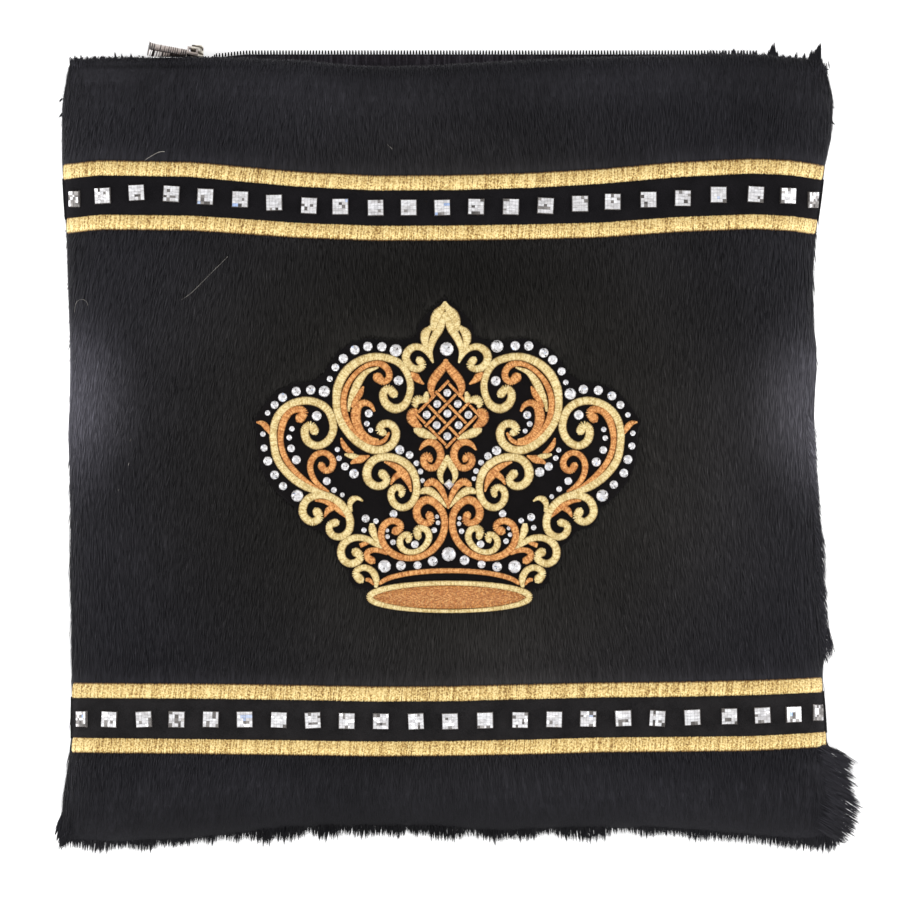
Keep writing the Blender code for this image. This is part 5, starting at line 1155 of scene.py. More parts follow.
def slider_material():
    """The slider: grey brown metal with slanting grooves, their shade painted dark in bands."""
    made, nodes = new_material("slider_metal", (0.45, 0.4, 0.33), 0.35, Metallic=0.5)
    slanting = nodes.place(Rotation=(0.0, 0.0, SLIDER_SLANT))
    grooves = nodes.shader("TexWave", {
        "Vector": slanting, "Scale": SLIDER_GROOVES, "Distortion": 5.0, "Detail": 2.0, "Detail Scale": 1.5,
    }, wave_type="BANDS", bands_direction="Y")
    nodes.paint(Base_Color=nodes.ramp(grooves, SLIDER_COLORS), Normal=nodes.bump(grooves, 0.0002))
    return made


def pull_material():
    """The pull: polished white metal on its broad face; its flank and the tier under it are painted brown,
    grey and dark with painted reflections and the shade of their ribs.
    """
    made, nodes = new_material("pull_metal", (0.9, 0.9, 0.9), 0.3, Metallic=0.25, Specular_IOR_Level=0.6)
    cloudy = nodes.noise(nodes.place(), 800.0, 2.0, 0.6)
    color = nodes.ramp(nodes.mixed(cloudy, 0.3, nodes.read("shade")), PULL_COLORS)
    nodes.paint(Base_Color=color, Normal=nodes.bump(cloudy, 0.00005))
    return made


def stitch_tree():
    """Satin stitches: arched threads side by side across a guide line.

    The guide's points hold half_width, rise and up. Each thread leans a little, and its ends vary.
    """
    nodes, given = new_tree("satin_stitches", Pitch="Float", Thread_Radius="Float", Lean="Float",
                            Raggedness="Float", Seed="Int", Material="Material")
    even = nodes.line(given["Geometry"], given["Pitch"])
    shaded = nodes.store(even, "shade", nodes.random(0.0, 1.0, given["Seed"]))
    up = nodes.named("up", "FLOAT_VECTOR")
    tangent = nodes.geo("InputTangent")
    leaning = nodes.plus(given["Lean"], nodes.random(*STITCH_SWAY, 3))
    across = nodes.vector("ADD", nodes.vector("CROSS_PRODUCT", up, tangent), nodes.scaled(tangent, leaning))
    ragged = nodes.plus(1.0, nodes.times(given["Raggedness"], nodes.random(-1.0, 1.0, 5)))
    width = nodes.times(nodes.named("half_width"), ragged)
    rise = nodes.times(nodes.named("rise"), nodes.random(*STITCH_RISES, 7))
    straight = nodes.geo("CurvePrimitiveLine", {"Start": (-1.0, 0.0, 0.0), "End": (1.0, 0.0, 0.0)})
    bent = nodes.geo("ResampleCurve", {"Curve": straight, "Count": STITCH_POINTS})
    x = nodes.parts(nodes.geo("InputPosition"))["X"]
    turned = nodes.math("SINE", nodes.times(x, math.pi / 2))
    rest = nodes.math("MAXIMUM", nodes.math("SUBTRACT", 1.0, nodes.times(turned, turned)), 0.0)
    arc = nodes.xyz(turned, 0.0, nodes.math("POWER", rest, STITCH_ARCH))
    # side runs from one end of a stitch to the other; the thread's material paints its highlight and shade by
    # it
    arch = nodes.geo("SetPosition", {"Geometry": nodes.store(bent, "side", x), "Position": arc})
    sewn = nodes.geo("InstanceOnPoints", {
        "Points": shaded, "Instance": arch, "Rotation": nodes.turn(up, across, "ZX"),
        "Scale": nodes.xyz(width, 1.0, rise),
    })
    threads = nodes.pipe(nodes.real(sewn), STITCH_SIDES, given["Thread Radius"])
    return close_tree(nodes, threads, given["Material"])


def hair_tree():
    """Hair over a patch: each strand's tip lies over a random point, and its root lies back along the comb.

    The patch's points hold comb, the way from root to tip, crowd, how much denser the hair is, and loft,
    how high the tips may stand.
    """
    nodes, given = new_tree("hair", Density="Float", Strand_Width="Float", Strand_Thickness="Float",
                            Bend="Float", Sideways="Float", Seed="Int", Material="Material")
    density = nodes.times(given["Density"], nodes.named("crowd"))
    points = nodes.geo("DistributePointsOnFaces", {
        "Mesh": given["Geometry"], "Density": density, "Seed": given["Seed"],
    }, "Points")
    shaded = nodes.store(points, "shade", nodes.random(0.0, 1.0, 11))
    held = nodes.store(shaded, "out", points.node.outputs["Normal"], "FLOAT_VECTOR")
    out = nodes.named("out", "FLOAT_VECTOR")
    comb = nodes.named("comb", "FLOAT_VECTOR")
    lifted = nodes.scaled(out, nodes.times(nodes.named("loft"), nodes.random(*HAIR_LOFTS, 13)))
    raised = nodes.geo("SetPosition", {"Geometry": held, "Offset": lifted})
    beside = nodes.vector("NORMALIZE", nodes.vector("CROSS_PRODUCT", out, comb))
    sway = nodes.times(nodes.random(-1.0, 1.0, 17), nodes.random(-1.0, 1.0, 19))
    sway = nodes.times(sway, given["Sideways"])
    pulled = nodes.vector("ADD", comb, nodes.scaled(beside, nodes.times(sway, nodes.length(comb))))
    way = nodes.vector("ADD", nodes.scaled(pulled, nodes.random(*HAIR_LENGTHS, 23)), lifted)
    wide = nodes.times(given["Strand Width"], nodes.random(*HAIR_WIDTHS, 29))
    spindle = nodes.geo("MeshUVSphere", {"Segments": 3, "Rings": 2, "Radius": 1.0}, "Mesh")
    x, y, z = nodes.parts(nodes.geo("InputPosition"))
    waist = nodes.math("SUBTRACT", 1.0, nodes.times(z, z))
    shape = nodes.xyz(nodes.mixed(waist, given["Bend"], x), y, nodes.mixed(z, 0.5, -0.5))
    strand = nodes.geo("SetPosition", {"Geometry": spindle, "Position": shape})
    grown = nodes.geo("InstanceOnPoints", {
        "Points": raised, "Instance": nodes.store(strand, "along", nodes.plus(z, 1.0)),
        "Rotation": nodes.turn(way, out, "ZX"),
        "Scale": nodes.xyz(given["Strand Thickness"], wide, nodes.length(way)),
    })
    return close_tree(nodes, grown, given["Material"])


def tooth_tree():
    """Zip teeth: a bent wire for each turn of the coil, along a guide line whose points hold out and up."""
    nodes, given = new_tree("zip_teeth", Pitch="Float", Wire_Radius="Float", Tooth="Object",
                            Material="Material")
    turn = nodes.turn(nodes.named("out", "FLOAT_VECTOR"), nodes.named("up", "FLOAT_VECTOR"), "YZ")
    tooth = nodes.geo("ObjectInfo", {"Object": given["Tooth"]}, "Geometry")
    wire = nodes.geo("MeshToCurve", {"Mesh": tooth})
    even = nodes.line(given["Geometry"], given["Pitch"])
    set_on = nodes.geo("InstanceOnPoints", {"Points": even, "Instance": wire, "Rotation": turn})
    return close_tree(nodes, nodes.pipe(nodes.real(set_on), 5, given["Wire Radius"]), given["Material"])


def loose_hair_tree():
    """Loose hairs: a thin round thread along each guide line, whose points hold half_thickness."""
    nodes, given = new_tree("loose_hairs", Spacing="Float", Material="Material")
    even = nodes.line(given["Geometry"], given["Spacing"])
    return close_tree(nodes, nodes.pipe(even, 4, 1.0, Scale=nodes.named("half_thickness")), given["Material"])


def roll_places(steps):
    """Distances in from a seam, 0 to EDGE_ROLL, at even angles round the rolled edge."""
    return [EDGE_ROLL * (1 - math.cos(math.pi / 2 * k / steps)) for k in range(steps + 1)]


def fine_columns(steps, spacing):
    """Stations across the bag: distances from the left seam, chart places, distances from the right seam."""
    rolls = roll_places(steps)
    low = chart_across(-DOME_REACH) + (EDGE_ROLL / CHART_SQUARE) * EDGE_MARGIN
    high = chart_across(DOME_REACH) - (EDGE_ROLL / CHART_SQUARE) * EDGE_MARGIN
    count = int((high - low) * CHART_SQUARE / spacing)
    middle = [("middle", across) for across in np.linspace(low, high, count + 1)]
    return [("left", reach) for reach in rolls] + middle + [("right", reach) for reach in reversed(rolls)]


def column_x(station, y):
    """X of a station at each y."""
    kind, value = station
    if kind == "left":
        return side_x("left", y) + value
    if kind == "right":
        return side_x("right", y) - value
    return np.full_like(y, world_x(value))


def face_grid(columns, shares, low_line, high_line):
    """X and Y of a grid between two lines across the bag, where shares are 0 and 1."""
    x = np.zeros((len(shares), len(columns)))
    y = np.zeros_like(x)
    for i, station in enumerate(columns):
        for _ in range(6):
            low = low_line(x[:, i])
            high = high_line(x[:, i])
            y[:, i] = low + (high - low) * np.asarray(shares)
            x[:, i] = column_x(station, y[:, i])
    return x, y


def eased_shares(count, length, low_roll, high_roll):
    """Shares from 0 to 1, closer together where an end lies on a rolled edge."""
    steps = 7
    rolls = [reach / length for reach in roll_places(steps)]
    start = rolls if low_roll else [0.0]
    end = [1 - share for share in reversed(rolls)] if high_roll else [1.0]
    middle = np.linspace(start[-1], end[0], count + 1)[1:-1]
    return [*start, *middle, *end]


def border_y(column, offset, x):
    """Y of a line across the bag that keeps its offset in chart squares from a border's middle line."""
    return world_y(look_up(BORDERS, chart_across(x), BORDER_COLUMNS.index(column)) + offset)


def swell(x, y):
    """How full a strip is: thin at the side seams, full over the bag's face."""
    edge = np.minimum(x - side_x("left", y), side_x("right", y) - x)
    return STRIP_THIN + (1 - STRIP_THIN) * smooth_step(0.0, EDGE_ROLL / 2, edge)


def panel_skin(name, lip, height, side, wall, material):
    """A soft wall: its outer face follows the bag, its inner face lies a wall's thickness in."""
    shares = eased_shares(48, world_y(60) - world_y(835), True, True)
    x, y = face_grid(fine_columns(7, 7 * MM), shares, partial(end_y, "bottom"), partial(end_y, lip))
    outer, out = face_points(x, y, 0.0, height, side)
    out[:, 0] = (-1, 0, 0)
    out[:, -1] = (1, 0, 0)
    out[0] = (0, -1, 0)
    inner = outer - out * wall
    if side < 0:
        outer, inner = outer[:, ::-1], inner[:, ::-1]
    return shell(name, outer, inner, material)


def crown_outline():
    """The crown's ground: down its left side, along the top of the base, and up its right side."""
    left = [Place(*row) for row in CROWN_OUTLINE]
    span_x = CROWN_BASE_SPAN[0] + CROWN_BASE_GAP
    span_y = CROWN_BASE_SPAN[1] + CROWN_BASE_GAP
    for share in CROWN_FOOT_SHARES:
        rise = span_y * math.sqrt(1 - share ** 2)
        left.append(Place(CROWN_BASE_MIDDLE.across + span_x * share, CROWN_BASE_MIDDLE.down - rise))
    foot = Place(CROWN_BASE_MIDDLE.across, CROWN_BASE_MIDDLE.down - span_y)
    right = [mirrored(row) for row in reversed(left[1:])]
    return [chart_plane(row) for row in [*left, foot, *right]]


def crown_axis(down):
    """The crown's middle line, which leans a little."""
    share = (down - CROWN_AXIS_TOP.down) / (CROWN_AXIS_FOOT.down - CROWN_AXIS_TOP.down)
    return CROWN_AXIS_TOP.across + share * (CROWN_AXIS_FOOT.across - CROWN_AXIS_TOP.across)


def mirrored(row):
    """The same row on the crown's other half."""
    return row._replace(across=2 * crown_axis(row.down) - row.across)


def chart_plane(row):
    return Vector((world_x(row.across), world_y(row.down)))


def base_oval(span, sides):
    """An oval round the crown base's middle."""
    angles = [math.tau * k / sides for k in range(sides)]
    return [chart_plane(Place(CROWN_BASE_MIDDLE.across + span[0] * math.cos(angle),
                              CROWN_BASE_MIDDLE.down - span[1] * math.sin(angle))) for angle in angles]


def inside(x, y, outline):
    """Which points lie inside a closed outline."""
    found = np.zeros(np.shape(x), bool)
    for a, b in zip(outline, after(outline)):
        if a.y == b.y:
            continue
        found ^= ((a.y > y) != (b.y > y)) & (x < a.x + (y - a.y) / (b.y - a.y) * (b.x - a.x))
    return found


def room_above(x, y, outline, most):
    """How far a point can move towards +Y before it enters an outline."""
    room = np.full(np.shape(x), most)
    for a, b in zip(outline, after(outline)):
        if a.x == b.x:
            continue
        spanned = (a.x > x) != (b.x > x)
        crossing = a.y + (x - a.x) / (b.x - a.x) * (b.y - a.y)
        ahead = crossing - y
        room = np.where(spanned & (ahead > 0) & (ahead < room), ahead, room)
    return room


def comb_lean(x, y):
    """How far the hair leans towards +X for each step down the bag."""
    lean, wave, bend = COMB_WAVE
    return COMB_SPLAY * x / DOME_REACH + lean * np.sin(x / wave + 1.1 * np.sin(y / bend) + 0.8)


def flat_share(x, y):
    """The share of its usual height at which the front's hair stands: less in the spots that shine."""
    share = np.ones_like(x)
    for (middle_x, middle_y), (wide, high), _ in FUR_PAINTED_LIGHT_SPOTS[:SHINE_SPOTS]:
        away = np.hypot((x - middle_x) / wide, (y - middle_y) / high)
        share *= SHINE_LOFT + (1 - SHINE_LOFT) * smooth_step(*SPOT_EDGE, away)
    return share


def hair_patch(name, x, y, room, height=front_height, side=1, bare=False, loft=None):
    """A patch for hair: its points hold the way from root to tip, the crowding and the tips' height."""
    tips, _ = face_points(x, y, 0.0, height, side)
    reach = np.minimum(room, HAIR_LENGTH)
    root_y = y + reach
    low, high = side_x("left", root_y) + ROOT_INSET, side_x("right", root_y) - ROOT_INSET
    roots, _ = face_points(np.clip(x - comb_lean(x, y) * reach, low, high), root_y, 0.0, height, side)
    crowd = np.where(bare, 0.0, np.clip(HAIR_LENGTH / np.maximum(reach, 1 * MM), 1.0, MOST_CROWD))
    faces = grid_faces(*x.shape, flip=side < 0)
    loft = HAIR_LOFT * flat_share(x, y) if loft is None else loft
    return new_mesh(name, tips, faces=faces, comb=tips - roots, crowd=crowd, loft=loft)


def hair(patch, coat, density, seed, width=HAIR_WIDTH):
    """Hair grown on a patch; coat is its tree and its material."""
    tree, material = coat
    values = {
        "Density": density, "Strand Width": width, "Strand Thickness": HAIR_THICKNESS,
        "Bend": HAIR_BEND, "Sideways": HAIR_SIDEWAYS, "Seed": seed, "Material": material,
    }
    return settle(grow(patch.name, patch, tree, values), "fur")


def front_hair(coat):
    """The front's hair: over the upper band, in four fields between the bands, and under the lower band."""
    columns = fine_columns(8, 3 * MM)
    half = BORDER_WIDTH / 2
    cover = HAIR_COVER / CHART_SQUARE - half
    low = partial(border_y, "upper_top", cover)
    lip = partial(end_y, "front_lip")
    x, y = face_grid(columns, eased_shares(16, 50 * MM, False, True), low, lip)
    hair(hair_patch("hair_top", x, y, lip(x) - y + LIP_ROOM), coat, HAIR_DENSITY, 1)

    outline = crown_outline()
    low = partial(border_y, "lower_top", cover)
    high = partial(border_y, "upper_bottom", half)
    split = len(columns) // 2
    seed = 20
    for label, part in (("left", columns[:split + 1]), ("right", columns[split:])):
        for place, first, last in (("foot", 0.0, 0.5), ("head", 0.5, 1.0)):
            seed += 1
            x, y = face_grid(part, np.linspace(first, last, FIELD_ROWS), low, high)
            room = np.minimum(high(x) - y, room_above(x, y, outline, 1.0)) + HAIR_UNDER
            bare = inside(x, y, outline) & inside(x, y + HAIR_OVER, outline)
            hair(hair_patch(f"hair_{label}_{place}", x, y, room, bare=bare), coat, HAIR_DENSITY, seed)

    high = partial(border_y, "lower_bottom", half)
    x, y = face_grid(columns, eased_shares(14, 47 * MM, True, False), partial(end_y, "bottom"), high)
    hair(hair_patch("hair_bottom", x, y, high(x) - y + HAIR_UNDER), coat, HAIR_DENSITY, 4)


def back_hair(coat):
    """The back's hair, pressed flatter where the bag lies on it."""
    lip = partial(end_y, "back_lip")
    shares = eased_shares(60, 385 * MM, True, True)
    x, y = face_grid(fine_columns(8, 5 * MM), shares, partial(end_y, "bottom"), lip)
    lying = smooth_step(0.0, 6 * MM, back_height(x, y))
    loft = HAIR_FLAT + (HAIR_LOFT - HAIR_FLAT) * lying
    patch = hair_patch("hair_back", x, y, lip(x) - y + LIP_ROOM, back_height, -1, loft=loft)
    hair(patch, coat, BACK_DENSITY, 5, BACK_WIDTH)


def vectors(*parts):
    """Vectors from their parts, each an array or one value for all."""
    return np.stack(np.broadcast_arrays(*parts), -1)


def curtain(name, points, reach_out, comb, crowd, coat, seed):
    """Hair that stands out past an edge: a sloping sheet of tips from the edge line outwards.

    points run along the edge, reach_out holds each one's farthest tip, and comb is the way root to tip.
    """
    shares = np.linspace(0, 1, CURTAIN_ROWS)[:, None, None]
    sheet = points[None] + reach_out[None] * shares
    outwards = np.linspace(*CURTAIN_CROWD, CURTAIN_ROWS)[:, None]
    comb = np.broadcast_to(comb[None], sheet.shape)
    mesh = new_mesh(name, sheet, faces=grid_faces(*sheet.shape[:2]), comb=comb, crowd=crowd * outwards,
                    loft=np.full(sheet.shape[:2], CURTAIN_LOFT))
    return hair(mesh, coat, FRINGE_DENSITY, seed)


def tufts(along, seed):
    """Tufts of uneven width: at each place along an edge, the way to its tuft's middle and its fullness."""
    rng = np.random.default_rng(seed)
    ends = [along[0]]
    while ends[-1] < along[-1]:
        ends.append(ends[-1] + rng.uniform(*TUFT_SPACING))
    ends = np.array(ends)
    middles = (ends[1:] + ends[:-1]) / 2
    number = np.clip(np.searchsorted(ends, along, side="right") - 1, 0, len(middles) - 1)
    away = (along - middles[number]) / (ends[number + 1] - ends[number]) * 2
    return middles[number] - along, 1 - TUFT_NOTCH + TUFT_NOTCH * (1 - np.abs(away) ** 2)


def bottom_fringe(coat):
    """Hair past the bottom edge, in tufts of uneven length."""
    across = np.arange(FRINGE[0][0], FRINGE[-1][0], FRINGE_STEP)
    tips = world_y(look_up(FRINGE, across))
    for label, level, seed in FRINGE_LAYERS:
        inwards, fullness = tufts(across, seed)
        x = world_x(np.clip(across, *FRINGE_ENDS))
        edge = end_y("bottom", x)
        far = np.maximum((edge - tips) * fullness, FRINGE_LEAST) + FRINGE_EXTRA
        shift = (inwards * TUFT_PULL + across) * CHART_SQUARE - CHART_MIDDLE_ACROSS * CHART_SQUARE - x
        out = vectors(shift, -(far + FRINGE_START), -FRINGE_DROP)
        comb = vectors(shift + comb_lean(x, edge) * 5 * MM, *FRINGE_COMB)
        least, more, wave, start = FRINGE_CROWD
        crowd = least + more * np.sin(across / wave + start) ** 2
        curtain("fringe_" + label, vectors(x, edge + FRINGE_START, level), out, comb, crowd, coat, seed)


def seam_hair(coat):
    """Short hair that stands out past the closed stretches of the top seam."""
    for number, (first, last, far) in enumerate(SEAM_HAIR):
        across = np.arange(first, last, FRINGE_STEP)
        inwards, fullness = tufts(across, 10 + number)
        x = world_x(across)
        points = vectors(x, end_y("front_lip", x) - SEAM_START, SEAM_HEIGHT + 4 * MM)
        out = vectors(inwards * TUFT_PULL * CHART_SQUARE, far * fullness + SEAM_START, -2 * MM)
        comb = np.broadcast_to(np.array(SEAM_COMB) * MM, points.shape)
        ends = smooth_step(0, SEAM_EASE, across - first) * smooth_step(0, SEAM_EASE, last - across)
        curtain(f"seam_hair_{number + 1}", points, out, comb, ends, coat, 11 + number)


def side_hair(coat):
    """Longer hair past the right edge: a short fringe halfway down, and a fan at the lower corner."""
    for side in SIDE_HAIR:
        downs = np.arange(side.outline[0][0], side.outline[-1][0], SIDE_STEP)
        inwards, fullness = tufts(downs, side.seed)
        y = world_y(downs)
        edge = side_x("right", y)
        tip = world_x(look_up(side.outline, downs))
        far = (tip - edge) * fullness + side.extra * smooth_step(*side.opening, downs)
        far = np.maximum(far, 0.2 * MM)
        points = vectors(edge - side.inside, y + side.drop, SEAM_HEIGHT + side.level)
        out = vectors(far + side.inside, -side.drop - inwards * TUFT_PULL * CHART_SQUARE, 2 * MM - side.level)
        comb = np.broadcast_to(np.array(side.comb) * MM, points.shape)
        curtain(side.name, points, out, comb, np.full_like(y, side.crowd), coat, side.seed)


def edge_locks(coat):
    """Single locks of hair that stand out past the edges, each a narrow leaf of tips."""
    points = []
    combs = []
    faces = []
    for tip_across, tip_down, root_across, root_down, wide in LOCKS:
        root = np.array([world_x(root_across), world_y(root_down)])
        way = np.array([world_x(tip_across), world_y(tip_down)]) - root
        beside = np.array([-way[1], way[0]]) / np.linalg.norm(way) * wide * CHART_SQUARE / 2
        start = len(points)
        for share, width in LOCK_LEAF:
            for sign in (1, -1):
                place = root + way * share + beside * width * sign
                points.append((*place, SEAM_HEIGHT + LOCK_RISE * (1 - share)))
                combs.append((*(way * 0.8 - beside * sign * 0.4), 0.0))
        faces += [(start, start + 1, start + 3, start + 2), (start + 2, start + 3, start + 5, start + 4)]
    mesh = new_mesh("edge_locks", points, faces=faces, comb=combs, crowd=np.ones(len(points)),
                    loft=np.full(len(points), LOCK_LOFT))
    return hair(mesh, coat, LOCK_DENSITY, 9)


def loose_hairs(name, table, tree, material):
    """Loose hairs that lie on the bag's face, one for each row of the table."""
    places = []
    sizes = []
    edges = []
    for half, *line in table:
        rows = smooth_rows([(across, down, 1.0) for across, down in line])
        points, _ = face_points(world_x(rows[:, 0]), world_y(rows[:, 1]), HAIR_LOFT + STRAY_LIFT)
        edges += chain(len(points), len(sizes))
        places.append(points)
        sizes += [half * MM] * len(points)
    mesh = new_mesh(name, np.vstack(places), edges, half_thickness=sizes)
    return settle(grow(name, mesh, tree, {"Spacing": STRAY_SPACING, "Material": material}), "fur")


def smooth_rows(stations):
    """A smooth curve through a scroll's stations: rows of across, down and width."""
    rows = np.array(stations, float)
    padded = np.vstack([2 * rows[0] - rows[1], rows, 2 * rows[-1] - rows[-2]])
    share = np.linspace(0, 1, CURVE_STEPS, endpoint=False)[:, None]
    pieces = []
    for p0, p1, p2, p3 in zip(padded, padded[1:], padded[2:], padded[3:]):
        pieces.append(0.5 * (2 * p1 + (p2 - p0) * share + (2 * p0 - 5 * p1 + 4 * p2 - p3) * share ** 2
                             + (3 * p1 - p0 - 3 * p2 + p3) * share ** 3))
    return np.vstack([*pieces, rows[-1:]])


def rounded_rows(rows):
    """The same rows with a half-round cap on each end that would stop at full width."""
    caps = []
    for end, beside in ((rows[0], rows[1]), (rows[-1], rows[-2])):
        if end[2] < BLUNT_END:
            caps.append(np.zeros((0, 3)))
            continue
        way = (end[:2] - beside[:2]) / np.linalg.norm(end[:2] - beside[:2])
        shares = np.array(CAP_SHARES)[:, None]
        width = end[2] * np.sqrt(1 - shares ** 2)
        caps.append(np.hstack([end[:2] + way * shares * end[2] / 2, width]))
    return np.vstack([caps[0][::-1], rows, caps[1]])


def mirrored_rows(rows):
    """The same rows on the crown's other half, where the loop beside the middle lies a little farther out."""
    across = 2 * crown_axis(rows[:, 1]) - rows[:, 0]
    near = between(LOOP_NEAR, LOOP_FAR, across)
    across = across + LOOP_SHIFT * near * (1 - smooth_step(*LOOP_FOOT, rows[:, 1]))
    return np.column_stack([across, rows[:, 1:]])


def lattice_rows():
    """The lattice's straps in pieces: each one stops short on both sides of a strap that passes over it."""
    pieces = []
    for index, k in enumerate(LATTICE_LINES):
        for turn in (1, -1):
            reach = np.linspace(-LATTICE_REACH, LATTICE_REACH, STRAP_STATIONS)
            across = LATTICE_MIDDLE.across + LATTICE_CELL[0] * (k + reach) / 2
            down = LATTICE_MIDDLE.down + LATTICE_CELL[1] * turn * (k - reach) / 2
            weave = np.cos((reach - 1) / 2 * math.pi + index * math.pi + (math.pi if turn > 0 else 0.0))
            rows = np.column_stack([across, down, np.full_like(reach, LATTICE_WIDTH)])
            kept = weave > LATTICE_CUT
            runs = np.split(np.arange(len(kept)), np.flatnonzero(np.diff(kept)) + 1)
            pieces += [(rows[run], weave[run]) for run in runs if kept[run[0]] and len(run) >= LEAST_STRAP]
    return pieces


def guide_mesh(name, lines):
    """Guide lines for stitches on the bag's face.

    Each line is (x, y, half width, lift, rise, closed), with arrays for all but the last.
    """
    points, ups, halves, rises, edges = [], [], [], [], []
    for x, y, half, lift, rise, closed in lines:
        start = sum(len(p) for p in points)
        place, up = face_points(x, y, lift)
        points.append(place)
        ups.append(up)
        halves.append(np.broadcast_to(half, x.shape))
        rises.append(np.broadcast_to(rise, x.shape))
        edges += chain(len(x), start)
        if closed:
            edges.append((start + len(x) - 1, start))
    return new_mesh(name, np.vstack(points), edges, up=np.vstack(ups), half_width=np.concatenate(halves),
                    rise=np.concatenate(rises))


def sew(name, lines, thread, seed, node, pitch=STITCH_PITCH, radius=THREAD_RADIUS, lean=0.0,
        ragged=STITCH_RAGGED):
    """Satin stitches along guide lines; thread is their tree and their material."""
    tree, material = thread
    values = {
        "Pitch": pitch, "Thread Radius": radius, "Lean": lean, "Raggedness": ragged, "Seed": seed,
        "Material": material,
    }
    slimmer = [(x, y, np.maximum(half - radius * 0.8, radius * 0.5), *rest) for x, y, half, *rest in lines]
    return settle(grow(name, guide_mesh(name, slimmer), tree, values), "gold_satin", node)


def scroll_guides(scrolls, lift):
    """Guide lines of some scrolls on both halves."""
    lines = []
    for order, stations in enumerate(scrolls.values()):
        rows = rounded_rows(smooth_rows(stations))
        for half in (rows, mirrored_rows(rows)):
            width = np.maximum(half[:, 2] + SCROLL_EXTRA, LEAST_SCROLL) * CHART_SQUARE
            rise = np.clip(SCROLL_ROUND * width, SCROLL_LEAST_RISE, SCROLL_RISE)
            level = lift + order * SCROLL_STACK
            lines.append((world_x(half[:, 0]), world_y(half[:, 1]), width / 2, level, rise, False))
    return lines


def crown_stitches(gold, copper):
    """The crown's scrolls in gold and copper, and the crossed straps in its middle."""
    sew("crown_gold", scroll_guides(GOLD_SCROLLS, CROWN_LEVEL), gold, 21, "crown")
    sew("crown_copper", scroll_guides(COPPER_SCROLLS, CROWN_LEVEL - COPPER_LOWER), copper, 22, "crown")
    straps = []
    for rows, weave in lattice_rows():
        lift = CROWN_LEVEL + LATTICE_DIP * weave
        half = rows[:, 2] * CHART_SQUARE / 2
        straps.append((world_x(rows[:, 0]), world_y(rows[:, 1]), half, lift, LATTICE_RISE, False))
    sew("crown_lattice", straps, copper, 23, "crown", pitch=LATTICE_PITCH, radius=LATTICE_THREAD)


def crown_base_stitches(gold, copper):
    """The oval foot of the crown: a gold ring, and a copper filling of short staggered stitches."""
    count = RING_STATIONS
    pairs = list(zip(base_oval(CROWN_BASE_SPAN, count), base_oval(CROWN_BASE_RING, count)))
    x = np.array([(a.x + b.x) / 2 for a, b in pairs])
    y = np.array([(a.y + b.y) / 2 for a, b in pairs])
    half = np.array([(a - b).length / 2 for a, b in pairs])
    drop = np.array([1 - BASE_LOW_SLIM * max(0.0, -math.sin(math.tau * k / count)) for k in range(count)])
    ring = [(x, y, half * drop, CROWN_LEVEL, RING_RISE, True)]
    sew("crown_base_ring", ring, gold, 24, "crown_base")

    rim = base_oval(CROWN_BASE_RING, BED_SIDES)
    middle = chart_plane(CROWN_BASE_MIDDLE)
    flat = np.array([tuple(middle.lerp(p, share)) for share in (0.0, 0.5, 1.03) for p in rim])
    top, under = [face_points(flat[:, 0], flat[:, 1], level)[0].reshape(3, BED_SIDES, 3)[::-1]
                  for level in (CROWN_LEVEL + 0.3 * MM, PLATE_LIFT)]
    settle(shell("crown_base_bed", top, under, copper[1], ring=True), "gold_satin", "crown_base")

    rows = []
    reach_x, reach_y = [span * CHART_SQUARE for span in CROWN_BASE_RING]
    for k in range(int(2 * reach_y / FILL_ROW)):
        level = -reach_y + (k + 0.5) * FILL_ROW
        half_row = reach_x * math.sqrt(max(1 - (level / reach_y) ** 2, 0.0)) + 0.4 * MM
        first = -half_row - FILL_STITCH * ((k * FILL_STAGGER) % 1.0)
        while first < half_row:
            low = max(first, -half_row)
            high = min(first + FILL_STITCH, half_row)
            if high - low > FILL_LEAST:
                along = np.array([low, (low + high) / 2, high])
                lift = CROWN_LEVEL + 0.5 * MM * np.array([0.4, 1.0, 0.4])
                rows.append((middle.x + along, level + middle.y + np.zeros(3), FILL_ROW * 0.6, lift))
            first += FILL_STITCH
    short_stitches("crown_base_filling", rows, copper[1], "crown_base")


def short_stitches(name, rows, material, node):
    """Threads that run along short guides: one rounded body for each."""
    made = bmesh.new()
    shades = []
    rng = np.random.default_rng(31)
    for x, y, half, lift in rows:
        place, up = face_points(x, y, lift)
        way = place[-1] - place[0]
        middle = place[1] + up[1] * half * 0.5
        side = np.cross(up[1], way / np.linalg.norm(way)) * half
        low = up[1] * half * 0.5
        top, left, right, first, last = [made.verts.new(p) for p in (
            middle + low, middle + side - low, middle - side - low, place[0], place[-1])]
        for tip, order in ((first, (left, top, right)), (last, (right, top, left))):
            for k in range(3):
                made.faces.new((tip, order[(k + 1) % 3], order[k]))
        shades.extend([rng.random()] * 5)
    bmesh.ops.recalc_face_normals(made, faces=made.faces)
    mesh = end_body(name, made, material)
    mesh.shade_smooth()
    set_attribute(mesh, "shade", shades)
    set_attribute(mesh, "side", np.zeros(len(shades)))
    return settle(add_object(name, mesh), "gold_satin", node)


def strip_line(column):
    """X and Y along a border's middle line, from just inside one seam to just inside the other."""
    line = partial(border_y, column, 0.0)
    xs = []
    for station in fine_columns(8, 3 * MM):
        x = np.zeros(1)
        for _ in range(5):
            y = line(x)
            low, high = side_x("left", y) + BORDER_INSET, side_x("right", y) - BORDER_INSET
            x = np.clip(column_x(station, y), low, high)
        xs.append(x[0])
    return np.array(xs), line(np.array(xs))


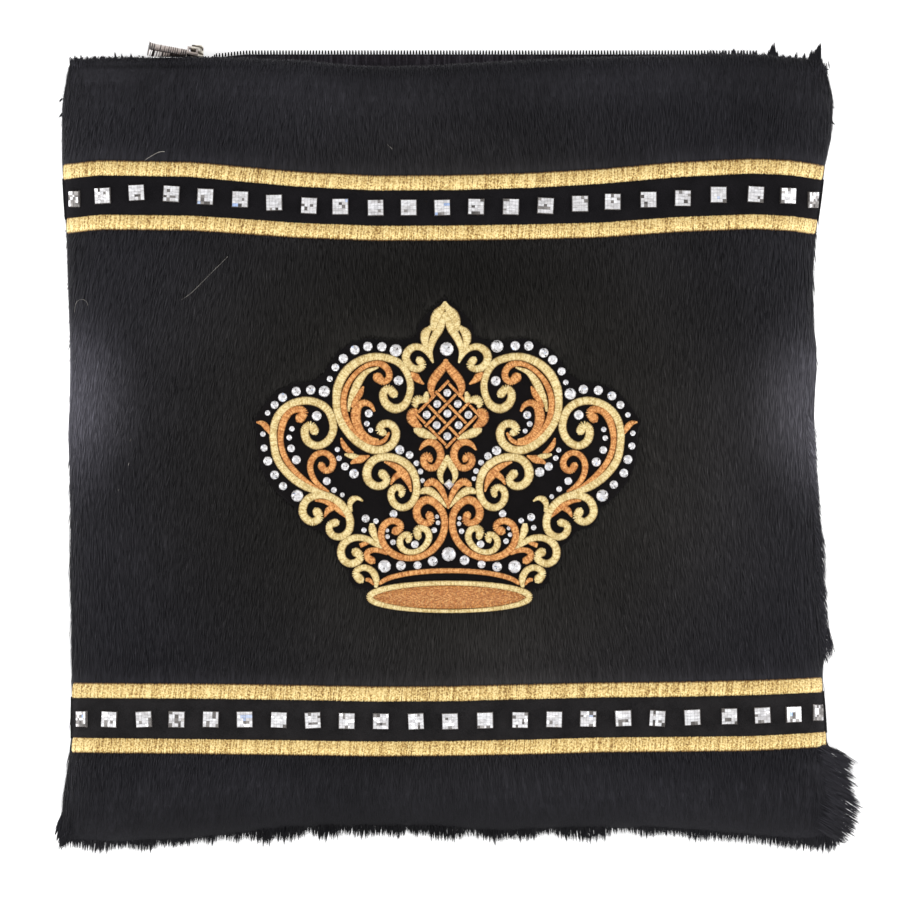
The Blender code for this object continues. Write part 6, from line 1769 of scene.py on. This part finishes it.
def border(name, column, thread, seed):
    """A satin stripe of upright stitches, sewn on from seam to seam."""
    x, y = strip_line(column)
    full = swell(x, y)
    rise = (BORDER_THICKNESS + BORDER_RISE - BORDER_SINK) * full
    lines = [(x, y, SATIN_WIDTH * CHART_SQUARE / 2, PLATE_LIFT + BORDER_SINK * full, rise, False)]
    sew(name + "_satin", lines, thread, seed, name, BORDER_PITCH, BORDER_THREAD, BORDER_LEAN, BORDER_RAGGED)


def velvet_band(name, above, below, material):
    """The velvet strip between two borders."""
    offset = BORDER_WIDTH / 2 - 0.5
    columns = fine_columns(8, 4 * MM)
    columns[0] = ("left", STRIP_INSET)
    columns[-1] = ("right", STRIP_INSET)
    low, high = partial(border_y, below, -offset), partial(border_y, above, offset)
    x, y = face_grid(columns, np.linspace(0, 1, BAND_ROWS), low, high)
    pad = np.sin(np.linspace(0, math.pi, BAND_ROWS))[:, None] * BAND_PAD
    top, _ = face_points(x, y, PLATE_LIFT + (BAND_THICKNESS + pad) * swell(x, y))
    under, _ = face_points(x, y, PLATE_LIFT)
    return settle(shell(name + "_velvet", top, under, material), "velvet", name)


def crown_ground(material):
    """The velvet that the crown is sewn on, cut to its outline."""
    outline = crown_outline()
    low = Vector((min(p.x for p in outline), min(p.y for p in outline)))
    high = Vector((max(p.x for p in outline), max(p.y for p in outline)))
    xs, ys = np.meshgrid(np.arange(low.x, high.x, GROUND_GRID), np.arange(low.y, high.y, GROUND_GRID))
    within = inside(xs, ys, outline)
    points = outline + [Vector(p) for p in zip(xs[within], ys[within])]
    rim = list(range(len(outline)))
    flat, _, faces, *_ = delaunay_2d_cdt(points, list(zip(rim, after(rim))), [rim], 1, 0.2 * MM)
    plane = np.array([tuple(p) for p in flat])
    top, _ = face_points(plane[:, 0], plane[:, 1], CROWN_LEVEL)
    under, _ = face_points(plane[:, 0], plane[:, 1], PLATE_LIFT)
    count = len(plane)
    every = [tuple(face) for face in faces]
    directed = {edge for face in every for edge in zip(face, after(face))}
    every += [tuple(k + count for k in reversed(face)) for face in faces]
    every += [(a + count, b + count, b, a) for a, b in directed if (b, a) not in directed]
    return settle(plain_mesh("crown_velvet", np.vstack([top, under]), every, material), "velvet", "crown")


def stone_frame(x, y, lift, height=0.0):
    """A stone's own axes on the bag's face, and its foot's middle, so that its top stands over x, y."""
    _, up = face_points(np.array([x]), np.array([y]))
    foot = np.array([[x, y]]) - up[:, :2] * (lift + height)
    place, up = face_points(foot[:, 0], foot[:, 1], lift)
    up = Vector(up[0])
    along = Vector((1, 0, 0))
    along = (along - up * along.dot(up)).normalized()
    return Matrix((along, up.cross(along), up)).transposed().to_4x4(), Vector(place[0])


def add_stone(made, glints, stone, cut, spin, rng):
    """A cut stone of the crown, with flat facets of random painted glint."""
    turn, foot = stone_frame(world_x(stone.across), world_y(stone.down), CROWN_LEVEL - STONE_SINK)
    size = stone.diameter * CHART_SQUARE / 2
    levels = []
    for reach, height, start in cut.rings:
        angles = [spin + start + math.tau * k / cut.sides for k in range(cut.sides)]
        places = [(size * reach * math.cos(a), size * reach * math.sin(a), size * height) for a in angles]
        levels.append([made.verts.new(foot + turn @ Vector(place)) for place in places])
    faces = [made.faces.new(levels[0][::-1])]
    for low, high in zip(levels, levels[1:]):
        for a, b, c, d in zip(low, after(low), after(high), high):
            faces += [made.faces.new((a, b, d)), made.faces.new((b, c, d))]
    peak = made.verts.new(foot + turn @ Vector((0, 0, size * cut.peak)))
    faces += [made.faces.new((a, b, peak)) for a, b in zip(levels[-1], after(levels[-1]))]
    girdle = 1 + 2 * cut.sides
    # The girdle's facets get a darker painted glint, the rest a drawn one
    glints.extend(rng.uniform(*GLINT_RIM) if k < girdle else draw_glint(rng) for k in range(len(faces)))


def draw_glint(rng, dark=GLINT_DARK, cut="round"):
    """A facet's painted reflection: most facets are bright, some grey, a few dark, and now and then one is
    bluish.
    """
    kind = rng.random()
    if kind < dark:
        return rng.uniform(*GLINT_DARKS)
    if kind > 1 - GLINT_BLUE:
        return rng.uniform(*GLINT_BLUES)
    return rng.uniform(GLINT_LOW[cut], GLINT_TOP)


def round_stones(material):
    """The crown's stones: round ones, and a diamond in the middle."""
    rng = np.random.default_rng(41)
    made = bmesh.new()
    glints = []
    for row in SIDE_ROUND_STONES + RIGHT_ROUND_STONES + MIDDLE_ROUND_STONES:
        add_stone(made, glints, Stone(*row), ROUND_CUT, rng.uniform(0, math.tau), rng)
    add_stone(made, glints, DIAMOND_STONE, DIAMOND_CUT, 0.0, rng)
    return finish_stones("crown_stones", made, glints, material, "crown")


def square_stones(name, stones, band, material, seed):
    """Square stones with flat cells in a chessboard, fine grooves between them and a sloping rim, each facet
    with its painted glint.
    """
    rng = np.random.default_rng(seed)
    made = bmesh.new()
    glints = []
    inner = SQUARE_STONE / 2 - STONE_BEVEL
    for across, down in stones:
        x, y = world_x(across), world_y(down)
        full = float(swell(np.array([x]), np.array([y]))[0])
        turn, place = stone_frame(x, y, PLATE_LIFT + (BAND_THICKNESS + 0.1 * MM) * full, SQUARE_STONE_RISE)
        turn = turn @ Matrix.Rotation(rng.normal(0.0, STONE_TURN), 4, "Z")
        # The end stones are narrower and painted darker, shaded where they turn down the rolled edges
        in_row = END_STONES[0] < across < END_STONES[1]
        squeeze, dark = (1.0, GLINT_DARK) if in_row else (END_SQUEEZE, END_GLINT_DARK)
        cuts = [np.linspace(-inner, inner, STONE_CELLS + 1) for _ in range(2)]
        for line in cuts:
            line[1:-1] += rng.uniform(-STONE_JITTER, STONE_JITTER, STONE_CELLS - 1)

        def put(u, v, height):
            return made.verts.new(place + turn @ Vector((u * squeeze, v, height)))

        rings = [[put(i * reach, j * reach, height) for i, j in ((-1, -1), (1, -1), (1, 1), (-1, 1))]
                 for reach, height in SQUARE_CUT]
        made.faces.new(rings[0][::-1])
        glints.append(0.1)
        for low, high in zip(rings, rings[1:]):
            glints += [rng.uniform(*GLINT_RIM) for _ in wrap(made, low, high)]
        made.faces.new(rings[-1])
        glints.append(STONE_UNDER_GLINT)
        for j, i in np.ndindex(STONE_CELLS, STONE_CELLS):
            ends = [(cuts[0][i + a], cuts[1][j + b]) for a, b in ((0, 0), (1, 0), (1, 1), (0, 1))]
            middle = np.mean(ends, 0)
            tilt = rng.normal(0.0, STONE_TILT, 2)
            top = []
            foot = []
            for end in ends:
                u, v = [p + (STONE_GROOVE if p < m else -STONE_GROOVE) for p, m in zip(end, middle)]
                slope = tilt[0] * (u - middle[0]) + tilt[1] * (v - middle[1])
                top.append(put(u, v, CELL_TOP + slope))
                foot.append(put(u, v, CELL_FOOT))
            made.faces.new(top)
            low_middle = j < 2 and 0 < i < STONE_CELLS - 1
            fresh = draw_glint(rng, dark * (LOW_DARKER if low_middle else 1.0), "square")
            if i and fresh > 0.5 and cell_glint > 0.5 and rng.random() < STONE_MERGE:
                fresh = cell_glint
            cell_glint = fresh
            made.faces.new(foot[::-1])
            glints += [fresh, STONE_UNDER_GLINT]
            glints += [STONE_GROOVE_GLINT for _ in wrap(made, foot, top)]
    return finish_stones(name, made, glints, material, band)


def finish_stones(name, made, glints, material, node):
    """End the stones' body; each facet holds its glint, its painted reflection."""
    mesh = end_body(name, made, material)
    set_attribute(mesh, "glint", glints, "FACE")
    return settle(add_object(name, mesh), "velvet", node)


def beside_slider(points):
    """Points of the back tape or its coil, drawn down behind the fur where they come out of the slider."""
    moved = points.copy()
    moved[:, 1] -= between(*TUCK_SPANS, chart_across(points[:, 0])) * TUCK
    return moved


def taller_slider(points):
    moved = points.copy()
    low = points[:, 1].min()
    moved[:, 1] = low + (points[:, 1] - low) * SLIDER_TALLER
    return moved


def mesh_points(mesh):
    return np.array([tuple(v.co) for v in mesh.vertices])


def reshaped(name, node, slot, move, material):
    """A copy of a solid with its points moved a little, shown in place of that solid."""
    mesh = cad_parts[node].data.copy()
    mesh.vertices.foreach_set("co", move(mesh_points(mesh)).ravel())
    mesh.materials.clear()
    mesh.materials.append(material)
    mesh.update()
    return settle(add_object(name, mesh), slot, node)


def coil_line(node):
    """The middle of a coil's solid at each of its stations."""
    points = mesh_points(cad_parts[node].data)
    stations = np.unique(np.round(points[:, 0], 5))
    return np.array([points[np.abs(points[:, 0] - x) < 2e-5].mean(0) for x in stations])


def zip_teeth(tree, material):
    """The coil along each tape, in place of its plain strip."""
    wire = [tuple(Vector(p) * MM) for p in TOOTH_BEND]
    tooth = add_object("tooth", new_mesh("tooth", wire, chain(len(wire))))
    for label in ("front", "back"):
        node = "zip_coil_" + label
        points = coil_line(node) if label == "front" else beside_slider(coil_line(node))
        out, up = [np.broadcast_to(way[label], points.shape) for way in (TOOTH_OUT, TOOTH_UP)]
        mesh = new_mesh(node + "_teeth", points, chain(len(points)), out=out, up=up)
        values = {"Pitch": TOOTH_PITCH, "Wire Radius": TOOTH_WIRE, "Tooth": tooth, "Material": material}
        settle(grow(node + "_teeth", mesh, tree, values), "coil", node)
    bpy.data.objects.remove(tooth)


def paint_node(name, material):
    """Give a solid that stays its finish."""
    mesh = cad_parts[name].data
    mesh.materials.clear()
    mesh.materials.append(material)


def pull_place():
    """Turns the pull's own axes into the bag's, as the pull lies at rest."""
    turn = Matrix.Rotation(-ZIP_LEAN, 4, "X") @ Matrix.Rotation(PULL_TILT, 4, "Y")
    return Matrix.Translation(HINGE_PLACE) @ turn


def pull_stations():
    """Along the tab from its root to its free end: X, and how far the two corners draw it in."""
    x = np.arange(PULL_ROOT, PULL_END, -PULL_STATION)
    past = np.clip((PULL_END + PULL_CORNER - x) / PULL_CORNER, 0.0, 1.0)
    return x, PULL_CORNER * (1 - np.sqrt(1 - past ** 2))


def pull_profile():
    """The tab's points and their painted shades: a row for each station from root to free end, a column a
    corner.
    """
    section = np.array(PULL_SECTION)
    x, drawn_in = pull_stations()
    depth = PULL_TIER_ROOT + PULL_TIER_GROWTH * (PULL_ROOT - x)
    ribs = 0.5 - 0.5 * np.cos(math.tau * x / PULL_RIB)[:, None]
    strength = np.random.default_rng(61).uniform(*PULL_RIB_SHADE, int(-PULL_END / PULL_RIB) + 2)
    strength = strength[np.floor(-x / PULL_RIB).astype(int)][:, None]
    across = chart_across(HINGE_PLACE[0] + x * math.cos(PULL_TILT))
    bars = np.any([(low < across) & (across < high) for low, high in PULL_DARK], axis=0)
    bars = bars[:, None].astype(float)
    fade = smooth_step(*PULL_FADE, across)[:, None]
    at_end = smooth_step(0.1, 0.6, drawn_in / PULL_CORNER)[:, None]
    y = section[None, :, 0] * (1 - drawn_in[:, None] / (section[:, 0].max() * MM)) * MM
    z = section[None, :, 1] * MM
    z = np.where(z < PULL_TIER_TOP, PULL_TIER_TOP + (z - PULL_TIER_TOP) * depth[:, None], z)
    order = np.arange(len(section))[None]
    on_flank = np.isin(order, PULL_FLANK_ROWS)
    on_tier = np.isin(order, PULL_TIER_ROWS)
    y = y + np.where(on_flank, ribs * PULL_RIB_DEPTH, 0.0) + np.where(on_tier, bars * PULL_BAR_DEPTH, 0.0)
    # Painted shade: darker in the flank's ribs, dark and light bars painted on the tier, and darker towards
    # the free end
    shade = section[None, :, 2] - np.where(on_flank, ribs * strength, 0.0)
    shade = np.where(on_tier, (1 - bars) * (0.8 - 0.5 * fade), shade)
    shade = np.where(z < PULL_FACE_LEVEL, shade * (1 - 0.85 * at_end), shade)
    shade[-1] = np.where(z[-1] < PULL_FACE_LEVEL, shade[-1] * 0.2, shade[-1])
    return vectors(x[:, None], y, z), shade


def pull_tab(material):
    """The pull's thick tab, with fine ribs on its flank and bars on the tier under it, both also painted with
    shade, and its thin neck.
    """
    points, shade = pull_profile()
    made = bmesh.new()
    rings = [[made.verts.new(p) for p in row] for row in points]
    for low, high in zip(rings, rings[1:]):
        wrap(made, low, high)
    made.faces.new(rings[0])
    made.faces.new(rings[-1])
    bmesh.ops.triangulate(made, faces=[f for f in made.faces if len(f.verts) > 4])
    shades = [*shade.ravel(), *[PULL_NECK_SHADE] * pull_neck(made)]
    bmesh.ops.recalc_face_normals(made, faces=made.faces)
    mesh = end_body("pull_tab", made, material)
    mesh.transform(pull_place())
    mesh.shade_smooth()
    mesh.set_sharp_from_angle(angle=PULL_SHARP)
    set_attribute(mesh, "shade", shades)
    return settle(add_object("pull_tab", mesh), "zip_metal", "zip_pull", body="zip_pull")


def pull_neck(made):
    """Add the thin neck with its window; returns how many points it has."""
    before = len(made.verts)
    outer = [(x * MM, y * MM) for x, y in PULL_NECK] + [(x * MM, -y * MM) for x, y in reversed(PULL_NECK)]
    long, wide = PULL_WINDOW
    hole = [(-PULL_BAR, wide / 2), (-long, wide / 2), (-long, -wide / 2), (-PULL_BAR, -wide / 2)]
    levels = [[[made.verts.new((x, y, level)) for x, y in loop] for loop in (outer, hole)]
              for level in (PULL_HALF, -PULL_HALF)]
    last = len(outer) - 1
    pairs = ((0, 1, 1, 0), (1, last - 1, 2, 1), (last - 1, last, 3, 2), (last, 0, 0, 3))
    for rim, window in levels:
        for a, b, c, d in pairs:
            made.faces.new((rim[a], rim[b], window[c], window[d]))
        made.faces.new(rim[1:last])
    for high, low in zip(*levels):
        wrap(made, high, low)
    return len(made.verts) - before


def softbox(name, place, aim, size, power):
    data = bpy.data.lights.new(name, "AREA")
    data.shape = "RECTANGLE"
    data.size, data.size_y = size
    data.energy = power
    light = add_object(name, data)
    light.location = place
    light.rotation_euler = (Vector(aim) - Vector(place)).to_track_quat("-Z", "Y").to_euler()
    light.visible_camera = False


def studio():
    """A white table that glows like a light table, soft light all round, and the camera."""
    made, nodes = new_material("white_table", (0.9, 0.9, 0.9), 0.7, Specular_IOR_Level=0.1,
                               Emission_Strength=TABLE_GLOW, Emission_Color=(1.0, 1.0, 1.0, 1.0))
    nodes.paint(Base_Color=nodes.ramp(nodes.noise(nodes.place(), 6.0), TABLE_COLORS))
    low, high = -TABLE_REACH, TABLE_REACH
    corners = [(x, y, TABLE_LEVEL) for x, y in ((low, low), (high, low), (high, high), (low, high))]
    plain_mesh("table", corners, [(0, 1, 2, 3)], made, smooth=False)
    world = bpy.data.worlds.new("studio")
    bpy.context.scene.world = world
    world.use_nodes = True
    background = world.node_tree.nodes["Background"]
    background.inputs["Color"].default_value = (1.0, 1.0, 1.0, 1.0)
    background.inputs["Strength"].default_value = WORLD_LIGHT
    for name, *rest in SOFTBOXES:
        softbox("softbox_" + name, *rest)
    for label, place in zip(("left", "right"), GLOW_PLACE):
        softbox("glow_" + label, place, (0.7 * place[0], place[1], 0.02), (0.05, 0.05), GLOW_LIGHT)
    data = bpy.data.cameras.new("camera")
    data.sensor_width = 36.0
    data.lens = data.sensor_width * CAMERA_DISTANCE / (IMAGE_SQUARES * CHART_SQUARE)
    data.clip_start = 0.1
    data.clip_end = 4 * CAMERA_DISTANCE
    camera = add_object("camera", data)
    middle = IMAGE_SQUARES / 2
    camera.location = (world_x(middle), world_y(middle), FOCUS_LEVEL + CAMERA_DISTANCE)
    bpy.context.scene.camera = camera
    view = bpy.context.scene.view_settings
    view.view_transform = "Standard"
    view.exposure = EXPOSURE


def build():
    """Make every piece, in the order in which the bag is sewn."""
    hide = hide_material()
    crystal = crystal_material()
    black_hair = hair_material()
    strands = hair_tree()
    stitches = stitch_tree()
    loose = loose_hair_tree()
    stripe_gold = stitches, thread_material("gold_thread", GOLD_COLORS, STRIPE_LIGHT)
    gold = stitches, thread_material("crown_gold_thread", PALE_COLORS, SCROLL_LIGHT)
    copper = stitches, thread_material("crown_copper_thread", COPPER_COLORS, SCROLL_LIGHT)

    settle(panel_skin("front_hide", "front_lip", front_height, 1, FRONT_WALL, hide), "fur", "front_panel")
    settle(panel_skin("back_hide", "back_lip", back_height, -1, BACK_WALL, hide), "fur", "back_panel")
    for label, colors in (("upper", VELVET_UPPER), ("lower", VELVET_LOWER)):
        velvet = velvet_material(label + "_velvet", *colors)
        velvet_band(label + "_band", label + "_top", label + "_bottom", velvet)
    for seed, column in enumerate(BORDER_COLUMNS[1:]):
        label, place = column.split("_")
        border(f"{label}_border_{place}", column, stripe_gold, 50 + seed)
    crown_ground(velvet_material("crown_velvet_cloth", *VELVET_CROWN))
    crown_stitches(gold, copper)
    crown_base_stitches(gold, copper)
    square_stones("upper_stones", UPPER_STONES, "upper_band", crystal, 42)
    square_stones("lower_stones", LOWER_STONES, "lower_band", crystal, 43)
    round_stones(crystal)
    front_hair((strands, black_hair))
    back_hair((strands, black_hair))
    tips = strands, tip_material()
    for past_edge in (bottom_fringe, seam_hair, side_hair, edge_locks):
        past_edge(tips)
    loose_hairs("stray_pale_hairs", STRAY_PALE_HAIRS, loose, pale_hair_material())
    loose_hairs("stray_dark_hairs", STRAY_DARK_HAIRS, loose, black_hair)
    zip_teeth(tooth_tree(), coil_material())
    tape = tape_material()
    paint_node("zip_tape_front", tape)
    reshaped("tape_back_cloth", "zip_tape_back", "tape", beside_slider, tape)
    reshaped("slider_case", "zip_slider", "zip_metal", taller_slider, slider_material())
    paint_node("zip_end_stop", metal_material())
    pull_tab(pull_material())
    studio()


build()
